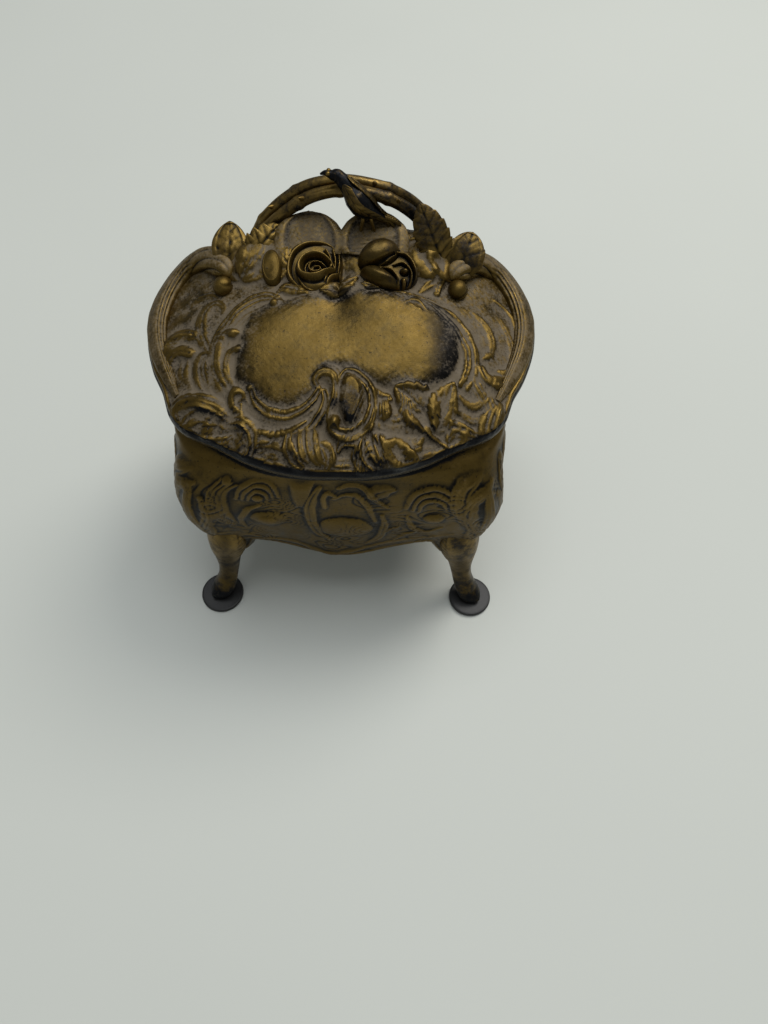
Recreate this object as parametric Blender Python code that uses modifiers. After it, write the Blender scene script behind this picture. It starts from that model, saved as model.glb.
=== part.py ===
"""Footed jewelry casket in cast gilt metal.

A bombe box on four cabriole legs carries a domed lid on two rear hinges.
The lid has scrolled side borders and, along its crest, a spray of roses
and leaves under a branch handle with a small perched bird.

The frame has +Z up, +X to the right of a person facing the front, and the
front towards -Y. The origin is on the table, midway between the four feet.
All sizes are in metres.
"""

import math

import bmesh
import bpy
import numpy as np
from mathutils import Matrix, Vector

MM = 0.001

# Clearance left between castings that touch
GAP = 0.3 * MM
# How far a cutter runs past the face that it opens
OVERRUN = 4.0 * MM

# Body casting
BODY_HALF_WIDTH = 50.5 * MM
BODY_HALF_DEPTH = 44.0 * MM
BODY_HEIGHT = 94.0 * MM
APRON_HEIGHT = 43.0 * MM
APRON_DIP = 7.5 * MM
APRON_SPAN = 33.0 * MM
CORNER_DROP = 12.0 * MM
CORNER_RUN = 9.0 * MM
BELLY_HEIGHT = 66.0 * MM
BODY_WALL = 2.2 * MM
BELLY_OUTLINE_SHARES = [
    (0.0, -1.0), (0.36, -0.99), (0.66, -0.965), (0.86, -0.965),
    (0.965, -0.925), (1.005, -0.80), (1.0, -0.60), (0.985, -0.30), (0.985, 0.0),
    (0.985, 0.30), (1.0, 0.60), (1.005, 0.80), (0.965, 0.925),
    (0.86, 0.955), (0.66, 0.945), (0.36, 0.94), (0.0, 0.94),
]
TOP_OUTLINE_SHARES = [
    (0.0, -0.955), (0.28, -0.94), (0.50, -0.87), (0.68, -0.775),
    (0.84, -0.665), (0.95, -0.52), (0.985, -0.30), (1.0, 0.0),
    (0.99, 0.40), (0.955, 0.65), (0.85, 0.82),
    (0.66, 0.90), (0.36, 0.93), (0.0, 0.935),
]
LOWER_TAPER_SHARE = 0.025
BODY_OUTLINE_STEPS = 64
BODY_LEVELS = 8

# Oval boss in the middle of the front
BOSS_HALF_WIDTH = 9.5 * MM
BOSS_HALF_HEIGHT = 7.0 * MM
BOSS_PROUD = 2.4 * MM
BOSS_CENTRE_HEIGHT = 56.0 * MM

# Floor plate inside the body
PLATE_HEIGHT = 47.0 * MM
PLATE_THICKNESS = 1.2 * MM

# Cabriole legs, followed outwards along the corner's diagonal
ANKLE_INSET_X = 6.0 * MM
ANKLE_INSET_Y = 5.5 * MM
ANKLE_X = BODY_HALF_WIDTH - ANKLE_INSET_X
ANKLE_Y = BODY_HALF_DEPTH - ANKLE_INSET_Y
ANKLE_HEIGHT = 25.0 * MM
ANKLE_RADIUS = 3.8 * MM
FOOT_REACH = 11.5 * MM
LEG_SIDES = 10
UPPER_LEG_SHARES = [
    # outward as a share of the reach, height between ankle and body, radius
    (-0.22, 1.0, 1.4), (-0.15, 1.0, 1.25), (-0.07, 0.5, 1.1),
]
LOWER_LEG_SHARES = [
    # outward as a share of the reach, height of the ankle's, radius
    (0.0, 1.0, 1.0), (0.06, 0.70, 0.94), (0.20, 0.46, 0.96), (0.42, 0.28, 1.0),
    (0.68, 0.19, 0.84), (0.88, 0.15, 0.58), (1.0, 0.14, 0.28),
]

# Discs under the feet
DISC_RADIUS = 8.3 * MM
DISC_THICKNESS = 1.8 * MM
DISC_EDGE = 0.4 * MM
DISC_REACH = 7.8 * MM
DISC_STEPS = 24

# Lid casting
LID_OVERHANG_X = 12.5 * MM
LID_OVERHANG_Y = 1.0 * MM
RIM_HALF_WIDTH = BODY_HALF_WIDTH + LID_OVERHANG_X
RIM_HALF_DEPTH = BODY_HALF_DEPTH + LID_OVERHANG_Y
RIM_BAND = 2.0 * MM
RIM_SIDE_LIFT = 3.0 * MM
LID_WALL = 3.0 * MM
LIP_INSET = 0.6 * MM
DOME_CENTRE_Y = 8.0 * MM
FRONT_RISE = 18.5 * MM
CREST_RISE = 26.0 * MM
FRONT_DOME_POWER = 2.1
REAR_DOME_POWER = 4.0
RIM_OUTLINE_SHARES = [
    (0.0, -1.0), (0.14, -1.0), (0.29, -0.965), (0.43, -0.9),
    (0.57, -0.8), (0.73, -0.7), (0.815, -0.585), (0.865, -0.42),
    (0.93, -0.245), (0.985, 0.0), (1.0, 0.245), (0.965, 0.48),
    (0.905, 0.67), (0.81, 0.79), (0.7, 0.85), (0.52, 0.92),
    (0.35, 0.965), (0.17, 0.97), (0.0, 0.97),
]
RIM_OUTLINE_STEPS = 64
RIM_REAR_Y = RIM_HALF_DEPTH * RIM_OUTLINE_SHARES[-1][1]
LID_SEAT = BODY_HEIGHT + GAP
CREST_HEIGHT = LID_SEAT + RIM_BAND + CREST_RISE
RIM_NORMAL_SHARE = 0.97
DOME_RING_SHARES = [1.0, 0.95, 0.88, 0.79, 0.69, 0.58, 0.45, 0.3, 0.15]
HOLLOW_RING_SHARES = [0.94, 0.8, 0.62, 0.42, 0.2]

# Main forms of the cast relief. A ridge has its width and rise as shares of
# these sizes, and then its places, and an oval has its place, two radii and
# its rise. Places on the lid are shares of the rim's half width and half
# depth. Places on the body are shares of the side's half length from its
# middle, and of the height from the apron to the rim.
RELIEF_HALF_WIDTH = 1.8 * MM
RELIEF_RISE = 1.8 * MM
RELIEF_RADIUS = 4.0 * MM
RELIEF_SINK_SHARE = 0.45
RELIEF_END_SHARE = 0.45
RELIEF_SIDES = 5
RELIEF_OVAL_SIDES = 8
RELIEF_OVAL_RING_SHARES = [(1.0, -0.45), (1.0, 0.0), (0.72, 0.75)]
LID_RIDGE_SHARES = {
    "frame_left": (0.9, 0.9, [
        (-0.27, 0.01), (-0.35, 0.082), (-0.413, 0.069), (-0.489, -0.005), (-0.544, -0.1),
        (-0.565, -0.24), (-0.568, -0.344), (-0.552, -0.433), (-0.522, -0.504),
    ]),
    "frame_right": (0.85, 0.9, [
        (0.308, 0.111), (0.392, 0.087), (0.462, 0.03), (0.525, -0.044), (0.583, -0.133),
        (0.62, -0.242), (0.62, -0.34), (0.608, -0.41),
    ]),
    "scroll_below": (1.2, 1.0, [
        (-0.49, -0.587), (-0.44, -0.65), (-0.365, -0.722), (-0.268, -0.751),
        (-0.173, -0.735), (-0.106, -0.67), (-0.075, -0.57), (-0.06, -0.47),
    ]),
    "oval_frame": (0.65, 1.2, [
        (0.085, -0.445), (0.148, -0.513), (0.18, -0.591), (0.182, -0.678),
        (0.155, -0.762), (0.095, -0.822), (0.03, -0.82),
    ]),
    "leaf_near": (1.8, 0.9, [(0.44, -0.72), (0.36, -0.6), (0.275, -0.533)]),
    "leaf_far": (1.1, 0.9, [(0.5, -0.66), (0.523, -0.564), (0.555, -0.475)]),
    "leaf_low": (1.4, 0.9, [(0.405, -0.8), (0.3, -0.815), (0.215, -0.81)]),
    "left_hook": (0.95, 1.1, [
        (-0.74, -0.333), (-0.755, -0.231), (-0.745, -0.156), (-0.7, -0.118),
    ]),
    "left_acanthus": (1.1, 1.2, [
        (-0.54, -0.651), (-0.6, -0.61), (-0.68, -0.585), (-0.75, -0.591),
    ]),
    "left_border": (0.85, 1.0, [(-0.65, -0.68), (-0.587, -0.72), (-0.54, -0.753)]),
    "right_crescent": (0.75, 0.9, [(0.681, -0.311), (0.695, -0.382), (0.735, -0.409)]),
    "border_acanthus": (1.0, 1.2, [(0.09, -0.92), (0.165, -0.94), (0.245, -0.925)]),
}
LID_OVAL_SHARES = {
    "cabochon": (0.076, -0.631, 0.9, 1.45, 1.8),
    "berry": (0.253, -0.673, 0.6, 0.6, 1.2),
    "left_curl": (-0.457, -0.796, 0.62, 0.52, 1.1),
    "shell": (-0.314, -0.871, 0.9, 0.6, 0.9),
    "flame_left": (-0.192, -0.88, 0.5, 0.8, 1.2),
    "flame_right": (-0.1, -0.89, 0.6, 0.8, 1.2),
    "right_leafage": (0.7, -0.62, 0.75, 1.0, 1.3),
    "right_curl": (0.575, -0.7, 0.55, 0.48, 1.0),
}
PANEL_OUTLINE_SHARES = [
    (0.0, 0.135), (-0.235, 0.045), (-0.385, -0.01), (-0.445, -0.146), (-0.468, -0.342),
    (-0.45, -0.5), (-0.37, -0.6), (-0.285, -0.65), (-0.167, -0.64), (-0.095, -0.56),
    (-0.05, -0.47), (0.041, -0.435), (0.136, -0.5), (0.301, -0.52), (0.444, -0.52),
    (0.54, -0.4), (0.58, -0.188), (0.54, -0.008), (0.435, 0.075), (0.296, 0.11),
]
PANEL_STEPS = 24
PANEL_RISE = 1.7 * MM
PANEL_RING_SHARES = [
    # share of the outline, lift as a share of the rise
    (0.35, -0.4), (0.7, -0.4), (1.0, -0.4), (1.0, 0.25), (0.9, 0.8), (0.55, 1.0),
]
BODY_RIDGE_SHARES = {
    "c_left": (0.9, 1.0, [
        (-0.09, 0.745), (-0.178, 0.686), (-0.23, 0.53), (-0.246, 0.333), (-0.21, 0.157),
    ]),
    "c_right": (0.85, 1.0, [
        (0.004, 0.706), (0.1, 0.755), (0.188, 0.716), (0.257, 0.608), (0.307, 0.51),
    ]),
    "c_low": (0.85, 0.9, [(0.267, 0.441), (0.283, 0.294), (0.25, 0.157)]),
    "brow": (0.75, 0.9, [(-0.07, 0.53), (0.04, 0.588), (0.149, 0.539)]),
    "arch_left": (0.95, 1.0, [
        (-0.614, 0.549), (-0.564, 0.667), (-0.465, 0.706), (-0.372, 0.647), (-0.337, 0.539),
    ]),
    "flute_left": (1.1, 1.0, [
        (-0.703, 0.745), (-0.782, 0.647), (-0.798, 0.49), (-0.768, 0.333), (-0.683, 0.255),
    ]),
    "arch_right": (0.95, 1.0, [
        (0.434, 0.49), (0.465, 0.637), (0.584, 0.716), (0.697, 0.647),
    ]),
    "low_right": (0.8, 0.8, [(0.416, 0.333), (0.495, 0.245), (0.614, 0.225), (0.733, 0.294)]),
    "feather": (1.1, 1.0, [(0.768, 0.451), (0.788, 0.608), (0.861, 0.745)]),
}
BODY_OVAL_SHARES = {
    "rose": (-0.461, 0.382, 1.35, 1.1, 1.0),
    "rosette": (0.594, 0.451, 1.05, 0.95, 1.0),
}
SIDE_OVAL_SHARES = {"middle": (0.0, 0.27, 2.0, 1.7, 1.1)}

# Rear hinges
HINGE_AXIS_RISE = 0.5 * MM
HINGE_PLACE_X = 21.0 * MM
HINGE_WIDTH = 15.0 * MM
KNUCKLE_RADIUS = 2.1 * MM
HINGE_AXIS_Y = RIM_REAR_Y + KNUCKLE_RADIUS + GAP
HINGE_AXIS_Z = BODY_HEIGHT + HINGE_AXIS_RISE
KNUCKLE_LENGTH = 4.6 * MM
PIN_RADIUS = 0.75 * MM
PIN_HEAD_RADIUS = 1.3 * MM
PIN_HEAD_LENGTH = 0.8 * MM
LEAF_THICKNESS = 1.3 * MM
LEAF_HEIGHT = 9.0 * MM
HINGE_SIDES = 16
LEAF_SLOPE_X_SHARE = 0.72
LEAF_SLOPE_Y_SHARE = 0.9

# Padded silk lining, glued in with a little slack
LINING_SLACK = 0.6 * MM
LINING_THICKNESS = 2.2 * MM
LINING_BULGE = 0.8 * MM
LINING_TOP_DROP = 4.2 * MM
FLOOR_PAD_THICKNESS = 4.0 * MM
FLOOR_PAD_CROWN = 1.6 * MM
FLOOR_PAD_EDGE_SHARES = [(0.97, 0.0), (1.0, 0.35), (0.975, 0.8)]
FLOOR_PAD_TOP_SHARES = [0.9, 0.75, 0.5, 0.25]
TRIM_CORD_RADIUS = 0.9 * MM
TRIM_CORD_DROP = 2.4 * MM
LID_LINING_THICKNESS = 1.8 * MM

# Branch handle: an arch of two stems side by side
HANDLE_INSET = 11.65 * MM
HANDLE_RISE = 13.0 * MM
HANDLE_FOOT_DROP = 11.3 * MM
HANDLE_Y = RIM_REAR_Y - HANDLE_INSET
HANDLE_HALF_SPAN = 29.0 * MM
HANDLE_CROWN_HEIGHT = CREST_HEIGHT + HANDLE_RISE
HANDLE_FOOT_HEIGHT = CREST_HEIGHT - HANDLE_FOOT_DROP
HANDLE_HALF_DEPTH = 3.8 * MM
HANDLE_HALF_THICKNESS = 2.7 * MM
HANDLE_GROOVE_SHARE = 0.3
HANDLE_ARCH_SHARES = [
    (-1.0, 0.0), (-0.9, 0.27), (-0.79, 0.46), (-0.6, 0.68), (-0.38, 0.87),
    (-0.16, 0.97), (0.06, 1.0), (0.28, 0.965), (0.5, 0.89), (0.68, 0.77),
    (0.85, 0.58), (0.97, 0.34), (1.06, 0.0),
]
HANDLE_KNOT_SHARES = (0.24, 0.44, 0.72)
HANDLE_KNOT_LENGTH_SHARE = 0.02
HANDLE_KNOT_DEPTH_SHARE = 0.1
HANDLE_KNOT_THICKNESS_SHARE = 0.14
HANDLE_SIDES = 12
HANDLE_STEPS = 29

# Where the dome's crest and the rose spray lie ahead of the handle
CREST_AHEAD = 3.0 * MM
PETAL_AHEAD = 4.6 * MM
ROSE_AHEAD = 16.5 * MM
CREST_Y = HANDLE_Y - CREST_AHEAD
PETAL_Y = HANDLE_Y - PETAL_AHEAD
ROSE_Y = HANDLE_Y - ROSE_AHEAD

# Bird, laid from beak to tail over the crown of the handle
BIRD_LENGTH = 26.0 * MM
BIRD_GIRTH_RADIUS = 4.9 * MM
BIRD_BEAK_X = -5.6 * MM
BIRD_BEAK_AHEAD = 1.5 * MM
BIRD_BEAK_RISE = 4.9 * MM
BIRD_PATH_SHARES = [
    # right, forward and down from the beak's tip, as shares of the length
    (0.0, 0.0, 0.0), (0.06, 0.005, -0.02), (0.13, 0.01, 0.0),
    (0.2, 0.015, 0.015), (0.28, 0.06, 0.07), (0.37, 0.12, 0.17),
    (0.45, 0.16, 0.26), (0.53, 0.16, 0.34), (0.62, 0.14, 0.40),
    (0.71, 0.13, 0.46), (0.79, 0.13, 0.51),
]
BIRD_RADIUS_SHARES = [0.08, 0.3, 0.56, 0.58, 0.66, 0.92, 1.0, 0.84, 0.55, 0.42, 0.38]
BIRD_FLATNESS_SHARES = [1.0, 1.0, 1.0, 1.0, 1.0, 1.0, 0.95, 0.9, 0.75, 0.55, 0.4]

# Rose spray along the crest
ROSE_X = -8.0 * MM
ROSE_RADIUS = 9.3 * MM
ROSE_HEIGHT = 5.6 * MM
ROSE_FLOOR_SHARE = 0.86
ROSE_RING_SHARES = [1.0, 0.92, 0.82, 0.72, 0.62, 0.52, 0.42, 0.32, 0.22, 0.1]
ROSE_VALLEY_SHARE = 0.72
ROSE_TURNS = 2.2
ROSE_SIDES = 28
BUD_X = 15.0 * MM
BUD_LENGTH = 9.6 * MM
BUD_WIDTH = 8.2 * MM
BUD_HEIGHT = 6.6 * MM
PETAL_MIDDLE_X = 0.3 * MM
PETAL_HALF_WIDTH = 9.8 * MM
PETAL_HALF_DEPTH = 3.0 * MM
PETAL_HEIGHT = 4.3 * MM
PETAL_TALL_SHARES = {
    "petal_rear_left": (-1.0, 1.0),
    "petal_rear_right": (1.0, 1.22),
}
SIDE_PETAL_X = -20.9 * MM
SIDE_PETAL_HALF_WIDTH = 3.0 * MM
SIDE_PETAL_HALF_LENGTH = 6.0 * MM
SIDE_PETAL_HEIGHT = 3.0 * MM

# Leaves at the two ends of the spray
LEAF_BLADE = 1.9 * MM
LEAF_HALF_WIDTH = 5.0 * MM
LEAF_LIFT = 10.0 * MM
LEAF_SHARES = {
    # base and tip across as shares of the handle's span and ahead of the
    # handle as shares of the rose's distance, then lift and width shares
    "leaf_left_outer": (-1.238, 0.658, -1.206, 0.139, 0.88, 1.0),
    "leaf_left_inner": (-1.043, 0.767, -0.717, 0.370, 0.40, 0.72),
    "leaf_handle": (1.060, 0.630, 0.793, 0.303, 1.38, 0.88),
    "leaf_right_outer": (1.282, 0.685, 1.408, 0.303, 1.0, 0.84),
}

# Scrolled borders along the lid's two sides
SCROLL_RADIUS = 4.1 * MM
SCROLL_LIFT = 0.6 * MM
SCROLL_TALL_SHARE = 0.8
SCROLL_LENGTH = 54.5 * MM
SCROLL_CLEARANCE = 6.7 * MM
SCROLL_INNER_X = HANDLE_HALF_SPAN + SCROLL_CLEARANCE
SCROLL_PATH_SHARES = [
    # from beside the handle's foot to the rim, and ahead of the handle
    (0.077, 0.389), (0.0, 0.339), (0.042, 0.261), (0.169, 0.187),
    (0.342, 0.128), (0.538, 0.125), (0.711, 0.207), (0.820, 0.331),
    (0.850, 0.472), (0.804, 0.628), (0.700, 0.777), (0.573, 0.909),
    (0.481, 1.0),
]
SCROLL_RADIUS_SHARES = [
    0.55, 0.85, 0.95, 1.0, 1.03, 1.05, 1.0, 0.95, 0.88, 0.8, 0.68, 0.5, 0.26,
]
SCROLL_SIDES = 8
SCROLL_RINGS = 28

CORNER_ANGLE = math.atan2(BODY_HALF_DEPTH, BODY_HALF_WIDTH)


def clear_scene():
    """Remove every object, so that the model starts from nothing."""
    for item in list(bpy.data.objects):
        bpy.data.objects.remove(item, do_unlink=True)


def new_collection(name):
    """Make a collection and link it to the scene."""
    group = bpy.data.collections.new(name)
    bpy.context.scene.collection.children.link(group)
    return group


def new_material(name, colour, roughness, metallic):
    """Make a Principled material."""
    made = bpy.data.materials.new(name)
    made.use_nodes = True
    shader = made.node_tree.nodes["Principled BSDF"]
    shader.inputs["Base Color"].default_value = (*colour, 1.0)
    shader.inputs["Roughness"].default_value = roughness
    shader.inputs["Metallic"].default_value = metallic
    return made


def smoothstep(value):
    """Ease a value from 0 to 1."""
    held = np.clip(value, 0.0, 1.0)
    return held * held * (3.0 - 2.0 * held)


def catmull_rom(points, count, closed):
    """Sample a Catmull-Rom curve through points at equal lengths."""
    points = np.asarray(points, dtype=float)
    fine = 24
    if closed:
        padded = np.vstack([points[-1:], points, points[:2]])
    else:
        first = 2.0 * points[:1] - points[1:2]
        last = 2.0 * points[-1:] - points[-2:-1]
        padded = np.vstack([first, points, last])
    steps = np.linspace(0.0, 1.0, fine, endpoint=False)[:, None]
    pieces = []
    for a, b, c, d in zip(padded[:-3], padded[1:-2], padded[2:-1], padded[3:]):
        cubic = 3.0 * (b - c) + d - a
        square = 2.0 * a - 5.0 * b + 4.0 * c - d
        pieces.append(b + 0.5 * steps * ((c - a) + steps * (square + steps * cubic)))
    curve = np.vstack(pieces + [points[:1] if closed else points[-1:]])
    lengths = np.hypot.reduce(np.diff(curve, axis=0), axis=1)
    travelled = np.concatenate([[0.0], np.cumsum(lengths)])
    wanted = np.linspace(0.0, travelled[-1], count, endpoint=not closed)
    columns = [np.interp(wanted, travelled, column) for column in curve.T]
    return np.stack(columns, axis=1)


def symmetric_outline(half_shares, half_width, half_depth, count):
    """Close a half outline, given as shares, into a ring about x = 0."""
    half = np.array(half_shares) * np.array([half_width, half_depth])
    other = half[-2:0:-1] * np.array([-1.0, 1.0])
    return catmull_rom(np.vstack([half, other]), count, closed=True)


def polar_table(outline, centre):
    """Angles and radii of an outline about a centre, sorted by angle."""
    offsets = outline - np.asarray(centre)
    angles = np.arctan2(offsets[:, 1], offsets[:, 0])
    order = np.argsort(angles)
    return angles[order], np.hypot(offsets[:, 0], offsets[:, 1])[order]


def radius_at(table, angle):
    """Radius of a polar table at any angle."""
    return np.interp(angle, table[0], table[1], period=2.0 * math.pi)


BELLY_OUTLINE = symmetric_outline(
    BELLY_OUTLINE_SHARES, BODY_HALF_WIDTH, BODY_HALF_DEPTH, BODY_OUTLINE_STEPS
)
TOP_OUTLINE = symmetric_outline(
    TOP_OUTLINE_SHARES, BODY_HALF_WIDTH, BODY_HALF_DEPTH, BODY_OUTLINE_STEPS
)
BELLY_POLAR = polar_table(BELLY_OUTLINE, (0.0, 0.0))
TOP_POLAR = polar_table(TOP_OUTLINE, (0.0, 0.0))
BODY_ANGLES = np.arctan2(BELLY_OUTLINE[:, 1], BELLY_OUTLINE[:, 0])
RIM_OUTLINE = symmetric_outline(
    RIM_OUTLINE_SHARES, RIM_HALF_WIDTH, RIM_HALF_DEPTH, RIM_OUTLINE_STEPS
)
DOME_CENTRE = np.array([0.0, DOME_CENTRE_Y])
RIM_POLAR = polar_table(RIM_OUTLINE, DOME_CENTRE)
RIM_ANGLES = np.arctan2(
    RIM_OUTLINE[:, 1] - DOME_CENTRE_Y, RIM_OUTLINE[:, 0]
)


def body_radius(angle, height):
    """Reach of the body's outer face: rim above, square belly, taper below."""
    above = (height - BELLY_HEIGHT) / (BODY_HEIGHT - BELLY_HEIGHT)
    below = (BELLY_HEIGHT - height) / (BELLY_HEIGHT - APRON_HEIGHT + CORNER_DROP)
    rimward = np.clip(above, 0.0, 1.0) ** 2
    belly = radius_at(BELLY_POLAR, angle)
    reach = belly + (radius_at(TOP_POLAR, angle) - belly) * rimward
    return reach * (1.0 - LOWER_TAPER_SHARE * np.clip(below, 0.0, 1.0) ** 1.5)


def apron_edge():
    """Height of the body's lower edge round its outline.

    It dips in the middle of every side and runs down into the legs.
    """
    x, y = np.abs(BELLY_OUTLINE[:, 0]), np.abs(BELLY_OUTLINE[:, 1])
    on_front = y / BODY_HALF_DEPTH > x / BODY_HALF_WIDTH
    along = np.where(on_front, x, y)
    corner = np.where(on_front, ANKLE_X, ANKLE_Y) - ANKLE_RADIUS
    dip = 0.5 + 0.5 * np.cos(math.pi * np.clip(along / APRON_SPAN, 0.0, 1.0))
    down = smoothstep((along - corner + CORNER_RUN) / CORNER_RUN)
    return APRON_HEIGHT - APRON_DIP * dip - CORNER_DROP * down


def on_circle(angles, radius, height):
    """Points at angles and radii about the vertical axis."""
    height = np.broadcast_to(height, np.shape(angles))
    return np.column_stack([radius * np.cos(angles), radius * np.sin(angles), height])


def body_ring(level_share, outward):
    """Ring of the body's side at a share of the height, moved outward."""
    low = apron_edge()
    height = low + (BODY_HEIGHT - low) * level_share
    return on_circle(BODY_ANGLES, body_radius(BODY_ANGLES, height) + outward, height)


def inner_radius(angle, height):
    """Reach of the body's inner face."""
    return body_radius(angle, height) - BODY_WALL


def rim_height(angle):
    """Height of the upper edge of the lid's rim."""
    return LID_SEAT + RIM_BAND + RIM_SIDE_LIFT * np.cos(angle) ** 2


def dome_height(x, y):
    """Height of the lid's dome, whose crest lies towards the rear."""
    along = y - DOME_CENTRE_Y
    angle = np.arctan2(along, x)
    share = np.clip(np.hypot(x, along) / radius_at(RIM_POLAR, angle), 0.0, 1.0)
    to_crest = smoothstep(along / (CREST_Y - DOME_CENTRE_Y))
    rise = FRONT_RISE + (CREST_RISE - FRONT_RISE) * to_crest
    rearward = smoothstep(np.sin(angle))
    power = FRONT_DOME_POWER + (REAR_DOME_POWER - FRONT_DOME_POWER) * rearward
    return rim_height(angle) + rise * (1.0 - share**power)


def dome_normal(x, y):
    """Unit normal of the dome, from its slopes over one clearance."""
    along_x = (dome_height(x + GAP, y) - dome_height(x - GAP, y)) / (2.0 * GAP)
    along_y = (dome_height(x, y + GAP) - dome_height(x, y - GAP)) / (2.0 * GAP)
    normal = np.stack([-along_x, -along_y, np.ones_like(along_x)], axis=-1)
    return normal / np.linalg.norm(normal, axis=-1, keepdims=True)


def dome_ring(share, outward):
    """Ring of the dome at a share of the rim, moved along its normal."""
    plan = DOME_CENTRE + share * (RIM_OUTLINE - DOME_CENTRE)
    x, y = plan[:, 0], plan[:, 1]
    ring = np.column_stack([plan, dome_height(x, y)])
    inside = DOME_CENTRE + min(share, RIM_NORMAL_SHARE) * (RIM_OUTLINE - DOME_CENTRE)
    return ring + outward * dome_normal(inside[:, 0], inside[:, 1])


def add_object(name, mesh, material, group):
    """Put a mesh in a collection under its own name."""
    item = bpy.data.objects.new(name, mesh)
    item.data.materials.append(material)
    group.objects.link(item)
    return item


def finish_mesh(item, angle_deg=35.0):
    """Turn faces outward and shade round surfaces smooth."""
    work = bmesh.new()
    work.from_mesh(item.data)
    bmesh.ops.recalc_face_normals(work, faces=work.faces)
    work.to_mesh(item.data)
    work.free()
    item.data.shade_smooth()
    item.data.set_sharp_from_angle(angle=math.radians(angle_deg))
    return item


def ring_faces(rings, first, looped=False):
    """Points and faces of a row of rings, numbered from a first point."""
    points = []
    starts = []
    for ring in rings:
        starts.append(first + len(points))
        points.extend(tuple(point) for point in ring)
    faces = []
    pairs = list(zip(range(len(rings) - 1), range(1, len(rings))))
    if looped:
        pairs.append((len(rings) - 1, 0))
    for low, high in pairs:
        a, b = starts[low], starts[high]
        sides = max(len(rings[low]), len(rings[high]))
        for i in range(sides):
            j = (i + 1) % sides
            if len(rings[low]) == 1:
                faces.append((a, b + j, b + i))
            elif len(rings[high]) == 1:
                faces.append((a + i, a + j, b))
            else:
                faces.append((a + i, a + j, b + j, b + i))
    return points, faces


def skin_all(name, forms, material, group):
    """Skin several rows of rings that stay apart, as one object."""
    points = []
    faces = []
    for rings in forms:
        more_points, more_faces = ring_faces(rings, len(points))
        points.extend(more_points)
        faces.extend(more_faces)
    return skin_mesh(name, points, faces, material, group)


def skin(name, rings, material, group, looped=False):
    """Skin a row of rings. A ring of one point closes an end as a pole."""
    points, faces = ring_faces(rings, 0, looped)
    return skin_mesh(name, points, faces, material, group)


def skin_mesh(name, points, faces, material, group):
    """Object of points and faces, with its faces turned outward."""
    mesh = bpy.data.meshes.new(name)
    mesh.from_pydata(points, [], faces)
    mesh.update()
    return finish_mesh(add_object(name, mesh, material, group))


def capped(rings):
    """Close both ends of a row of rings with a pole in each end's middle."""
    first = rings[0].mean(axis=0, keepdims=True)
    last = rings[-1].mean(axis=0, keepdims=True)
    return [first, *rings, last]


def sweep_rings(path, across, half_widths, half_heights, sides, pinch_share=0.0):
    """Oval rings along a path, with their wide axis kept along across."""
    tangents = np.gradient(path, axis=0)
    tangents /= np.linalg.norm(tangents, axis=1, keepdims=True)
    across = np.asarray(across, dtype=float)
    across = np.broadcast_to(across, path.shape)
    wide = across - tangents * np.sum(across * tangents, axis=1, keepdims=True)
    wide /= np.linalg.norm(wide, axis=1, keepdims=True)
    tall = np.cross(tangents, wide)
    turn = np.arange(sides) * 2.0 * math.pi / sides
    pinch = 1.0 - pinch_share * np.sin(turn) ** 4
    rings = []
    for centre, u, v, a, b in zip(path, wide, tall, half_widths, half_heights):
        rings.append(
            centre
            + np.outer(a * np.cos(turn), u)
            + np.outer(b * np.sin(turn) * pinch, v)
        )
    return rings


def add_boolean(item, tool, operation):
    """Cut or join with another object, which stays as a guide."""
    change = item.modifiers.new(operation.lower() + "_" + tool.name, "BOOLEAN")
    change.operation = operation
    change.solver = "EXACT"
    change.object = tool
    return item


def box(name, low, high, material, group):
    """Box between two corners."""
    low, high = np.array(low), np.array(high)
    mesh = bpy.data.meshes.new(name)
    work = bmesh.new()
    size = Matrix.Diagonal((*(high - low), 1.0))
    place = Matrix.Translation((low + high) / 2.0)
    bmesh.ops.create_cube(work, size=1.0, matrix=place @ size)
    work.to_mesh(mesh)
    work.free()
    return add_object(name, mesh, material, group)


def rod_along_x(name, centre, length, radius, material, group):
    """Cylinder along X."""
    mesh = bpy.data.meshes.new(name)
    work = bmesh.new()
    bmesh.ops.create_cone(
        work,
        cap_ends=True,
        segments=HINGE_SIDES,
        radius1=radius,
        radius2=radius,
        depth=length,
        matrix=Matrix.Translation(centre) @ Matrix.Rotation(math.pi / 2.0, 4, "Y"),
    )
    work.to_mesh(mesh)
    work.free()
    return finish_mesh(add_object(name, mesh, material, group))


def ellipsoid(name, centre, radii, turn, material, group, sides=16):
    """Ellipsoid, turned by a rotation matrix."""
    mesh = bpy.data.meshes.new(name)
    work = bmesh.new()
    place = Matrix.Translation(centre) @ turn @ Matrix.Diagonal((*radii, 1.0))
    bmesh.ops.create_uvsphere(
        work, u_segments=sides, v_segments=sides // 2 + 2, radius=1.0, matrix=place
    )
    work.to_mesh(mesh)
    work.free()
    return finish_mesh(add_object(name, mesh, material, group))


def guide(item):
    """Mark an object as a cutter or guide."""
    item.hide_render = True
    item.display_type = "WIRE"
    return item


def on_dome(x, y):
    """Point of the dome above a place."""
    return np.array([x, y, float(dome_height(np.array(x), np.array(y)))])


def dome_turn(x, y):
    """Rotation that stands +Z on the dome at a place."""
    normal = dome_normal(np.array(x), np.array(y))
    return Vector(normal).to_track_quat("Z", "Y").to_matrix().to_4x4()


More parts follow.
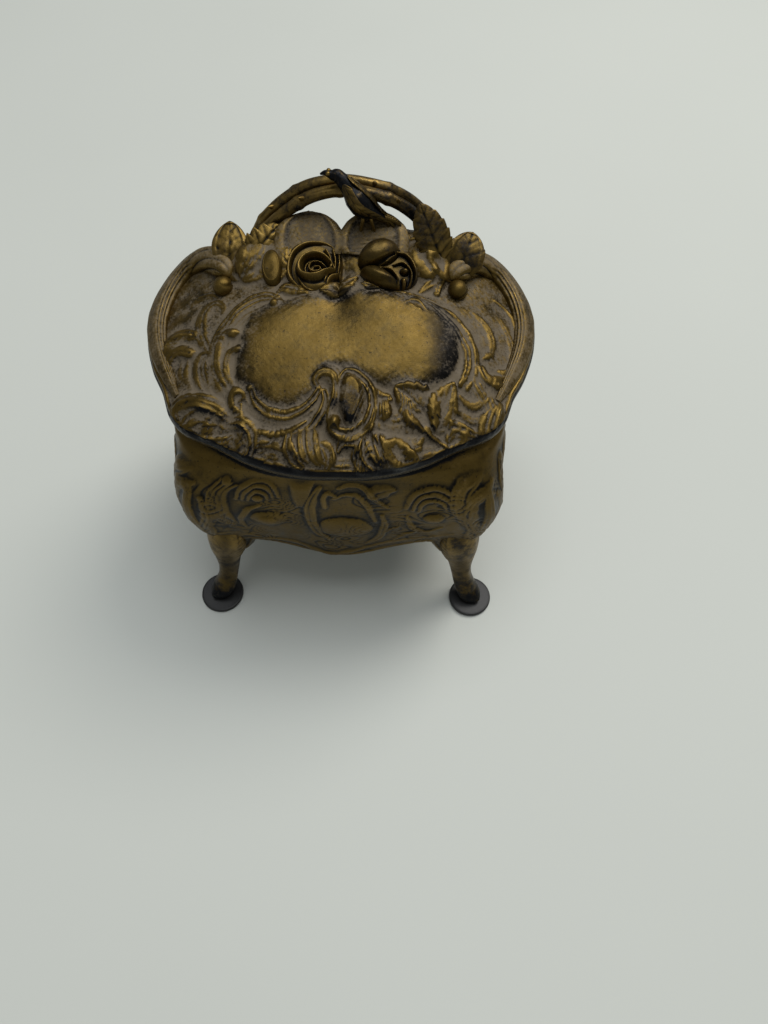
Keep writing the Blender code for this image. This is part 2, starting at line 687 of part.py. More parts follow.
def ridge_rings(places, half_width, rise, surface):
    """Rings of a ridge along places of a surface's chart.

    Each ring is an oval across the ridge, whose lower half sinks into the
    surface, and the ridge swells from its ends to its middle.
    """
    path = catmull_rom(places, len(places), closed=False)
    tangent = np.gradient(path, axis=0)
    tangent /= np.linalg.norm(tangent, axis=1, keepdims=True)
    swell = np.sin(np.linspace(0.0, math.pi, len(path)))
    size = RELIEF_END_SHARE + (1.0 - RELIEF_END_SHARE) * swell
    turn = np.arange(RELIEF_SIDES) * 2.0 * math.pi / RELIEF_SIDES + math.pi / 2.0
    lift = rise * np.sin(turn)
    lift = np.where(lift < 0.0, lift * RELIEF_SINK_SHARE, lift)
    rings = []
    for centre, ahead, share in zip(path, tangent, size):
        across = share * half_width * np.cos(turn)
        u = centre[0] - across * ahead[1]
        v = centre[1] + across * ahead[0]
        rings.append(surface(u, v, share * lift))
    return capped(rings)


def oval_rings(centre, radii, rise, surface):
    """Rings of an oval boss on a surface, from below it to its top."""
    turn = np.arange(RELIEF_OVAL_SIDES) * 2.0 * math.pi / RELIEF_OVAL_SIDES
    rings = []
    for share, lift in RELIEF_OVAL_RING_SHARES:
        u = centre[0] + share * radii[0] * np.cos(turn)
        v = centre[1] + share * radii[1] * np.sin(turn)
        height = max(lift, 0.0) * rise + min(lift, 0.0) * RELIEF_RISE
        rings.append(surface(u, v, height))
    return capped(rings)


def on_lid(x, y, lift):
    """Points over places of the lid's plan, lifted along its normal."""
    points = np.column_stack([x, y, dome_height(x, y)])
    return points + np.reshape(lift, (-1, 1)) * dome_normal(x, y)


def lid_forms():
    """Rings of the lid's ridges and ovals."""
    size = np.array([RIM_HALF_WIDTH, RIM_HALF_DEPTH])
    forms = []
    for width, rise, shares in LID_RIDGE_SHARES.values():
        places = np.array(shares) * size
        wide, tall = width * RELIEF_HALF_WIDTH, rise * RELIEF_RISE
        forms.append(ridge_rings(places, wide, tall, on_lid))
    for x, y, wide, long, rise in LID_OVAL_SHARES.values():
        radii = (wide * RELIEF_RADIUS, long * RELIEF_RADIUS)
        centre = np.array([x, y]) * size
        forms.append(oval_rings(centre, radii, rise * RELIEF_RISE, on_lid))
    return forms


def panel_rings():
    """Rings of the smooth cartouche, a low pillow on the dome."""
    size = np.array([RIM_HALF_WIDTH, RIM_HALF_DEPTH])
    places = np.array(PANEL_OUTLINE_SHARES) * size
    outline = catmull_rom(places, PANEL_STEPS, closed=True)
    middle = outline.mean(axis=0)
    rings = []
    for share, rise in PANEL_RING_SHARES:
        plan = middle + share * (outline - middle)
        lift = np.full(len(plan), rise * PANEL_RISE)
        rings.append(on_lid(plan[:, 0], plan[:, 1], lift))
    return capped(rings)


def angle_along(distance):
    """Angle at a distance round the belly from the middle of the front."""
    steps = np.roll(BELLY_OUTLINE, -1, axis=0) - BELLY_OUTLINE
    girth = np.cumsum(np.hypot(steps[:, 0], steps[:, 1]))
    angles = np.unwrap(np.arctan2(BELLY_OUTLINE[:, 1], BELLY_OUTLINE[:, 0]))
    travelled = np.concatenate([[0.0], girth])
    angles = np.append(angles, angles[0] + 2.0 * math.pi)
    return np.interp(np.mod(distance, girth[-1]), travelled, angles)


def on_body(along, height, lift):
    """Points at distances round the body and heights, moved outward."""
    angle = angle_along(along)
    return on_circle(angle, body_radius(angle, height) + lift, height)


def body_forms():
    """Rings of the ridges and ovals on the body's four sides."""
    steps = np.roll(BELLY_OUTLINE, -1, axis=0) - BELLY_OUTLINE
    quarter = np.sum(np.hypot(steps[:, 0], steps[:, 1])) / 4.0
    tall = BODY_HEIGHT - APRON_HEIGHT
    forms = []
    for number in range(4):
        half = BODY_HALF_DEPTH if number % 2 else BODY_HALF_WIDTH
        start = np.array([number * quarter, APRON_HEIGHT])
        size = np.array([half, tall])
        for width, rise, shares in BODY_RIDGE_SHARES.values():
            places = start + np.array(shares) * size
            wide = width * RELIEF_HALF_WIDTH
            forms.append(ridge_rings(places, wide, rise * RELIEF_RISE, on_body))
        ovals = list(BODY_OVAL_SHARES.values())
        if number > 0:
            ovals += SIDE_OVAL_SHARES.values()
        for along, up, wide, long, rise in ovals:
            centre = start + np.array([along, up]) * size
            radii = (wide * RELIEF_RADIUS, long * RELIEF_RADIUS)
            forms.append(oval_rings(centre, radii, rise * RELIEF_RISE, on_body))
    return forms


def build_envelopes(tools, plain):
    """Cutters one clearance larger than the body and the lid."""
    shares = np.linspace(0.0, 1.0, BODY_LEVELS)
    rings = [body_ring(share, GAP) for share in shares]
    rings[0] = rings[0] - np.array([0.0, 0.0, GAP])
    rings[-1] = rings[-1] + np.array([0.0, 0.0, GAP])
    body = guide(skin("body_envelope", capped(rings), plain, tools))
    low_rim = dome_ring(1.0, GAP)
    low_rim[:, 2] -= RIM_BAND + OVERRUN
    floor = dome_ring(DOME_RING_SHARES[-1], 0.0)
    floor[:, 2] = low_rim[:, 2].min()
    rings = [floor, low_rim]
    rings += [dome_ring(share, GAP) for share in DOME_RING_SHARES]
    dome = guide(skin("dome_envelope", capped(rings), plain, tools))
    return body, dome


def build_body(parts, tools, gilt):
    """Bombe body with a serpentine apron and an oval front boss."""
    shares = np.linspace(0.0, 1.0, BODY_LEVELS)
    outside = [body_ring(share, 0.0) for share in shares]
    inside = [body_ring(share, -BODY_WALL) for share in shares[::-1]]
    body = skin("body_shell", outside + inside, gilt, parts, looped=True)
    front = -float(body_radius(-math.pi / 2.0, BOSS_CENTRE_HEIGHT))
    boss = ellipsoid(
        "front_boss_form",
        (0.0, front, BOSS_CENTRE_HEIGHT),
        (BOSS_HALF_WIDTH, BOSS_PROUD, BOSS_HALF_HEIGHT),
        Matrix.Identity(4),
        gilt,
        tools,
    )
    add_boolean(body, guide(boss), "UNION")
    relief = skin_all("body_relief", body_forms(), gilt, tools)
    return add_boolean(body, guide(relief), "UNION")


def flat_plate(name, low, thickness, outline, material, group):
    """Plate with an outline given as x, y points."""
    under = np.column_stack([outline, np.full(len(outline), low)])
    over = under + np.array([0.0, 0.0, thickness])
    return skin(name, capped([under, over]), material, group)


def inner_outline(height, inset, every=1):
    """Outline just inside the body's inner face at a height."""
    angles = BODY_ANGLES[::every]
    return on_circle(angles, inner_radius(angles, height) - inset, height)[:, :2]


def build_plate(parts, plate_metal):
    """Flat floor soldered inside the body."""
    outline = inner_outline(PLATE_HEIGHT, GAP)
    return flat_plate(
        "bottom_plate", PLATE_HEIGHT, PLATE_THICKNESS, outline, plate_metal, parts
    )


def leg_stations():
    """Outward distances, heights and radii from the body to the toe."""
    top = APRON_HEIGHT - CORNER_DROP
    upper = np.array(UPPER_LEG_SHARES)
    lower = np.array(LOWER_LEG_SHARES)
    upper[:, 1] = ANKLE_HEIGHT + (top - ANKLE_HEIGHT) * upper[:, 1]
    upper[0, 1] += OVERRUN
    lower[:, 1] *= ANKLE_HEIGHT
    rows = np.vstack([upper, lower])
    rows[:, 0] *= FOOT_REACH
    rows[:, 2] *= ANKLE_RADIUS
    return rows


def build_leg(name, side, front, envelope, ground, parts, gilt):
    """Cabriole leg under one corner, seated on the body's outer face."""
    stations = leg_stations()
    diagonal = np.array([side, front, 0.0]) / math.sqrt(2.0)
    ankle = np.array([side * ANKLE_X, front * ANKLE_Y, 0.0])
    path = ankle + stations[:, :1] * diagonal
    path[:, 2] = stations[:, 1]
    across = np.array([-front, side, 0.0])
    radii = stations[:, 2]
    rings = sweep_rings(path, across, radii, radii, LEG_SIDES)
    leg = skin(name, capped(rings), gilt, parts)
    add_boolean(leg, envelope, "DIFFERENCE")
    return add_boolean(leg, ground, "DIFFERENCE")


def build_disc(name, side, front, parts, black):
    """Round disc under a foot, turned with a small rounded edge."""
    mesh = bpy.data.meshes.new(name)
    work = bmesh.new()
    profile = [
        (0.0, DISC_THICKNESS),
        (DISC_RADIUS - DISC_EDGE, DISC_THICKNESS),
        (DISC_RADIUS, DISC_THICKNESS - DISC_EDGE),
        (DISC_RADIUS, DISC_EDGE),
        (DISC_RADIUS - DISC_EDGE, 0.0),
        (0.0, 0.0),
    ]
    corners = [work.verts.new((radius, 0.0, height)) for radius, height in profile]
    for upper, lower in zip(corners, corners[1:]):
        work.edges.new((upper, lower))
    work.to_mesh(mesh)
    work.free()
    disc = add_object(name, mesh, black, parts)
    reach = DISC_REACH / math.sqrt(2.0)
    disc.location = (side * (ANKLE_X + reach), front * (ANKLE_Y + reach), 0.0)
    turn = disc.modifiers.new("turned", "SCREW")
    turn.steps = DISC_STEPS
    turn.render_steps = DISC_STEPS
    turn.use_merge_vertices = True
    turn.merge_threshold = GAP / 10.0
    return disc


def build_feet(body_envelope, parts, tools, gilt, black):
    """Four legs, each on its disc."""
    reach = BODY_HALF_WIDTH + OVERRUN + FOOT_REACH
    top = DISC_THICKNESS + GAP
    low = (-reach, -reach, -OVERRUN)
    ground = guide(box("ground_cut", low, (reach, reach, top), gilt, tools))
    corners = {
        "front_left": (-1.0, -1.0),
        "front_right": (1.0, -1.0),
        "rear_left": (-1.0, 1.0),
        "rear_right": (1.0, 1.0),
    }
    for place, (side, front) in corners.items():
        build_leg("leg_" + place, side, front, body_envelope, ground, parts, gilt)
        build_disc("foot_disc_" + place, side, front, parts, black)


def build_lid(parts, tools, gilt):
    """Domed lid shell with a flat seat that rests on the body's rim."""
    outside = [dome_ring(share, 0.0) for share in DOME_RING_SHARES[::-1]]
    low_rim = outside[-1].copy()
    low_rim[:, 2] -= RIM_BAND
    seat_plan = body_ring(1.0, GAP)[:, :2]
    seat = polar_table(seat_plan, DOME_CENTRE)
    spokes = np.column_stack([np.cos(RIM_ANGLES), np.sin(RIM_ANGLES)])
    rim_reach = np.hypot.reduce(RIM_OUTLINE - DOME_CENTRE, axis=1)
    seat_reach = np.minimum(radius_at(seat, RIM_ANGLES), rim_reach - GAP)
    lip_reach = lip_radius()
    seat_ring = np.column_stack(
        [DOME_CENTRE + spokes * seat_reach[:, None], np.full(RIM_OUTLINE_STEPS, LID_SEAT)]
    )
    lip_ring = np.column_stack(
        [DOME_CENTRE + spokes * lip_reach[:, None], np.full(RIM_OUTLINE_STEPS, LID_SEAT)]
    )
    hollow = [hollow_ring(share, 0.0) for share in HOLLOW_RING_SHARES]
    rings = [*outside, low_rim, seat_ring, lip_ring, *hollow]
    lid = skin("lid_shell", capped(rings), gilt, parts)
    panel = skin("lid_panel", panel_rings(), gilt, tools)
    add_boolean(lid, guide(panel), "UNION")
    relief = skin_all("lid_relief", lid_forms(), gilt, tools)
    return add_boolean(lid, guide(relief), "UNION")


def lip_radius():
    """Reach of the lid's inner lip from the dome's centre."""
    plan = body_ring(1.0, -BODY_WALL - LIP_INSET)[:, :2]
    return radius_at(polar_table(plan, DOME_CENTRE), RIM_ANGLES)


def hollow_ring(share, below):
    """Ring of the lid's inner face, or of a skin some way below it."""
    spokes = np.column_stack([np.cos(RIM_ANGLES), np.sin(RIM_ANGLES)])
    plan = DOME_CENTRE + spokes * (lip_radius() * share)[:, None]
    height = dome_height(plan[:, 0], plan[:, 1]) - LID_WALL - below
    return np.column_stack([plan, height])


def build_lid_lining(parts, silk):
    """Thin padded silk skin inside the lid."""
    near = 2.0 * GAP
    far = near + LID_LINING_THICKNESS
    shares = [share * HOLLOW_RING_SHARES[0] for share in HOLLOW_RING_SHARES]
    upper = [hollow_ring(share, near)[::2] for share in shares[::-1]]
    lower = [hollow_ring(share, far)[::2] for share in shares]
    return skin("lid_lining", capped([*upper, *lower]), silk, parts)


def build_hinge(place, centre_x, body_envelope, dome_envelope, parts, tools, brass):
    """One hinge: a leaf on the body, a leaf on the lid, and its pin."""
    axis = Vector((centre_x, HINGE_AXIS_Y, HINGE_AXIS_Z))
    half = HINGE_WIDTH / 2.0
    face = float(body_radius(math.pi / 2.0, BODY_HEIGHT))
    bore = guide(
        rod_along_x(
            "bore_" + place, axis, HINGE_WIDTH + OVERRUN, PIN_RADIUS + GAP, brass, tools
        )
    )
    outer = face + GAP + LEAF_THICKNESS
    leaf_top = LID_SEAT - GAP
    arm_half = KNUCKLE_LENGTH / 2.0 - GAP
    body_leaf = box(
        "hinge_body_leaf_" + place,
        (centre_x - half, face - OVERRUN / 2.0, leaf_top - LEAF_HEIGHT),
        (centre_x + half, outer, leaf_top),
        brass,
        parts,
    )
    for number, end in enumerate((-1.0, 1.0)):
        middle = centre_x + end * (half - KNUCKLE_LENGTH / 2.0)
        arm = box(
            f"body_arm_{place}_{number}",
            (middle - arm_half, outer - LEAF_THICKNESS / 2.0, leaf_top - LEAF_THICKNESS),
            (middle + arm_half, HINGE_AXIS_Y, leaf_top - GAP),
            brass,
            tools,
        )
        knuckle = rod_along_x(
            f"body_knuckle_{place}_{number}",
            Vector((middle, HINGE_AXIS_Y, HINGE_AXIS_Z)),
            KNUCKLE_LENGTH,
            KNUCKLE_RADIUS,
            brass,
            tools,
        )
        add_boolean(body_leaf, guide(arm), "UNION")
        add_boolean(body_leaf, guide(knuckle), "UNION")
    add_boolean(body_leaf, body_envelope, "DIFFERENCE")
    add_boolean(body_leaf, bore, "DIFFERENCE")
    build_lid_leaf(place, axis, bore, dome_envelope, parts, tools, brass)
    build_pin(place, axis, parts, brass)


def build_lid_leaf(place, axis, bore, dome_envelope, parts, tools, brass):
    """Leaf that lies on the lid's rear slope, with the middle knuckle."""
    half = HINGE_WIDTH / 2.0
    middle_half = half - KNUCKLE_LENGTH - GAP
    arm_half = middle_half - GAP
    slope_x = np.array(axis.x * LEAF_SLOPE_X_SHARE)
    slope_y = np.array(DOME_CENTRE_Y + (RIM_HALF_DEPTH - DOME_CENTRE_Y) * LEAF_SLOPE_Y_SHARE)
    normal = Vector(dome_normal(slope_x, slope_y))
    normal.x = 0.0
    normal.normalize()
    foot = Vector((axis.x, RIM_REAR_Y, LID_SEAT + RIM_BAND))
    up = normal.cross(Vector((1.0, 0.0, 0.0)))
    if up.z < 0.0:
        up = -up
    start = foot + up * (2.0 * GAP)
    turn = Matrix((Vector((1.0, 0.0, 0.0)), up, normal)).transposed().to_4x4()
    leaf = box(
        "hinge_lid_leaf_" + place,
        (-half, 0.0, -OVERRUN),
        (half, LEAF_HEIGHT, LEAF_THICKNESS + GAP),
        brass,
        parts,
    )
    leaf.data.transform(Matrix.Translation(start) @ turn)
    arm = box(
        "lid_arm_" + place,
        (axis.x - arm_half, foot.y + GAP, HINGE_AXIS_Z),
        (axis.x + arm_half, HINGE_AXIS_Y, LID_SEAT + RIM_BAND + LEAF_THICKNESS),
        brass,
        tools,
    )
    knuckle = rod_along_x(
        "lid_knuckle_" + place, axis, 2.0 * middle_half, KNUCKLE_RADIUS, brass, tools
    )
    add_boolean(leaf, guide(arm), "UNION")
    add_boolean(leaf, guide(knuckle), "UNION")
    add_boolean(leaf, dome_envelope, "DIFFERENCE")
    return add_boolean(leaf, bore, "DIFFERENCE")


def build_pin(place, axis, parts, brass):
    """Hinge pin with a small head at each end."""
    half = HINGE_WIDTH / 2.0 + GAP
    stations = [
        (-half - PIN_HEAD_LENGTH, PIN_HEAD_RADIUS),
        (-half, PIN_HEAD_RADIUS),
        (-half, PIN_RADIUS),
        (half, PIN_RADIUS),
        (half, PIN_HEAD_RADIUS),
        (half + PIN_HEAD_LENGTH, PIN_HEAD_RADIUS),
    ]
    turn = np.arange(HINGE_SIDES) * 2.0 * math.pi / HINGE_SIDES
    circle = np.column_stack([np.zeros(HINGE_SIDES), np.cos(turn), np.sin(turn)])
    rings = []
    for along, radius in stations:
        rings.append(np.array(axis) + np.array([along, 0.0, 0.0]) + radius * circle)
    return skin("hinge_pin_" + place, capped(rings), brass, parts)


def build_wall_lining(name, middle, half_turn, parts, silk):
    """Padded silk wall between two corners of the body."""
    low = PLATE_HEIGHT + PLATE_THICKNESS + GAP
    high = BODY_HEIGHT - LINING_TOP_DROP
    levels = np.linspace(0.0, 1.0, 5)
    rings = []
    for turn in np.linspace(-half_turn, half_turn, 11):
        angle = middle + turn
        heights = low + (high - low) * levels
        back = inner_radius(angle, heights) - LINING_SLACK
        slack = 1.0 - (turn / half_turn) ** 4
        pad = LINING_THICKNESS + LINING_BULGE * np.sin(math.pi * levels) * slack
        radius = np.concatenate([back, (back - pad)[::-1]])
        height = np.concatenate([heights, heights[::-1]])
        rings.append(on_circle(np.full(len(radius), angle), radius, height))
    return skin(name, capped(rings), silk, parts)


def build_floor_pad(parts, silk):
    """Padded silk floor with a crown and drawn-in sides."""
    low = PLATE_HEIGHT + PLATE_THICKNESS + GAP
    inset = LINING_SLACK + LINING_THICKNESS + LINING_BULGE + GAP
    edge = inner_outline(low, inset, every=2)
    rings = []
    for share, rise in FLOOR_PAD_EDGE_SHARES:
        height = low + rise * FLOOR_PAD_THICKNESS
        rings.append(np.column_stack([edge * share, np.full(len(edge), height)]))
    for share in FLOOR_PAD_TOP_SHARES:
        crown = FLOOR_PAD_THICKNESS + FLOOR_PAD_CROWN * (1.0 - share**2)
        rings.append(np.column_stack([edge * share, np.full(len(edge), low + crown)]))
    return skin("lining_floor", capped(rings), silk, parts)


def build_trim_cord(parts, silk):
    """Silk cord fixed round the top of the wall lining."""
    height = BODY_HEIGHT - TRIM_CORD_DROP
    line = inner_outline(height, LINING_SLACK + TRIM_CORD_RADIUS, every=2)
    path = np.column_stack([line, np.full(len(line), height)])
    nxt = np.roll(path, -1, axis=0) - np.roll(path, 1, axis=0)
    nxt /= np.linalg.norm(nxt, axis=1, keepdims=True)
    side = np.column_stack([nxt[:, 1], -nxt[:, 0], np.zeros(len(line))])
    turn = np.arange(6) * 2.0 * math.pi / 6.0
    rings = []
    for centre, outward in zip(path, side):
        rings.append(
            centre
            + TRIM_CORD_RADIUS * np.outer(np.cos(turn), outward)
            + TRIM_CORD_RADIUS * np.outer(np.sin(turn), (0.0, 0.0, 1.0))
        )
    return skin("lining_cord", rings, silk, parts, looped=True)


def build_lining(parts, silk):
    """Padded silk inside the body: four walls, a floor and a cord."""
    quarter = math.pi / 2.0
    wide = quarter - CORNER_ANGLE
    narrow = CORNER_ANGLE
    slack = 3.0 * GAP / BODY_HALF_DEPTH
    build_wall_lining("lining_front", -quarter, wide - slack, parts, silk)
    build_wall_lining("lining_rear", quarter, wide - slack, parts, silk)
    build_wall_lining("lining_right", 0.0, narrow - slack, parts, silk)
    build_wall_lining("lining_left", math.pi, narrow - slack, parts, silk)
    build_floor_pad(parts, silk)
    build_trim_cord(parts, silk)


def handle_rings(outward):
    """Rings of the branch handle, one clearance larger for its guide."""
    shares = np.array(HANDLE_ARCH_SHARES)
    rise = HANDLE_CROWN_HEIGHT - HANDLE_FOOT_HEIGHT
    x = shares[:, 0] * HANDLE_HALF_SPAN
    z = HANDLE_FOOT_HEIGHT + shares[:, 1] * rise
    knots = np.column_stack([x, np.full(len(x), HANDLE_Y), z])
    path = catmull_rom(knots, HANDLE_STEPS, closed=False)
    along = np.linspace(0.0, 1.0, HANDLE_STEPS)
    knot = np.zeros(HANDLE_STEPS)
    for place in HANDLE_KNOT_SHARES:
        knot += np.exp(-(((along - place) / HANDLE_KNOT_LENGTH_SHARE) ** 2))
    depth = HANDLE_HALF_DEPTH * (1.0 + HANDLE_KNOT_DEPTH_SHARE * knot) + outward
    thick = HANDLE_HALF_THICKNESS * (1.0 + HANDLE_KNOT_THICKNESS_SHARE * knot)
    thick += outward
    across = (0.0, 1.0, 0.0)
    return sweep_rings(path, across, depth, thick, HANDLE_SIDES, HANDLE_GROOVE_SHARE)


def build_handle(dome_envelope, parts, gilt):
    """Branch handle standing on the crest."""
    handle = skin("branch_handle", capped(handle_rings(0.0)), gilt, parts)
    return add_boolean(handle, dome_envelope, "DIFFERENCE")


def build_bird(parts, tools, gilt):
    """Small bird lying over the front stem, seated on the handle."""
    stem = guide(skin("handle_envelope", capped(handle_rings(GAP)), gilt, tools))
    shares = np.array(BIRD_PATH_SHARES) * BIRD_LENGTH
    beak_height = HANDLE_CROWN_HEIGHT + BIRD_BEAK_RISE
    beak = np.array([BIRD_BEAK_X, HANDLE_Y - BIRD_BEAK_AHEAD, beak_height])
    path = beak + shares * np.array([1.0, -1.0, -1.0])
    radii = np.array(BIRD_RADIUS_SHARES) * BIRD_GIRTH_RADIUS
    flat = np.array(BIRD_FLATNESS_SHARES)
    rings = sweep_rings(path, (0.0, 1.0, 0.0), radii, radii * flat, LEG_SIDES)
    bird = skin("bird", capped(rings), gilt, parts)
    return add_boolean(bird, stem, "DIFFERENCE")


def rose_mesh(name, outward, gilt, group):
    """Mound whose petals wind inwards as a spiral ridge, on the dome."""
    turn = np.arange(ROSE_SIDES) * 2.0 * math.pi / ROSE_SIDES
    circle = np.column_stack([np.cos(turn), np.sin(turn)])
    reach = ROSE_RADIUS + outward
    floor = ROSE_FLOOR_SHARE * reach * circle
    rings = [np.column_stack([floor, np.full(ROSE_SIDES, -OVERRUN)])]
    for share in ROSE_RING_SHARES:
        wave = share * ROSE_TURNS - turn / (2.0 * math.pi)
        ridge = np.abs(2.0 * (wave - np.floor(wave)) - 1.0)
        mound = ROSE_HEIGHT * math.sqrt(max(0.0, 1.0 - share**4))
        height = mound * (ROSE_VALLEY_SHARE + (1.0 - ROSE_VALLEY_SHARE) * smoothstep(ridge))
        rings.append(np.column_stack([share * reach * circle, height + outward]))
    rose = skin(name, capped(rings), gilt, group)
    place = Matrix.Translation(on_dome(ROSE_X, ROSE_Y))
    rose.data.transform(place @ dome_turn(ROSE_X, ROSE_Y))
    return rose


def build_rose(dome_envelope, parts, tools, gilt):
    """Open rose and its guide, one clearance larger."""
    rose = rose_mesh("rose_bloom", 0.0, gilt, parts)
    add_boolean(rose, dome_envelope, "DIFFERENCE")
    return guide(rose_mesh("rose_envelope", GAP, gilt, tools))


def build_bud(dome_envelope, parts, tools, gilt):
    """Half-open bud, split by the gap between its two outer petals."""
    turn = dome_turn(BUD_X, ROSE_Y) @ Matrix.Rotation(math.radians(-12.0), 4, "Z")
    centre = on_dome(BUD_X, ROSE_Y)
    radii = (BUD_LENGTH, BUD_WIDTH, BUD_HEIGHT)
    bud = ellipsoid("rose_bud", centre, radii, turn, gilt, parts, sides=20)
    slit = box(
        "bud_slit",
        (-BUD_LENGTH - OVERRUN, -GAP, BUD_HEIGHT - 4.0 * GAP),
        (BUD_LENGTH / 3.0, 2.0 * GAP, BUD_HEIGHT + OVERRUN),
        gilt,
        tools,
    )
    lean = Matrix.Rotation(math.radians(20.0), 4, "Z")
    slit.data.transform(Matrix.Translation(centre) @ turn @ lean)
    add_boolean(bud, guide(slit), "DIFFERENCE")
    return add_boolean(bud, dome_envelope, "DIFFERENCE")


def side_petal(name, outward, gilt, group):
    """Petal that stands beside the open rose."""
    radii = (
        SIDE_PETAL_HALF_WIDTH + outward,
        SIDE_PETAL_HALF_LENGTH + outward,
        SIDE_PETAL_HEIGHT + outward,
    )
    centre = on_dome(SIDE_PETAL_X, ROSE_Y)
    return ellipsoid(name, centre, radii, dome_turn(SIDE_PETAL_X, ROSE_Y), gilt, group)


def build_petals(dome_envelope, rose_guide, parts, tools, gilt):
    """Outer petals that stand behind and beside the two roses."""
    lean = Matrix.Rotation(math.radians(-18.0), 4, "X")
    for name, (side, tall) in PETAL_TALL_SHARES.items():
        across = PETAL_MIDDLE_X + side * (PETAL_HALF_WIDTH + GAP)
        centre = on_dome(across, PETAL_Y)
        radii = (PETAL_HALF_WIDTH, PETAL_HALF_DEPTH, PETAL_HEIGHT * tall)
        petal = ellipsoid(name, centre, radii, lean, gilt, parts)
        add_boolean(petal, dome_envelope, "DIFFERENCE")
    beside = side_petal("petal_side", 0.0, gilt, parts)
    add_boolean(beside, dome_envelope, "DIFFERENCE")
    add_boolean(beside, rose_guide, "DIFFERENCE")
    return guide(side_petal("side_petal_envelope", GAP, gilt, tools))


def build_leaf(name, base, tip, half_width, parts, gilt):
    """Pointed leaf, arched towards the front, from its base to its tip."""
    normal = np.array([0.0, -0.75, 0.66])
    along = np.linspace(0.0, 1.0, 9)
    path = base + np.outer(along, tip - base)
    path = path + np.outer(LEAF_BLADE * np.sin(math.pi * along), normal)
    width = half_width * np.sin(math.pi * along**0.8) ** 0.75 + LEAF_BLADE / 4.0
    thick = np.full(len(along), LEAF_BLADE / 2.0)
    thick[-1] = LEAF_BLADE / 4.0
    across = np.cross(tip - base, normal)
    rings = sweep_rings(path, across, width, thick, 8)
    return skin(name, capped(rings), gilt, parts)


def build_leaves(dome_envelope, scroll_guides, petal_guide, parts, gilt):
    """Four leaves at the two ends of the rose spray."""
    for name, shares in LEAF_SHARES.items():
        base_x, tip_x = shares[0] * HANDLE_HALF_SPAN, shares[2] * HANDLE_HALF_SPAN
        base = on_dome(base_x, HANDLE_Y - shares[1] * ROSE_AHEAD)
        tip = on_dome(tip_x, HANDLE_Y - shares[3] * ROSE_AHEAD)
        base[2] -= LEAF_BLADE
        tip[2] += shares[4] * LEAF_LIFT
        leaf = build_leaf(name, base, tip, shares[5] * LEAF_HALF_WIDTH, parts, gilt)
        add_boolean(leaf, dome_envelope, "DIFFERENCE")
        if name != "leaf_handle":
            nearest = "right" if shares[0] > 0.0 else "left"
            add_boolean(leaf, scroll_guides[nearest], "DIFFERENCE")
        if name == "leaf_left_inner":
            add_boolean(leaf, petal_guide, "DIFFERENCE")


def scroll_rings(side, outward):
    """Rings of a border scroll, one clearance larger for its guide."""
    shares = np.array(SCROLL_PATH_SHARES)
    radii = np.array(SCROLL_RADIUS_SHARES) * SCROLL_RADIUS
    x = side * (SCROLL_INNER_X + shares[:, 0] * (RIM_HALF_WIDTH - SCROLL_INNER_X))
    y = HANDLE_Y - shares[:, 1] * SCROLL_LENGTH
    knots = np.column_stack([x, y, dome_height(x, y) + SCROLL_LIFT])
    path = catmull_rom(knots, SCROLL_RINGS, closed=False)
    travelled = np.linspace(0.0, 1.0, SCROLL_RINGS)
    radius = np.interp(travelled, np.linspace(0.0, 1.0, len(radii)), radii)
    normal = dome_normal(path[:, 0], path[:, 1])
    across = np.cross(np.gradient(path, axis=0), normal)
    wide = radius + outward
    tall = SCROLL_TALL_SHARE * radius + outward
    return sweep_rings(path, across, wide, tall, SCROLL_SIDES)


def build_scrolls(dome_envelope, parts, tools, gilt):
    """Rolled border scroll along each side of the lid, with its guides."""
    guides = {}
    for name, side in (("right", 1.0), ("left", -1.0)):
        scroll = skin("scroll_" + name, capped(scroll_rings(side, 0.0)), gilt, parts)
        add_boolean(scroll, dome_envelope, "DIFFERENCE")
        larger = capped(scroll_rings(side, GAP))
        guides[name] = guide(skin("scroll_envelope_" + name, larger, gilt, tools))
    return guides


def build_lid_axis(group):
    """Empty on the hinge axis that carries everything on the lid."""
    axis = bpy.data.objects.new("lid_axis", None)
    axis.location = (0.0, HINGE_AXIS_Y, HINGE_AXIS_Z)
    axis.empty_display_size = RIM_BAND
    group.objects.link(axis)
    return axis


LID_PIECES = (
    "lid_", "rose_", "petal_", "leaf_", "scroll_", "branch_", "bird", "hinge_lid_",
)


def carry_lid(axis, group):
    """Parent the lid's pieces to the axis without moving them."""
    back = Matrix.Translation(axis.location).inverted()
    for item in list(group.objects):
        if item is not axis and item.name.startswith(LID_PIECES):
            item.parent = axis
            item.matrix_parent_inverse = back


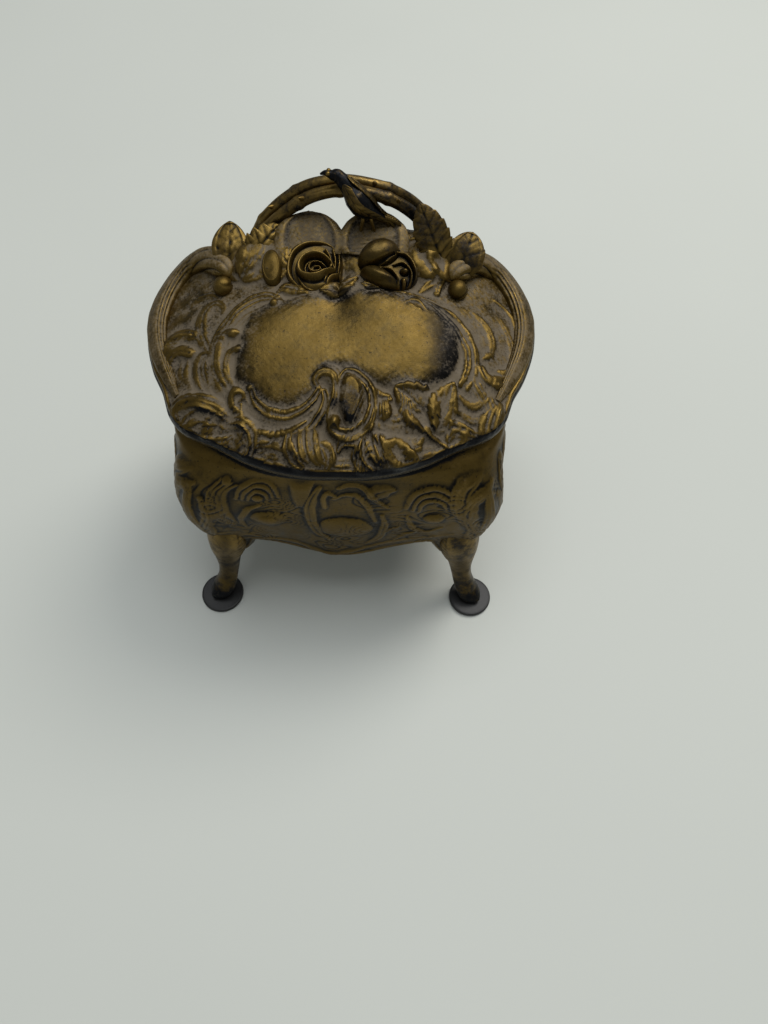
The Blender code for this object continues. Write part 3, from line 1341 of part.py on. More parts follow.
def main():
    """Build the casket."""
    clear_scene()
    parts = new_collection("jewelry_casket")
    tools = new_collection("cutters")
    gilt = new_material("gilt_casting", (0.23, 0.16, 0.06), 0.42, 0.9)
    brass = new_material("hinge_brass", (0.30, 0.22, 0.10), 0.4, 0.95)
    plate_metal = new_material("plate_metal", (0.26, 0.24, 0.2), 0.5, 0.9)
    black = new_material("black_disc", (0.02, 0.02, 0.02), 0.35, 0.6)
    silk = new_material("lining_silk", (0.62, 0.50, 0.42), 0.6, 0.0)
    body_envelope, dome_envelope = build_envelopes(tools, gilt)
    build_body(parts, tools, gilt)
    build_plate(parts, plate_metal)
    build_feet(body_envelope, parts, tools, gilt, black)
    build_lid(parts, tools, gilt)
    build_lid_lining(parts, silk)
    for place, side in (("left", -1.0), ("right", 1.0)):
        build_hinge(
            place,
            side * HINGE_PLACE_X,
            body_envelope,
            dome_envelope,
            parts,
            tools,
            brass,
        )
    build_lining(parts, silk)
    build_handle(dome_envelope, parts, gilt)
    build_bird(parts, tools, gilt)
    rose_guide = build_rose(dome_envelope, parts, tools, gilt)
    build_bud(dome_envelope, parts, tools, gilt)
    petal_guide = build_petals(dome_envelope, rose_guide, parts, tools, gilt)
    scroll_guides = build_scrolls(dome_envelope, parts, tools, gilt)
    build_leaves(dome_envelope, scroll_guides, petal_guide, parts, gilt)
    carry_lid(build_lid_axis(parts), parts)


main()
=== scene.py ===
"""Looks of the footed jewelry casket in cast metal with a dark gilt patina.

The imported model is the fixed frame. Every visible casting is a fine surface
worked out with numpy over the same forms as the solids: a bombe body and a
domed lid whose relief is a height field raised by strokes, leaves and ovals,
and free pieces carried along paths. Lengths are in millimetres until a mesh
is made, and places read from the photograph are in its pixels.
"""

import logging
import math
from collections.abc import Callable
from dataclasses import dataclass, field
from enum import Enum

import bpy
import numpy as np
from mathutils import Matrix


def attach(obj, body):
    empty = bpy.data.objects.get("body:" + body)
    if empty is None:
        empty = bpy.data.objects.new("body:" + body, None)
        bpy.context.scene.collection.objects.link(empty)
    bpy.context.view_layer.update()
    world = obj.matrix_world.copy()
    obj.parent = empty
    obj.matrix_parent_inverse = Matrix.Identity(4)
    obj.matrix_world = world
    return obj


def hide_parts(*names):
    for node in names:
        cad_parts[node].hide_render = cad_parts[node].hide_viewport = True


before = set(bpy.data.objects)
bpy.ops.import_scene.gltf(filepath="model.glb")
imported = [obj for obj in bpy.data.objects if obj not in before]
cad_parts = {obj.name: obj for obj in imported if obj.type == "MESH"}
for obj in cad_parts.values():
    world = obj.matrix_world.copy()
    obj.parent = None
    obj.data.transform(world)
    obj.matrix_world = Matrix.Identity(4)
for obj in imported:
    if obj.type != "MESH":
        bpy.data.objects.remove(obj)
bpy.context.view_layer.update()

LOG = logging.getLogger("casket")
MM = 0.001
FULL_TURN = 2.0 * math.pi
Array = np.ndarray


def smoothstep(value: Array) -> Array:
    """Ease a value from 0 to 1 by three squares less two cubes."""
    held = np.clip(value, 0.0, 1.0)
    return held * held * (3.0 - 2.0 * held)


def catmull_rom(points: Array, count: int, closed: bool = False) -> Array:
    """Sample a Catmull-Rom curve through points at equal lengths.

    Args:
        points: Points in any number of dimensions, one a row.
        count: How many samples to return.
        closed: Whether the curve runs back to its first point.

    Returns:
        The samples, one a row.
    """
    points = np.asarray(points, dtype=float)
    if closed:
        padded = np.vstack([points[-1:], points, points[:2]])
    else:
        first = 2.0 * points[:1] - points[1:2]
        last = 2.0 * points[-1:] - points[-2:-1]
        padded = np.vstack([first, points, last])
    ends = (padded[:-3], padded[1:-2], padded[2:-1], padded[3:])
    a, b, c, d = (part[:, None, :] for part in ends)
    step = np.linspace(0.0, 1.0, 24, endpoint=False)[None, :, None]
    cubic = 3.0 * (b - c) + d - a
    square = 2.0 * a - 5.0 * b + 4.0 * c - d
    curve = b + 0.5 * step * ((c - a) + step * (square + step * cubic))
    curve = curve.reshape(-1, points.shape[1])
    curve = np.vstack([curve, points[:1] if closed else points[-1:]])
    travelled = np.concatenate([[0.0], np.cumsum(lengths_of(np.diff(curve, axis=0)))])
    wanted = np.linspace(0.0, travelled[-1], count, endpoint=not closed)
    columns = [np.interp(wanted, travelled, column) for column in curve.T]
    return np.stack(columns, axis=1)


def lengths_of(vectors: Array) -> Array:
    """Length of each vector along the last axis."""
    return np.sqrt(np.sum(vectors * vectors, axis=-1))


def unit(vectors: Array) -> Array:
    """Vectors scaled to length 1 along the last axis."""
    return vectors / np.maximum(lengths_of(vectors), 1e-12)[..., None]


def symmetric_outline(half_shares: Array, half_size: tuple, count: int) -> Array:
    """Close a half outline, given as shares, into a ring about x = 0."""
    half = np.array(half_shares) * np.array(half_size)
    other = half[-2:0:-1] * np.array([-1.0, 1.0])
    return catmull_rom(np.vstack([half, other]), count, closed=True)


def polar_table(outline: Array, centre: tuple) -> tuple:
    """Angles and radii of an outline about a centre, sorted by angle."""
    offsets = outline - np.asarray(centre)
    angles = np.arctan2(offsets[:, 1], offsets[:, 0])
    order = np.argsort(angles)
    return angles[order], lengths_of(offsets)[order]


def radius_at(table: tuple, angle: Array) -> Array:
    """Radius of a polar table at any angle."""
    return np.interp(angle, table[0], table[1], period=FULL_TURN)


def on_circle(angle: Array, reach: Array, height: Array) -> Array:
    """Points at angles, reaches and heights round the middle."""
    return np.stack([reach * np.cos(angle), reach * np.sin(angle), height], axis=-1)


def noise(u: Array, v: Array, seed: int, waves: int = 7) -> Array:
    """Smooth uneven field from -1 to 1: a mean of sines in turned directions."""
    random = np.random.default_rng(seed)
    total = np.zeros_like(u)
    for _ in range(waves):
        turn, phase = random.uniform(0.0, FULL_TURN, 2)
        pitch = random.uniform(0.6, 1.7)
        total += np.sin(pitch * (u * math.cos(turn) + v * math.sin(turn)) + phase)
    return total / waves


@dataclass(frozen=True)
class PhotoCamera:
    """Pin-hole camera of the photograph, in the casket's frame.

    A point p is seen at focal * (right, down) / forward from the middle of
    the picture, where right, down and forward are p's distances along the
    camera's three axes. Forms are looked for between near and far.
    """

    place: tuple = (14.8, -167.0, 289.5)
    pitch_deg: float = 60.75
    roll_deg: float = -0.92
    focal: float = 769.0
    width: float = 768.0
    height: float = 1024.0
    sensor: float = 36.0
    near: float = 190.0
    far: float = 330.0

    def axes(self) -> Array:
        """Right, down and forward axes, one a row."""
        pitch, roll = np.radians([self.pitch_deg, self.roll_deg])
        forward = np.array([0.0, math.cos(pitch), -math.sin(pitch)])
        right = np.array([1.0, 0.0, 0.0])
        down = np.cross(forward, right)
        turned_right = math.cos(roll) * right + math.sin(roll) * down
        turned_down = math.cos(roll) * down - math.sin(roll) * right
        return np.array([turned_right, turned_down, forward])

    def first_hit(self, pixels: Array, inside: Callable) -> Array:
        """Points where the rays through pixels first enter a form.

        Args:
            pixels: Pixels, one a row.
            inside: Function of x, y, z that is above 0 inside the form.

        Returns:
            The points, one a row.
        """
        offsets = (pixels - np.array([self.width, self.height]) / 2.0) / self.focal
        axes = self.axes()
        rays = unit(offsets @ axes[:2] + axes[2])
        along = np.linspace(self.near, self.far, 1400)
        points = np.array(self.place) + rays[:, None, :] * along[None, :, None]
        depth = inside(points[..., 0], points[..., 1], points[..., 2])
        entered = np.argmax(depth > 0.0, axis=1)
        entered = np.where(entered == 0, len(along) - 1, entered)
        row = np.arange(len(rays))
        after, before = depth[row, entered], depth[row, entered - 1]
        share = np.clip(-before / np.maximum(after - before, 1e-9), 0.0, 1.0)
        reach = along[entered - 1] + share * (along[entered] - along[entered - 1])
        return np.array(self.place) + rays * reach[:, None]

    def build(self) -> None:
        """Make the scene's camera."""
        data = bpy.data.cameras.new("photo_camera")
        data.sensor_width = self.sensor
        data.lens = self.sensor * self.focal / max(self.width, self.height)
        data.clip_start, data.clip_end = 0.01, 20.0
        item = bpy.data.objects.new("photo_camera", data)
        right, down, forward = self.axes()
        turned = np.eye(4)
        turned[:3, :3] = np.column_stack([right, -down, -forward])
        turned[:3, 3] = np.array(self.place) * MM
        item.matrix_world = Matrix(turned.tolist())
        bpy.context.scene.collection.objects.link(item)
        bpy.context.scene.camera = item


CAMERA = PhotoCamera()


class BodyForm:
    """Outer form of the bombe body, the same as the solid's.

    Its reach at an angle and a height is the square belly's, blended by the
    square of the share above the belly towards the oval rim, and drawn in a
    little below the belly.
    """

    half_width = 50.5
    half_depth = 44.0
    top = 94.0
    belly = 66.0
    apron = 43.0
    apron_dip = 7.5
    apron_span = 33.0
    corner_drop = 12.0
    corner_run = 9.0
    wall = 2.2
    taper_share = 0.025
    belly_shares = (
        (0.0, -1.0), (0.36, -0.99), (0.66, -0.965), (0.86, -0.965), (0.965, -0.925),
        (1.005, -0.80), (1.0, -0.60), (0.985, -0.30), (0.985, 0.0), (0.985, 0.30),
        (1.0, 0.60), (1.005, 0.80), (0.965, 0.925), (0.86, 0.955), (0.66, 0.945),
        (0.36, 0.94), (0.0, 0.94),
    )
    top_shares = (
        (0.0, -0.955), (0.28, -0.94), (0.50, -0.87), (0.68, -0.775), (0.84, -0.665),
        (0.95, -0.52), (0.985, -0.30), (1.0, 0.0), (0.99, 0.40), (0.955, 0.65),
        (0.85, 0.82), (0.66, 0.90), (0.36, 0.93), (0.0, 0.935),
    )
    ankle = (44.5, 38.5)
    ankle_radius = 3.8

    def __init__(self) -> None:
        """Work out the two outlines and the distances round the belly."""
        size = (self.half_width, self.half_depth)
        outline = symmetric_outline(self.belly_shares, size, 512)
        self.belly_polar = polar_table(outline, (0.0, 0.0))
        top_outline = symmetric_outline(self.top_shares, size, 512)
        self.top_polar = polar_table(top_outline, (0.0, 0.0))
        steps = lengths_of(np.roll(outline, -1, axis=0) - outline)
        self.travelled = np.concatenate([[0.0], np.cumsum(steps)])
        self.girth = float(self.travelled[-1])
        angles = np.unwrap(np.arctan2(outline[:, 1], outline[:, 0]))
        self.angles = np.append(angles, angles[0] + FULL_TURN)

    def radius(self, angle: Array, height: Array) -> Array:
        """Reach of the outer face at an angle and a height."""
        above = np.clip((height - self.belly) / (self.top - self.belly), 0.0, 1.0)
        drop = self.belly - self.apron + self.corner_drop
        below = np.clip((self.belly - height) / drop, 0.0, 1.0)
        belly = radius_at(self.belly_polar, angle)
        reach = belly + (radius_at(self.top_polar, angle) - belly) * above**2
        return reach * (1.0 - self.taper_share * below**1.5)

    def edge(self, angle: Array) -> Array:
        """Height of the lower edge: a dip in each side, a drop at corners."""
        reach = radius_at(self.belly_polar, angle)
        x, y = np.abs(reach * np.cos(angle)), np.abs(reach * np.sin(angle))
        on_front = y / self.half_depth > x / self.half_width
        along = np.where(on_front, x, y)
        ankle = np.where(on_front, self.ankle[0], self.ankle[1])
        wave = math.pi * np.clip(along / self.apron_span, 0.0, 1.0)
        start = ankle - self.ankle_radius - self.corner_run
        down = smoothstep((along - start) / self.corner_run)
        dip = self.apron_dip * (0.5 + 0.5 * np.cos(wave))
        return self.apron - dip - self.corner_drop * down

    def angle_at(self, along: Array) -> Array:
        """Angle at a distance round the belly, from 0 in front, +X first."""
        return np.interp(np.mod(along, self.girth), self.travelled, self.angles)

    def along_at(self, angle: Array) -> Array:
        """Distance round the belly at an angle, from -half to half the girth."""
        turned = self.angles[0] + np.mod(angle - self.angles[0], FULL_TURN)
        along = np.interp(turned, self.angles, self.travelled)
        return np.where(along > self.girth / 2.0, along - self.girth, along)

    def from_photo(self, pixels: Array) -> Array:
        """Chart places (distance round, height) under pixels of the photo."""

        def inside(x: Array, y: Array, z: Array) -> Array:
            """Depth of points inside the body."""
            return self.radius(np.arctan2(y, x), z) - np.hypot(x, y)

        points = CAMERA.first_hit(pixels, inside)
        angle = np.arctan2(points[:, 1], points[:, 0])
        return np.column_stack([self.along_at(angle), points[:, 2]])


class LidForm:
    """Outer form of the domed lid, the same as the solid's.

    The height over the rim is the rise times one less the share of the way
    to the rim raised to a power, and both rise and power grow rearward.
    """

    half_width = 63.0
    half_depth = 45.0
    band = 2.0
    side_lift = 3.0
    wall = 3.0
    seat = 94.3
    centre_y = 8.0
    crest_y = 29.0
    front_rise = 18.5
    crest_rise = 26.0
    front_power = 2.1
    rear_power = 4.0
    lip_inset = 0.6
    rim_shares = (
        (0.0, -1.0), (0.14, -1.0), (0.29, -0.965), (0.43, -0.9), (0.57, -0.8),
        (0.73, -0.7), (0.815, -0.585), (0.865, -0.42), (0.93, -0.245), (0.985, 0.0),
        (1.0, 0.245), (0.965, 0.48), (0.905, 0.67), (0.81, 0.79), (0.7, 0.85),
        (0.52, 0.92), (0.35, 0.965), (0.17, 0.97), (0.0, 0.97),
    )

    def __init__(self) -> None:
        """Work out the rim's outline."""
        outline = symmetric_outline(self.rim_shares, (self.half_width, self.half_depth), 600)
        self.middle = np.array([0.0, self.centre_y])
        self.rim_polar = polar_table(outline, self.middle)

    def plan(self, angle: Array, reach: Array) -> tuple:
        """Plan places at angles and reaches from the middle."""
        return reach * np.cos(angle), self.centre_y + reach * np.sin(angle)

    def height(self, x: Array, y: Array) -> Array:
        """Height of the dome above a place of the plan.

        The rim that it stands on is lifted towards the two sides.
        """
        ahead = y - self.centre_y
        angle = np.arctan2(ahead, x)
        share = np.hypot(x, ahead) / radius_at(self.rim_polar, angle)
        share = np.clip(share, 0.0, 1.0)
        crest = smoothstep(ahead / (self.crest_y - self.centre_y))
        rise = self.front_rise + (self.crest_rise - self.front_rise) * crest
        rearward = smoothstep(np.sin(angle))
        power = self.front_power + (self.rear_power - self.front_power) * rearward
        rim = self.seat + self.band + self.side_lift * np.cos(angle) ** 2
        return rim + rise * (1.0 - share**power)

    def at(self, x: float, y: float) -> Array:
        """Point of the dome over one place of the plan."""
        return np.array([x, y, float(self.height(np.array(x), np.array(y)))])

    def normal(self, x: Array, y: Array) -> Array:
        """Unit normal of the dome, from its slopes over a small step."""
        step = 0.3
        along_x = self.height(x + step, y) - self.height(x - step, y)
        along_y = self.height(x, y + step) - self.height(x, y - step)
        rise = np.full(np.shape(along_x), 2.0 * step)
        return unit(np.stack([-along_x, -along_y, rise], axis=-1))

    def point(self, x: Array, y: Array, lift: Array) -> Array:
        """Points over places of the plan, lifted along the normal."""
        base = np.stack([x, y, self.height(x, y)], axis=-1)
        return base + lift[..., None] * self.normal(x, y)

    def from_photo(self, pixels: Array, lift: float = 0.0) -> Array:
        """Plan places of the dome, or a lift above it, under pixels."""

        def inside(x: Array, y: Array, z: Array) -> Array:
            """Depth of points inside the dome."""
            ahead = y - self.centre_y
            reach = radius_at(self.rim_polar, np.arctan2(ahead, x))
            over = np.hypot(x, ahead) - reach
            return self.height(x, y) + lift - z - 2.0 * np.clip(over, 0.0, None)

        return CAMERA.first_hit(pixels, inside)[:, :2]


BODY = BodyForm()
LID = LidForm()


def rim_table(outward: float) -> tuple:
    """Polar table about the lid's middle of the body's rim, moved outward."""
    turn = np.linspace(-math.pi, math.pi, 512, endpoint=False)
    reach = BODY.radius(turn, np.full(turn.shape, BODY.top)) + outward
    return polar_table(on_circle(turn, reach, turn)[:, :2], LID.middle)


class Profile(Enum):
    """Cross-section of a stroke of relief, from -1 to 1 across it."""

    ROUND = "round"
    SOFT = "soft"
    CHANNEL = "channel"
    TWIN = "twin"
    TRIPLE = "triple"
    VALLEY = "valley"

    def rise(self, across: Array) -> Array:
        """Share of the stroke's height at a place across it.

        ROUND is a full ridge with sloping sides, SOFT a bell, CHANNEL a
        hollow between two edges, TWIN and TRIPLE are rounded ribs side by
        side, and VALLEY is a bell cut in.
        """
        side = np.abs(across)
        flank = smoothstep((1.0 - side) / 0.45) ** 0.8
        bell = np.clip(1.0 - side**2, 0.0, 1.0) ** 2
        if self is Profile.ROUND:
            side = np.abs(across + 0.30 * (1.0 - np.minimum(side, 1.0) ** 2))
            return np.clip(1.0 - side**2.0, 0.0, 1.0) ** 0.9
        if self is Profile.CHANNEL:
            return flank * (0.35 + 0.65 * smoothstep((side - 0.20) / 0.5))
        if self is Profile.TWIN:
            return flank * (0.58 + 0.42 * np.abs(np.sin(math.pi * across)) ** 0.8)
        if self is Profile.TRIPLE:
            return flank * (0.60 + 0.40 * np.abs(np.cos(1.5 * math.pi * across)) ** 0.8)
        return bell if self is Profile.SOFT else -bell


class Form(Enum):
    """Form of a mark of relief other than a stroke."""

    LEAF = "leaf"
    LOBE = "lobe"
    OVAL = "oval"


ROUND, SOFT, CHANNEL, TWIN, TRIPLE, VALLEY = Profile
LEAF, LOBE, OVAL = Form


def curl(start: Array, centre: Array, turns: float) -> Array:
    """Points of a spiral from a start in towards a centre, turning left.

    The radius falls evenly to a fifth while the angle turns.
    """
    offset = start - centre
    share = np.linspace(0.0, 1.0, int(10 * turns))
    radius = math.hypot(*offset) * (1.0 - 0.8 * share)
    turn = math.atan2(offset[1], offset[0]) + FULL_TURN * turns * share
    return centre + np.column_stack([radius * np.cos(turn), radius * np.sin(turn)])


class Relief:
    """Height field over a chart of a surface, in millimetres.

    Every stroke raises the field to at least its own height above the ground
    that it lies on, so that later strokes overlap earlier ones as castings
    do. Where two meet, they blend over a small height.
    """

    blend = 0.6
    pitch = 1.4

    def __init__(
        self, u: Array, v: Array, swell: float = 1.0, lines: float = 0.0, waver: float = 0.0
    ) -> None:
        """Start flat over a chart.

        Args:
            u: First chart place of each point.
            v: Second chart place of each point.
            swell: How much wider than read the strokes are laid.
            lines: Depth of the fine chasing lines along the strokes.
            waver: How far the strokes wander from their paths.
        """
        self.u = u + waver * noise(0.8 * u, 0.8 * v, 51, 9)
        self.v = v + waver * noise(0.8 * u, 0.8 * v, 52, 9)
        self.rise = np.zeros_like(u)
        self.swell, self.lines = swell, lines

    def near(self, path: Array, reach: float) -> tuple:
        """Places near a path, and where they lie along and beside it.

        Args:
            path: Chart points of the path, one a row.
            reach: How far beside the path to look.

        Returns:
            The mask of the places, their share along the path, and their
            signed distance beside it.
        """
        low, high = path.min(axis=0) - reach, path.max(axis=0) + reach
        mask = (self.u > low[0]) & (self.u < high[0])
        mask &= (self.v > low[1]) & (self.v < high[1])
        places = np.column_stack([self.u[mask], self.v[mask]])
        start, step = path[:-1], np.diff(path, axis=0)
        length = lengths_of(step)
        before = np.concatenate([[0.0], np.cumsum(length)])
        best = np.full(len(places), 1e9)
        along = np.zeros(len(places))
        beside = np.zeros(len(places))
        for a, d, size, gone in zip(start, step, length, before):
            gap = places - a
            held = np.clip(gap @ d / max(size * size, 1e-9), 0.0, 1.0)
            distance = lengths_of(gap - held[:, None] * d)
            closer = distance < best
            best = np.where(closer, distance, best)
            along = np.where(closer, (gone + held * size) / before[-1], along)
            side = np.sign(d[0] * gap[:, 1] - d[1] * gap[:, 0])
            beside = np.where(closer, side * distance, beside)
        return mask, along, beside

    def lay(self, mask: Array, rise: Array, inside: Array, over: bool = False) -> None:
        """Raise the field where a form is inside its outline.

        Args:
            mask: The places that the form was worked out for.
            rise: The form's height there.
            inside: Whether each place is inside the form's outline.
            over: Whether the form lies on what is there, or beside it.
        """
        ground = self.rise[mask]
        if over:
            raised = ground + rise
        else:
            blend = self.blend * smoothstep(rise / self.blend)
            share = np.clip(0.5 + 0.5 * (rise - ground) / np.maximum(blend, 1e-6), 0.0, 1.0)
            raised = ground + (rise - ground) * share + blend * share * (1.0 - share)
        self.rise[mask] = np.where(inside, raised, ground)

    def pillow(self, outline: Array, height: float, run: float) -> Array:
        """Raise the inside of an outline as a pillow.

        Its height follows a quarter circle from the outline in, over a run.

        Args:
            outline: Chart points of the closed outline.
            height: Height in its middle.
            run: Distance from the outline over which it rises.

        Returns:
            How far inside the outline each place is, from 0 to 1 at the run.
        """
        outline = catmull_rom(outline, 120, closed=True)
        closed = np.vstack([outline, outline[:1]])
        mask, _, beside = self.near(closed, 1.0)
        u, v = self.u[mask], self.v[mask]
        crossed = np.zeros(u.shape, int)
        for (x0, y0), (x1, y1) in zip(closed[:-1], closed[1:]):
            spans = (y0 > v) != (y1 > v)
            level = np.where(spans, (v - y0) / (y1 - y0 if y1 != y0 else 1.0), 0.0)
            crossed += spans & (u < x0 + level * (x1 - x0))
        inside = crossed % 2 == 1
        depth = np.clip(np.abs(beside) / run, 0.0, 1.0) * inside
        rise = height * np.sqrt(np.clip(1.0 - (1.0 - depth) ** 2, 0.0, 1.0))
        self.lay(mask, rise, inside)
        deep = np.zeros_like(self.rise)
        deep[mask] = depth
        return deep

    def ribbon(self, path: Array, widths: tuple) -> tuple:
        """Places under a ribbon along a smooth path.

        Args:
            path: Chart points that the path goes through.
            widths: Half widths at equal shares along the path.

        Returns:
            The mask of the places, their distance beside the path, the half
            width there, and the root of its share of the widest.
        """
        widths = np.multiply(widths, self.swell)
        mask, along, beside = self.near(catmull_rom(path, 40), widths.max())
        half = np.interp(along, np.linspace(0.0, 1.0, len(widths)), widths)
        return mask, beside, half, np.sqrt(half / widths.max())

    def chased(self, rise: Array, beside: Array, half: Array) -> Array:
        """Rise with fine lines cut in, cosines of the distance beside a path."""
        wave = 0.5 + 0.5 * np.cos(FULL_TURN * beside / self.pitch + 0.7 * half)
        lines = self.lines * wave**2 * smoothstep((half - 0.7) / 0.8)
        return np.maximum(rise - lines * (rise > 0.3), 0.0)

    def stroke(
        self, path: Array, widths: tuple, height: float, profile: Profile = ROUND
    ) -> None:
        """Raise a stroke along a path, or cut it in if it is a valley."""
        mask, beside, half, size = self.ribbon(path, widths)
        rise = height * size * profile.rise(beside / half)
        if profile is not VALLEY:
            rise = self.chased(rise, beside, half)
        self.lay(mask, rise, np.abs(beside / half) < 1.0, profile is VALLEY)

    def lobe(self, path: Array, widths: tuple, height: float, ribs: int) -> None:
        """Raise an acanthus lobe: a full stroke fluted along its length."""
        mask, beside, half, size = self.ribbon(path, widths)
        across = beside / half
        ball = np.clip(1.0 - across**2, 0.0, 1.0) ** 0.65
        flute = np.abs(np.cos(0.5 * math.pi * ribs * (across + 1.0))) ** 0.8
        rise = self.chased(1.25 * height * size * ball * (1.0 - 0.34 * flute), beside, half)
        self.lay(mask, rise, np.abs(across) < 1.0)

    def leaf(self, midrib: Array, sizes: tuple, height: float) -> None:
        """Raise a leaf about its midrib, over what is there.

        Its half width is the sine of the share along, made fuller at the
        base, with teeth as a saw wave, and slanting veins and the midrib are
        cut into a low crown. Its sizes are half width, veins and teeth.
        """
        half_width, veins, teeth = sizes
        mask, along, beside = self.near(catmull_rom(midrib, 30), half_width * 1.3)
        form = np.sin(math.pi * np.clip(along, 0.0, 1.0) ** 0.8) ** 0.75
        saw = np.mod(along * veins, 1.0)
        half = half_width * self.swell * form * (1.0 + 0.7 * teeth * (saw - 0.5)) + 0.05
        across = np.clip(np.abs(beside) / half, 0.0, 2.0)
        crown = np.clip(1.0 - across**3, 0.0, 1.0) ** 0.6
        vein = np.abs(np.sin(math.pi * (along * veins - 0.7 * across)))
        rise = height * crown * (0.84 + 0.16 * vein**0.4) * (0.75 + 0.25 * across)
        rise -= height * 0.25 * np.exp(-((beside / 0.30) ** 2)) * (along < 0.92)
        inside = (across < 1.0) & (along > 0.001) & (along < 0.999)
        self.lay(mask, np.maximum(rise, 0.0), inside, True)

    def oval(
        self,
        centre: tuple,
        radii: tuple,
        height: float,
        turn_deg: float = 0.0,
        power: float = 2.0,
        over: bool = False,
    ) -> None:
        """Raise an oval boss, a half ellipsoid or flatter by its power."""
        turn = math.radians(turn_deg)
        x, y = self.u - centre[0], self.v - centre[1]
        along = (x * math.cos(turn) + y * math.sin(turn)) / radii[0]
        across = (y * math.cos(turn) - x * math.sin(turn)) / radii[1]
        reach = np.hypot(along, across)
        mask = reach < 1.0
        rise = height * np.clip(1.0 - reach[mask] ** power, 0.0, 1.0) ** 0.5
        self.lay(mask, rise, True, over)

    def draw(self, marks: tuple, see: Callable) -> None:
        """Raise marks in turn.

        Args:
            marks: For each mark its form, height, sizes and places, and what
                more its form takes.
            see: Function from a view's places to chart places.
        """
        for form, height, sizes, places, *rest in marks:
            path = see(places)
            if form is OVAL:
                self.oval(path[0], sizes, height, *rest)
            elif form is LEAF:
                self.leaf(path, sizes, height)
            elif form is LOBE:
                self.lobe(path, sizes, height, *rest)
            else:
                self.stroke(path, sizes, height, form)


def ring_blur(values: Array, rounds: int) -> Array:
    """Blur closed rings with a small tent in both directions, several times."""
    for _ in range(rounds):
        beside = np.roll(values, 1, axis=1) + np.roll(values, -1, axis=1)
        values = 0.5 * values + 0.25 * beside
        held = np.pad(values, ((1, 1), (0, 0)), mode="edge")
        values = 0.5 * values + 0.25 * (held[2:] + held[:-2])
    return values


def swirls(u: Array, v: Array, seed: int, pitch: float) -> Array:
    """Chased lines that follow the contours of a smooth field, from 0 to 1.

    They are bells about the zeros of a sine of the field, about a pitch
    apart, in patches that a second field picks.
    """
    level = noise(0.36 * u, 0.36 * v, seed, 8) * 30.0 / pitch
    patch = smoothstep(0.5 + 1.9 * noise(0.30 * u, 0.30 * v, seed + 1, 6))
    return np.exp(-((np.sin(level) / 0.42) ** 2)) * patch


def creases(rise: Array, fine: float, broad: float, bent: Array) -> Array:
    """How hollow each place of a relief is, from -1 on ridges to 1 in creases.

    It is the blurred relief over the relief itself, for a narrow blur against
    one length and a wide blur against another, with the surface's own bend.
    Ridges count for a third, so that only creases reach their full depth.
    """
    near = (ring_blur(rise, 4) - rise) / fine
    wide = (ring_blur(rise, 22) - rise) / broad
    hollow = 0.5 * near + 0.6 * wide + 0.4 * bent
    return np.clip(np.where(hollow < 0.0, 0.32 * hollow, hollow), -1.0, 1.0)


def grid_normals(points: Array, wrap: bool = True) -> Array:
    """Unit normals of a grid, the cross product of its two directions."""
    if wrap:
        across = np.roll(points, -1, axis=1) - np.roll(points, 1, axis=1)
    else:
        across = np.gradient(points, axis=1)
    along = np.gradient(points, axis=0)
    return unit(np.cross(across, along))


def hollow_of(points: Array, scale: float) -> Array:
    """How deep each point lies in a hollow, from -1 on ridges to 1 in grooves.

    It is the distance of the blurred rings over the point along the normal,
    against a length.
    """
    normals = grid_normals(points)
    deep = np.zeros(points.shape[:2])
    for rounds, share in ((6, 1.6), (24, 1.0)):
        blurred = np.stack([ring_blur(axis, rounds) for axis in np.moveaxis(points, -1, 0)], -1)
        deep += share * np.sum((blurred - points) * normals, axis=-1) / scale
    return np.clip(deep, -1.0, 1.0)


def extended(values: Array, count: int, fill: float) -> Array:
    """Values with a number of rows of one value below them."""
    return np.vstack([values, np.full((count, values.shape[1]), fill)])


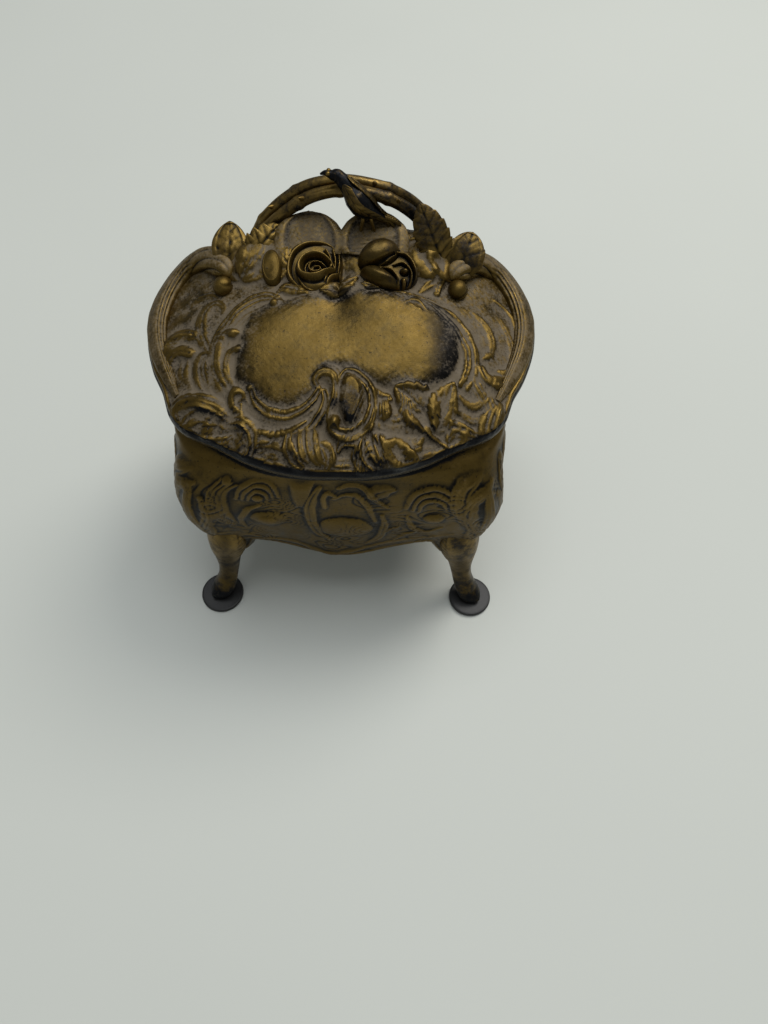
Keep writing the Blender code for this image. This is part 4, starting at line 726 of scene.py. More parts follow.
@dataclass
class Skin:
    """Grids of points joined into one mesh.

    Args:
        name: The piece's name.
        points: All points so far, in millimetres.
        faces: All faces so far, a triangle with its last corner twice.
        patinas: How hollow, dusty and blackened each point is; the hollow and blackened layers also
            carry painted shade and shadow.
        count: How many points there are.
    """

    name: str
    points: list = field(default_factory=list)
    faces: list = field(default_factory=list)
    patinas: list = field(default_factory=list)
    count: int = 0

    def grid(
        self,
        points: Array,
        hollow: Array | float | None = None,
        scale: float = 0.35,
        dust: Array | float = 0.0,
        blackening_and_shade: Array | float = 0.0,
        poles: bool = True,
        loop: bool = False,
    ) -> None:
        """Add closed rings, whose faces look along their normals.

        Args:
            points: Rings by columns by 3, in millimetres.
            hollow: Depth in hollows of each point, or None to work it out; it darkens grooves as
                patina and as painted shade.
            scale: Length against which hollows are measured.
            dust: How dusty each point is.
            blackening_and_shade: How far each point is blackened: a dark tone, and painted shade
                and shadow where it is laid on faces turned from the light.
            poles: Whether the first and the last ring close in a pole.
            loop: Whether the last ring joins the first.
        """
        rings, columns = points.shape[:2]
        if hollow is None:
            hollow = hollow_of(points, scale)
        patina = np.zeros((rings, columns, 3))
        for axis, layer in enumerate((hollow, dust, blackening_and_shade)):
            patina[..., axis] = layer
        index = np.arange(rings * columns).reshape(rings, columns) + self.count
        after = np.roll(index, -1, axis=1)
        quads = np.stack([index[:-1], after[:-1], after[1:], index[1:]], axis=-1)
        self.faces.append(quads.reshape(-1, 4))
        if loop:
            self.faces.append(np.stack([index[-1], after[-1], after[0], index[0]], axis=-1))
        self.add(points, patina)
        if poles:
            for end in (0, -1):
                self.pole(index[end][:: 1 if end else -1], points[end], patina[end])

    def add(self, points: Array, patina: Array) -> None:
        """Add points and their patina."""
        self.points.append(points.reshape(-1, 3))
        self.patinas.append(patina.reshape(-1, 3))
        self.count += len(self.points[-1])

    def pole(self, ring: Array, points: Array, patina: Array) -> None:
        """Close a ring with a fan about its middle."""
        tip = np.full(len(ring), self.count)
        after = np.roll(ring, -1)
        self.faces.append(np.stack([tip, ring, after, after], axis=-1))
        self.add(points.mean(axis=0), patina.mean(axis=0))

    def build(self, finish: "Finish", body: str, *nodes: str) -> bpy.types.Object:
        """Make the piece, with its patina and painted shade as an attribute.

        Args:
            finish: Its finish.
            body: The body that it rides on.
            nodes: The CAD nodes that it stands for.

        Returns:
            The piece.
        """
        mesh = bpy.data.meshes.new(self.name)
        points = np.vstack(self.points) * MM
        faces = np.vstack(self.faces)
        triangle = faces[:, 2] == faces[:, 3]
        sizes = np.where(triangle, 3, 4)
        starts = np.concatenate([[0], np.cumsum(sizes)[:-1]])
        keep = np.ones(faces.shape, bool)
        keep[triangle, 3] = False
        mesh.vertices.add(len(points))
        mesh.vertices.foreach_set("co", points.astype(np.float32).ravel())
        mesh.loops.add(int(sizes.sum()))
        mesh.loops.foreach_set("vertex_index", faces[keep].astype(np.int32))
        mesh.polygons.add(len(faces))
        mesh.polygons.foreach_set("loop_start", starts.astype(np.int32))
        mesh.polygons.foreach_set("loop_total", sizes.astype(np.int32))
        mesh.update(calc_edges=True)
        mesh.validate()
        mesh.shade_smooth()
        layer = mesh.attributes.new("patina", "FLOAT_VECTOR", "POINT")
        layer.data.foreach_set("vector", np.vstack(self.patinas).astype(np.float32).ravel())
        mesh.materials.append(finish.material())
        item = bpy.data.objects.new(self.name, mesh)
        bpy.context.scene.collection.objects.link(item)
        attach(item, body)
        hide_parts(*nodes)
        LOG.info("%s: %d faces", self.name, len(faces))
        return item


def tube(
    path: Array,
    wide: Array,
    tall: Array,
    across: Array,
    section: Callable | None = None,
    sides: int = 24,
) -> Array:
    """Rings along a path.

    Args:
        path: Points of the centre line, one a row.
        wide: Half width at each point, along across.
        tall: Half height at each point.
        across: Direction of the width at each point, or one for all.
        section: Function of the turn and the share along that gives the
            share of the radius, or None for an oval.
        sides: Points in each ring.

    Returns:
        Rings by sides by 3, with the faces looking outward.
    """
    tangent = unit(np.gradient(path, axis=0))
    across = np.broadcast_to(np.asarray(across, dtype=float), path.shape)
    beside = unit(across - tangent * np.sum(across * tangent, axis=1, keepdims=True))
    upward = np.cross(tangent, beside)
    turn = np.arange(sides) * FULL_TURN / sides
    share = np.linspace(0.0, 1.0, len(path))[:, None]
    radius = section(turn[None, :], share) if section else 1.0
    u = radius * np.cos(turn) * wide[:, None]
    v = radius * np.sin(turn) * tall[:, None]
    return path[:, None, :] + u[..., None] * beside[:, None] + v[..., None] * upward[:, None]


def linear(colour: tuple) -> tuple:
    """Linear light of a display colour given from 0 to 255."""
    return tuple(
        part / 12.92 if part <= 0.04045 else ((part + 0.055) / 1.055) ** 2.4
        for part in (value / 255.0 for value in colour)
    )


Socket = bpy.types.NodeSocket


class Shader:
    """A material being wired: short calls for the nodes that it needs."""

    def __init__(self, name: str) -> None:
        """Start a material of that name with an empty node tree."""
        self.item = bpy.data.materials.new(name)
        self.item.use_nodes = True
        self.tree = self.item.node_tree
        self.tree.nodes.clear()
        self.place = self.node("ShaderNodeTexCoord").outputs["Object"]

    def node(self, kind: str, links: dict | None = None, **values: str) -> bpy.types.Node:
        """Add a node, set its properties and feed its sockets.

        Args:
            kind: The node's type.
            links: Socket name or number to a value or another socket.
            values: Properties of the node.

        Returns:
            The node.
        """
        made = self.tree.nodes.new(kind)
        for key, value in values.items():
            setattr(made, key, value)
        for key, value in (links or {}).items():
            if isinstance(value, Socket):
                self.tree.links.new(value, made.inputs[key])
            else:
                made.inputs[key].default_value = value
        return made

    def patina(self) -> tuple:
        """Sockets of how hollow, dusty and blackened a place is; the first and the last also carry
        painted shade and shadow.
        """
        patina = self.node("ShaderNodeAttribute", attribute_name="patina")
        return self.parts(patina.outputs["Vector"])

    def parts(self, vector: Socket) -> tuple:
        """Sockets of a vector's three parts."""
        return self.node("ShaderNodeSeparateXYZ", {0: vector}).outputs[:3]

    def total(self, start: Socket | float, *parts: tuple) -> Socket:
        """Socket of a start plus values, each times its share."""
        for value, share in parts:
            links = {0: value, 1: share, 2: start}
            start = self.node("ShaderNodeMath", links, operation="MULTIPLY_ADD").outputs[0]
        return start

    def sine(self, value: Socket, rate: float) -> Socket:
        """Socket of the sine of a value times a rate."""
        links = {0: self.total(0.0, (value, rate))}
        return self.node("ShaderNodeMath", links, operation="SINE").outputs[0]

    def mix(self, share: Socket, low: Socket | tuple, high: Socket | tuple) -> Socket:
        """Colour socket between two display colours or colour sockets."""
        low, high = (
            (*linear(part), 1.0) if isinstance(part, tuple) else part for part in (low, high)
        )
        links = {0: share, 6: low, 7: high}
        return self.node("ShaderNodeMix", links, data_type="RGBA").outputs[2]

    def spread(
        self, value: Socket, low: float, high: float, to_low: float = 0.0, to_high: float = 1.0
    ) -> Socket:
        """Socket of a value spread smoothly from one range to another."""
        links = {0: value, 1: low, 2: high, 3: to_low, 4: to_high}
        made = self.node("ShaderNodeMapRange", links, interpolation_type="SMOOTHSTEP")
        return made.outputs[0]

    def noise(
        self, scale: float, detail: float, rough: float, stretch: tuple = (1.0, 1.0, 1.0)
    ) -> Socket:
        """Grey socket of a noise texture over the piece."""
        mapped = self.node("ShaderNodeMapping", {"Vector": self.place, "Scale": stretch})
        links = {
            "Vector": mapped.outputs[0], "Scale": scale, "Detail": detail, "Roughness": rough,
        }
        return self.node("ShaderNodeTexNoise", links).outputs[0]

    def bump(self, height: Socket, strength: float, distance: float, **links: Socket) -> Socket:
        """Normal socket of a bump, over another normal if one is given."""
        links |= {"Height": height, "Strength": strength, "Distance": distance}
        return self.node("ShaderNodeBump", links).outputs[0]

    def finish(self, links: dict) -> bpy.types.Material:
        """Wire a surface to the output and return the material."""
        surface = self.node("ShaderNodeBsdfPrincipled", links)
        self.node("ShaderNodeOutputMaterial", {"Surface": surface.outputs[0]})
        return self.item


@dataclass(frozen=True)
class Finish:
    """A finish of the casket, made once and then shared.

    Args:
        name: The material's name.
        slot: A slot name; not used.
    """

    name: str
    slot: str

    def material(self) -> bpy.types.Material:
        """The finish's material, made at its first use."""
        return bpy.data.materials.get(self.name) or self.wire(Shader(self.name))

    def wire(self, shader: Shader) -> bpy.types.Material:
        """Wire the material."""
        raise NotImplementedError


@dataclass(frozen=True)
class GiltFinish(Finish):
    """Cast metal, gilt and lacquered long ago: rubbed gold on the ridges,
    brown patina between, black in the grooves as patina and painted shade,
    grey dust in the dishes, and blue-black that is partly a dark tone and
    partly painted shade and shadow.

    Colours are as they show on a display.
    """

    rubbed: tuple = (124, 101, 52)
    gold: tuple = (88, 70, 29)
    brown: tuple = (58, 47, 22)
    dark: tuple = (18, 16, 14)
    dust: tuple = (104, 92, 73)
    blackening_and_shade: tuple = (20, 21, 24)

    def wire(self, shader: Shader) -> bpy.types.Material:
        """Wire patina colours, roughness and fine pitting.

        Uneven is a sum of four noises about 0, which moves the borders
        between the colours.
        """
        hollow, dusty, blackening_and_shade_share = shader.patina()
        blotch = shader.noise(55.0, 5.0, 0.6)
        mottle = shader.noise(260.0, 6.0, 0.65)
        speck = shader.noise(1500.0, 3.0, 0.6)
        scuff = shader.noise(620.0, 5.0, 0.7)
        noises = ((blotch, 1.0), (mottle, 0.9), (scuff, 0.5), (speck, 0.26))
        uneven = shader.total(-0.5 * sum(share for _, share in noises), *noises)
        level = shader.total(uneven, (hollow, -1.0))
        colour = shader.mix(shader.spread(level, -0.35, 0.20), self.brown, self.gold)
        colour = shader.mix(shader.spread(level, 0.18, 0.85), colour, self.rubbed)
        # Black in the grooves: patina, and painted shade in the creases.
        grooves = shader.total(hollow, (uneven, -0.35))
        colour = shader.mix(shader.spread(grooves, 0.10, 0.65), colour, self.dark)
        colour = shader.mix(shader.spread(scuff, 0.60, 0.74, 0.0, 0.6), colour, self.brown)
        # Blue-black from the third patina layer: a dark tone on some pieces, and painted shade and
        # shadow where pieces lay it on faces turned forward or down and under the lid's edge.
        patchy_mask = shader.spread(shader.total(blackening_and_shade_share, (uneven, 0.8)), 0.35, 0.75)
        colour = shader.mix(patchy_mask, colour, self.blackening_and_shade)
        spots = shader.spread(shader.noise(950.0, 3.0, 0.6), 0.63, 0.70, 0.0, 0.7)
        colour = shader.mix(spots, colour, self.dark)
        lying = shader.total(-0.455, (dusty, 1.0), (uneven, 0.8), (speck, 0.91))
        dusted = shader.spread(lying, 0.15, 0.85, 0.0, 0.85)
        fine = shader.bump(shader.total(0.0, (scuff, 0.6), (speck, 0.5)), 0.45, 0.00016)
        rough = shader.spread(mottle, 0.2, 0.8, 0.30, 0.56)
        return shader.finish(
            {
                "Base Color": shader.mix(dusted, colour, self.dust),
                "Roughness": shader.total(rough, (dusted, 0.4)),
                "Metallic": shader.total(0.88, (dusted, -0.8)),
                "Normal": shader.bump(mottle, 0.30, 0.00035, Normal=fine),
            }
        )


@dataclass(frozen=True)
class WornMetal(Finish):
    """Plain metal, dulled in patches, with fine marks.

    Args:
        bright: Display colour where it is rubbed.
        dull: Display colour where it is dull.
        patch: Scale, detail and roughness of the patches.
        border: Range of the patches over which dull turns to bright.
        rough: Roughness where it is dull and where it is bright.
        metallic: How metallic it is.
        marks: Scale of the marks, the stretch across them, and their bump.
    """

    bright: tuple
    dull: tuple
    patch: tuple
    border: tuple
    rough: tuple
    metallic: float
    marks: tuple

    def wire(self, shader: Shader) -> bpy.types.Material:
        """Wire dull and bright patches and fine marks."""
        patch = shader.noise(*self.patch)
        scale, stretch, strength = self.marks
        marks = shader.noise(scale, 3.0, 0.6, (stretch, 1.0, 1.0))
        return shader.finish(
            {
                "Base Color": shader.mix(
                    shader.spread(patch, *self.border), self.dull, self.bright
                ),
                "Metallic": self.metallic,
                "Roughness": shader.spread(patch, 0.2, 0.8, *self.rough),
                "Normal": shader.bump(marks, strength, 0.0001),
            }
        )


@dataclass(frozen=True)
class DiscFinish(Finish):
    """Satin black of the discs, worn to silver in places on the edge."""

    black: tuple = (12, 12, 13)
    grey: tuple = (34, 35, 36)
    silver: tuple = (176, 178, 178)

    def wire(self, shader: Shader) -> bpy.types.Material:
        """Wire black paint over silvery metal that shows along the edge."""
        edge = shader.patina()[0]
        scratch = shader.noise(420.0, 7.0, 0.75)
        smear = shader.noise(120.0, 5.0, 0.6)
        colour = shader.mix(shader.spread(smear, 0.4, 0.75), self.black, self.grey)
        bare = shader.spread(shader.total(edge, (scratch, 1.0)), 1.0, 1.22)
        return shader.finish(
            {
                "Base Color": shader.mix(bare, colour, self.silver),
                "Metallic": shader.total(0.0, (bare, 0.9)),
                "Roughness": shader.spread(smear, 0.3, 0.7, 0.34, 0.5),
                "Specular IOR Level": 0.25,
                "Normal": shader.bump(scratch, 0.25, 0.00015),
            }
        )


@dataclass(frozen=True)
class SilkFinish(Finish):
    """Faded old-gold silk satin with a fine ribbed weave."""

    light: tuple = (186, 164, 122)
    deep: tuple = (140, 116, 78)
    threads: float = 15000.0

    def wire(self, shader: Shader) -> bpy.types.Material:
        """Wire a weave of crossed waves, faded patches and sheen."""
        fade = shader.noise(38.0, 4.0, 0.6)
        slub = shader.noise(700.0, 3.0, 0.7)
        waves = [shader.sine(part, self.threads) for part in shader.parts(shader.place)]
        weave = shader.total(0.0, *((wave, 1.0) for wave in waves), (slub, 3.0))
        return shader.finish(
            {
                "Base Color": shader.mix(
                    shader.spread(fade, 0.3, 0.7), self.deep, self.light
                ),
                "Roughness": 0.45,
                "Sheen Weight": 0.35,
                "Anisotropic": 0.4,
                "Normal": shader.bump(weave, 0.2, 0.00006),
            }
        )


GILT = GiltFinish("antique_gilt", "gilt_casting")
BRASS = WornMetal(
    "hinge_brass", "hinge_brass", (112, 90, 52), (56, 45, 29), (240.0, 6.0, 0.65), (0.3, 0.7),
    (0.52, 0.34), 0.9, (900.0, 12.0, 0.25),
)
PLATE = WornMetal(
    "plate_metal", "plate_metal", (112, 96, 66), (58, 50, 38), (70.0, 7.0, 0.65), (0.35, 0.68),
    (0.48, 0.66), 0.85, (1300.0, 1.0, 0.3),
)
DISC = DiscFinish("black_disc", "black_disc")
SILK = SilkFinish("lining_silk", "lining_silk")


@dataclass
class Stage:
    """Pale floor, pale surroundings and soft lamps.

    Args:
        floor_colour: Display colour of the floor.
        floor_reach: Distance of its edges, in metres.
        world_colour: Display colour of the surroundings.
        world_strength: Their strength.
        lamps: Name, place in metres, size, watts and colour of each area
            lamp.
        aim: Place that the lamps look at.
    """

    floor_colour: tuple = (198, 201, 195)
    floor_reach: float = 3.0
    world_colour: tuple = (232, 236, 235)
    world_strength: float = 0.32
    lamps: tuple = (
        ("window", (0.60, 0.55, 1.20), 0.7, 8.7, (255, 251, 244)),
        ("ceiling", (0.10, 0.15, 1.60), 1.2, 13.8, (248, 251, 255)),
    )
    aim: tuple = (0.0, 0.0, 0.07)

    def build(self) -> None:
        """Make the floor, the world and the lamps."""
        scene = bpy.context.scene
        scene.view_settings.view_transform = "Standard"
        world = bpy.data.worlds.new("room")
        world.use_nodes = True
        sky = world.node_tree.nodes["Background"]
        sky.inputs[0].default_value = (*linear(self.world_colour), 1.0)
        sky.inputs[1].default_value = self.world_strength
        scene.world = world
        mesh = bpy.data.meshes.new("floor")
        corners = np.array([(-1, -1, 0), (1, -1, 0), (1, 1, 0), (-1, 1, 0)]) * self.floor_reach
        mesh.from_pydata(corners.tolist(), [], [(0, 1, 2, 3)])
        floor = bpy.data.objects.new("floor", mesh)
        scene.collection.objects.link(floor)
        mesh.materials.append(self.floor_material())
        for name, place, size, watts, colour in self.lamps:
            data = bpy.data.lights.new(name, "AREA")
            data.shape, data.size, data.energy = "DISK", size, watts
            data.color = linear(colour)
            lamp = bpy.data.objects.new(name, data)
            away = unit(np.array(place) - np.array(self.aim))
            lamp.rotation_euler = (math.acos(away[2]), 0.0, math.atan2(away[0], -away[1]))
            lamp.location = place
            scene.collection.objects.link(lamp)

    def floor_material(self) -> bpy.types.Material:
        """Matt paper, a little uneven in tone."""
        shader = Shader("pale_paper")
        tone = shader.noise(3.0, 3.0, 0.5)
        low = tuple(part - 3 for part in self.floor_colour)
        colour = shader.mix(shader.spread(tone, 0.3, 0.7), low, self.floor_colour)
        return shader.finish(
            {"Base Color": colour, "Roughness": 0.75, "Specular IOR Level": 0.25}
        )


@dataclass(frozen=True)
class Sight:
    """A magnified view of the photograph, in which places were read.

    Args:
        left: Pixel of its left edge.
        top: Pixel of its upper edge.
        scale: How many times it is magnified.
    """

    left: float
    top: float
    scale: float = 6.969

    def pixels(self, places: tuple) -> Array:
        """Pixels of the photograph, one a row, under places of the view."""
        corner = np.array([self.left, self.top])
        return corner + np.reshape(places, (-1, 2)) / self.scale


WHOLE = Sight(0.0, 0.0, 1.0)
LID_LEFT = Sight(145.0, 255.0)
LID_RIGHT = Sight(325.0, 255.0)
BODY_LEFT = Sight(160.0, 395.0)
BODY_RIGHT = Sight(325.0, 395.0)
CREST = Sight(205.0, 155.0, 5.502)


def repeated(mark: tuple, step: tuple, times: tuple) -> list:
    """Copies of a mark, its places moved by multiples of a step."""
    form, height, sizes, places, *rest = mark
    step = np.resize(step, len(places))
    return [(form, height, sizes, np.add(places, step * time), *rest) for time in times]


def arches(centre: tuple, rings: tuple, start: float, end: float) -> list:
    """Marks of round arches, one in each ring, between two half turns."""
    sweep = math.pi * np.linspace(start, end, 7)
    ways = np.column_stack([np.cos(sweep), np.sin(sweep)])
    return [
        (ROUND, 1.6, (0.5, width, width, 0.5), (np.array(centre) + radius * ways).ravel())
        for radius, width in rings
    ]


# Each mark is its form, its height, its sizes and its places in the view.
LID_ORNAMENT = (
    # petals and leaves left of the rose
    (CREST,
     (OVAL, 1.5, (6.6, 4.6), (250, 560), 42.0, 3.0),
     (LEAF, 1.6, (4.4, 7, 0.25), (205, 690, 262, 610, 330, 520, 410, 430)),
     (LEAF, 1.3, (3.8, 6, 0.15), (190, 700, 170, 640, 150, 560, 140, 480)),
     (ROUND, 1.3, (0.5, 0.9, 0.8, 0.4), (180, 672, 235, 690, 300, 676, 345, 650)),
     (OVAL, 1.6, (4.0, 5.2), (430, 560), 0.0, 3.0),
     (ROUND, 1.8, (0.4, 0.8, 0.9, 0.4), (376, 560, 392, 530, 430, 520, 470, 540)),
     (ROUND, 1.6, (0.5, 1.0, 0.5), (400, 690, 440, 640, 452, 580)),
     # sprigs under the flowers
     (LEAF, 1.7, (1.9, 3, 0.1), (410, 742, 470, 738, 560, 762)),
     (LEAF, 1.9, (2.0, 4, 0.1), (630, 752, 700, 742, 770, 722, 845, 684)),
     (LEAF, 1.6, (1.6, 3, 0.1), (868, 712, 910, 724, 955, 748)),
     (OVAL, 1.2, (4.6, 6.0), (790, 620), 0.0, 4.0),
     # petals right of the bud and the field below the handle's leaf
     (OVAL, 2.6, (6.2, 4.6), (1085, 440), -25.0, 2.6),
     (ROUND, 3.0, (0.6, 0.9, 0.9, 0.5), (1015, 372, 1085, 366, 1150, 405, 1178, 470)),
     (OVAL, 1.4, (6.0, 8.5), (1240, 600), 12.0, 3.0),
     (LEAF, 1.5, (3.6, 6, 0.2), (1250, 690, 1210, 620, 1190, 540, 1180, 450)),
     (LEAF, 1.6, (3.4, 6, 0.2), (1300, 700, 1296, 620, 1280, 540, 1262, 470)),
     (TWIN, 2.0, (0.6, 1.2, 1.3, 0.8), (1390, 520, 1350, 590, 1306, 660, 1272, 770)),
     *repeated((ROUND, 1.7, (0.3, 0.7, 0.3), (1205, 640, 1240, 600, 1280, 620)),
               (40, 0, 20, 0, 13, 0), (0, 1, 2)),
     (TWIN, 1.6, (0.5, 1.1, 1.1, 0.5), (1180, 760, 1230, 720, 1300, 690, 1360, 700)),
     # edges of the petals that stand behind
     (ROUND, 1.8, (0.6, 1.3, 1.5, 1.3, 0.6),
      (400, 500, 424, 430, 557.5, 392, 691, 430, 715, 500)),
     (ROUND, 1.8, (0.6, 1.3, 1.5, 1.3, 0.6),
      (735, 500, 759, 430, 860, 392, 961, 430, 985, 500))),
    # dishes between the frame and the side scrolls
    (LID_LEFT,
     (VALLEY, 1.1, (2.0, 4.0, 4.6, 4.2, 2.0),
      (340, 350, 250, 440, 205, 580, 225, 760, 300, 900))),
    (LID_RIGHT,
     (VALLEY, 1.4, (2.0, 4.4, 5.0, 4.4, 2.0),
      (1075, 330, 1190, 440, 1250, 590, 1235, 740, 1160, 850))),
    # broad low beds that the ornament is cut into
    (WHOLE,
     (SOFT, 1.5, (3.2, 4.2, 4.0, 3.6, 3.8, 3.8, 3.6, 2.8),
      (192, 425, 222, 440, 262, 454, 310, 464, 365, 465, 420, 456, 470, 442, 500, 430)),
     (SOFT, 1.6, (2.0, 3.4, 3.4, 1.6), (178, 400, 200, 412, 235, 420, 262, 430)),
     (SOFT, 0.9, (1.6, 3.0, 3.4, 3.4, 2.0), (276, 302, 245, 318, 226, 345, 222, 375, 232, 400)),
     (SOFT, 1.0, (2.4, 3.4, 3.4, 3.2, 2.0), (240, 400, 258, 416, 285, 422, 312, 412, 322, 392)),
     (SOFT, 0.9, (1.4, 2.4, 2.6, 2.6, 1.6), (385, 293, 430, 305, 460, 330, 474, 360, 468, 388)),
     (SOFT, 1.4, (3.0, 3.6, 3.0), (478, 385, 488, 402, 490, 420)),
     (SOFT, 1.2, (1.4, 2.2, 1.6), (165, 360, 172, 345, 188, 338)),
     (SOFT, 0.8, (3.0, 3.2, 2.4), (172, 380, 182, 400, 200, 416)),
     (SOFT, 0.6, (1.2, 1.8, 1.8, 1.2), (500, 320, 512, 345, 512, 372, 500, 392))),
    # left dish
    (LID_LEFT,
     *repeated((ROUND, 0.8, (0.5, 0.8, 0.8, 0.5), (222, 735, 208, 810, 218, 890, 262, 985)),
               (42, 0), (0, 1, 2)),
     (LOBE, 2.6, (0.8, 1.8, 2.5, 2.4, 1.7),
      (140, 870, 150, 740, 190, 640, 260, 580, 335, 575), 3),
     (LOBE, 2.3, (0.6, 1.5, 1.8, 1.3), (170, 800, 205, 720, 265, 680, 325, 690), 2),
     (TWIN, 0.9, (0.8, 1.8, 2.0, 1.6, 1.1, 0.6),
      (455, 690, 400, 560, 410, 420, 480, 340, 545, 355, 545, 400)),
     (SOFT, 0.7, (0.6, 1.6, 1.6, 0.5), (310, 380, 370, 315, 470, 290, 520, 330)),
     # acanthus of the left corner
     (LOBE, 2.9, (0.5, 1.9, 2.2, 2.2, 2.4, 1.4),
      (600, 1150, 520, 1075, 420, 1035, 320, 1030, 240, 1065, 250, 1130), 4),
     (TWIN, 2.4, (0.7, 1.6, 1.9, 2.0, 1.3),
      (560, 1150, 450, 1105, 350, 1110, 290, 1160, 300, 1210)),
     (OVAL, 1.9, (4.6, 2.0), (475, 1185), -8.0),
     (ROUND, 2.4, (0.3, 0.6, 0.6, 0.3), (385, 1180, 440, 1150, 520, 1160, 590, 1200)),
     (TWIN, 2.1, (0.8, 1.3, 1.3, 0.7), (330, 1225, 430, 1260, 540, 1265, 620, 1240)),
     (LOBE, 3.0, (1.0, 2.0, 2.4, 2.2, 1.2),
      (600, 1160, 670, 1165, 735, 1225, 745, 1310, 715, 1370), 3),
     (OVAL, 2.2, (2.3, 2.6), (660, 1285)),
     (ROUND, 2.0, (0.5, 1.1, 1.2, 1.1, 0.5),
      (760, 1370, 770, 1310, 840, 1285, 920, 1295, 985, 1345)),
     (ROUND, 1.8, (0.4, 0.9, 1.0, 0.9, 0.4),
      (800, 1385, 820, 1345, 870, 1330, 930, 1345, 965, 1380)),
     (ROUND, 1.5, (0.3, 0.7, 0.7, 0.3), (835, 1400, 870, 1375, 915, 1385, 940, 1405)),
     (ROUND, 1.4, (0.5, 0.9, 0.9, 0.4), (745, 1225, 830, 1262, 920, 1270, 1010, 1235)),
     # flame leaves in the middle of the front
     (LOBE, 3.0, (0.8, 1.8, 2.0, 1.0), (1010, 1225, 1005, 1310, 1040, 1390, 1100, 1440), 2),
     *repeated((ROUND, 2.6, (0.8, 1.4, 1.5, 0.7),
                (1085, 1225, 1095, 1290, 1120, 1370, 1165, 1420)), (1, 0), (0, 55, 105)),
     (LOBE, 2.4, (0.7, 1.7, 1.9, 1.0), (1215, 1300, 1260, 1320, 1290, 1390, 1270, 1450), 2)),
    # right border
    (LID_RIGHT,
     (TWIN, 2.2, (0.8, 1.7, 1.8, 0.9), (95, 1335, 125, 1290, 190, 1280, 250, 1320)),
     (LOBE, 3.2, (1.0, 2.2, 2.5, 1.4), (265, 1250, 240, 1330, 265, 1410, 330, 1465), 3),
     *repeated((ROUND, 2.9, (0.9, 1.5, 1.6, 0.7),
                (290, 1265, 320, 1330, 370, 1395, 440, 1440)), (55, 0), (0, 1, 2)),
     (LEAF, 2.0, (2.6, 4, 0.1), (400, 1290, 470, 1340, 560, 1375, 650, 1385)),
     (ROUND, 1.8, (0.5, 1.2, 0.6), (460, 1440, 540, 1440, 620, 1420)),
     # right dish
     (SOFT, 0.8, (0.5, 1.4, 1.5, 0.7), (1040, 410, 1120, 490, 1170, 600, 1160, 710)),
     (ROUND, 1.0, (0.5, 0.9, 0.5), (1100, 720, 1150, 700, 1170, 720)),
     (ROUND, 1.3, (0.4, 0.6, 0.7, 0.8, 0.8, 0.8, 1.0),
      (1180, 320, 1270, 400, 1325, 510, 1345, 640, 1325, 750, 1265, 825, 1215, 825)),
     (LOBE, 2.1, (1.3, 1.9, 2.0, 0.8), (1085, 800, 1110, 860, 1170, 895, 1250, 870), 2),
     (ROUND, 1.3, (0.6, 1.0, 1.1, 0.5), (940, 985, 990, 1030, 1040, 1040, 1120, 1010)),
     (ROUND, 1.3, (0.6, 1.0, 1.1, 0.5), (918, 1075, 990, 1120, 1040, 1130, 1125, 1100)),
     (ROUND, 1.3, (0.6, 1.0, 1.1, 0.5), (899, 1150, 990, 1195, 1040, 1205, 1140, 1175)),
     (TWIN, 1.9, (0.5, 0.9, 1.1, 0.5), (880, 1150, 930, 1160, 1000, 1205, 1075, 1235)),
     (LOBE, 2.2, (0.8, 1.5, 1.7, 1.5, 0.8),
      (850, 1250, 900, 1200, 960, 1220, 960, 1280, 900, 1310), 3),
     (LOBE, 2.4, (1.3, 1.8, 1.6, 0.7), (1115, 1290, 1095, 1210, 1110, 1130, 1140, 1080), 2),
     (LOBE, 3.0, (1.6, 2.2, 2.0, 0.8), (1180, 1290, 1165, 1200, 1185, 1110, 1215, 1040), 3),
     (LOBE, 2.6, (1.4, 1.8, 1.5, 0.6), (1245, 1280, 1225, 1200, 1235, 1130, 1265, 1090), 2),
     (OVAL, 3.0, (2.2, 2.4), (1225, 1230))),
    # scrolls that frame the cartouche on the left
    (LID_LEFT,
     (TRIPLE, 1.5, (0.8, 1.7, 1.9, 1.8, 1.5, 0.7),
      (955, 350, 915, 305, 850, 296, 760, 320, 650, 400, 560, 500, 500, 600, 458, 700)),
     (OVAL, 2.2, (1.5, 1.7), (905, 348)),
     (ROUND, 1.7, (1.5, 1.5, 1.4, 1.2, 0.6),
      (640, 560, 575, 560, 535, 640, 518, 740, 530, 830, 570, 905)),
     (OVAL, 2.4, (2.0, 1.7), (625, 558)),
     (ROUND, 1.5, (1.5, 1.4, 1.2, 0.6), (655, 665, 605, 690, 580, 770, 590, 850, 625, 915)),
     (OVAL, 2.2, (1.5, 1.7), (655, 660)),
     (CHANNEL, 1.2, (1.0, 2.2, 2.1, 1.6, 0.8, 0.4),
      (470, 720, 415, 715, 390, 790, 405, 880, 450, 970, 530, 1030)),
     (SOFT, 1.0, (0.7, 1.6, 1.5, 1.2, 0.5),
      (470, 720, 470, 800, 490, 890, 540, 980, 580, 1010)),
     # big C-scroll below the cartouche
     (CHANNEL, 1.7, (1.6, 3.0, 3.2, 3.2, 3.0, 2.6, 2.0),
      (665, 1000, 700, 1080, 790, 1150, 930, 1172, 1070, 1150, 1170, 1080, 1220, 1000, 1240, 930)),
     (ROUND, 2.3, (0.5, 0.7, 0.8, 0.8, 0.5),
      (680, 1040, 700, 1130, 780, 1200, 880, 1225, 1000, 1215, 1120, 1160)),
     (TWIN, 2.2, (0.8, 1.3, 1.4, 1.4, 1.2, 0.9),
      (745, 935, 775, 1010, 850, 1085, 960, 1115, 1070, 1092, 1160, 1025, 1215, 945)),
     (ROUND, 2.4, (0.6, 1.2, 1.4, 1.2, 0.9, 0.5),
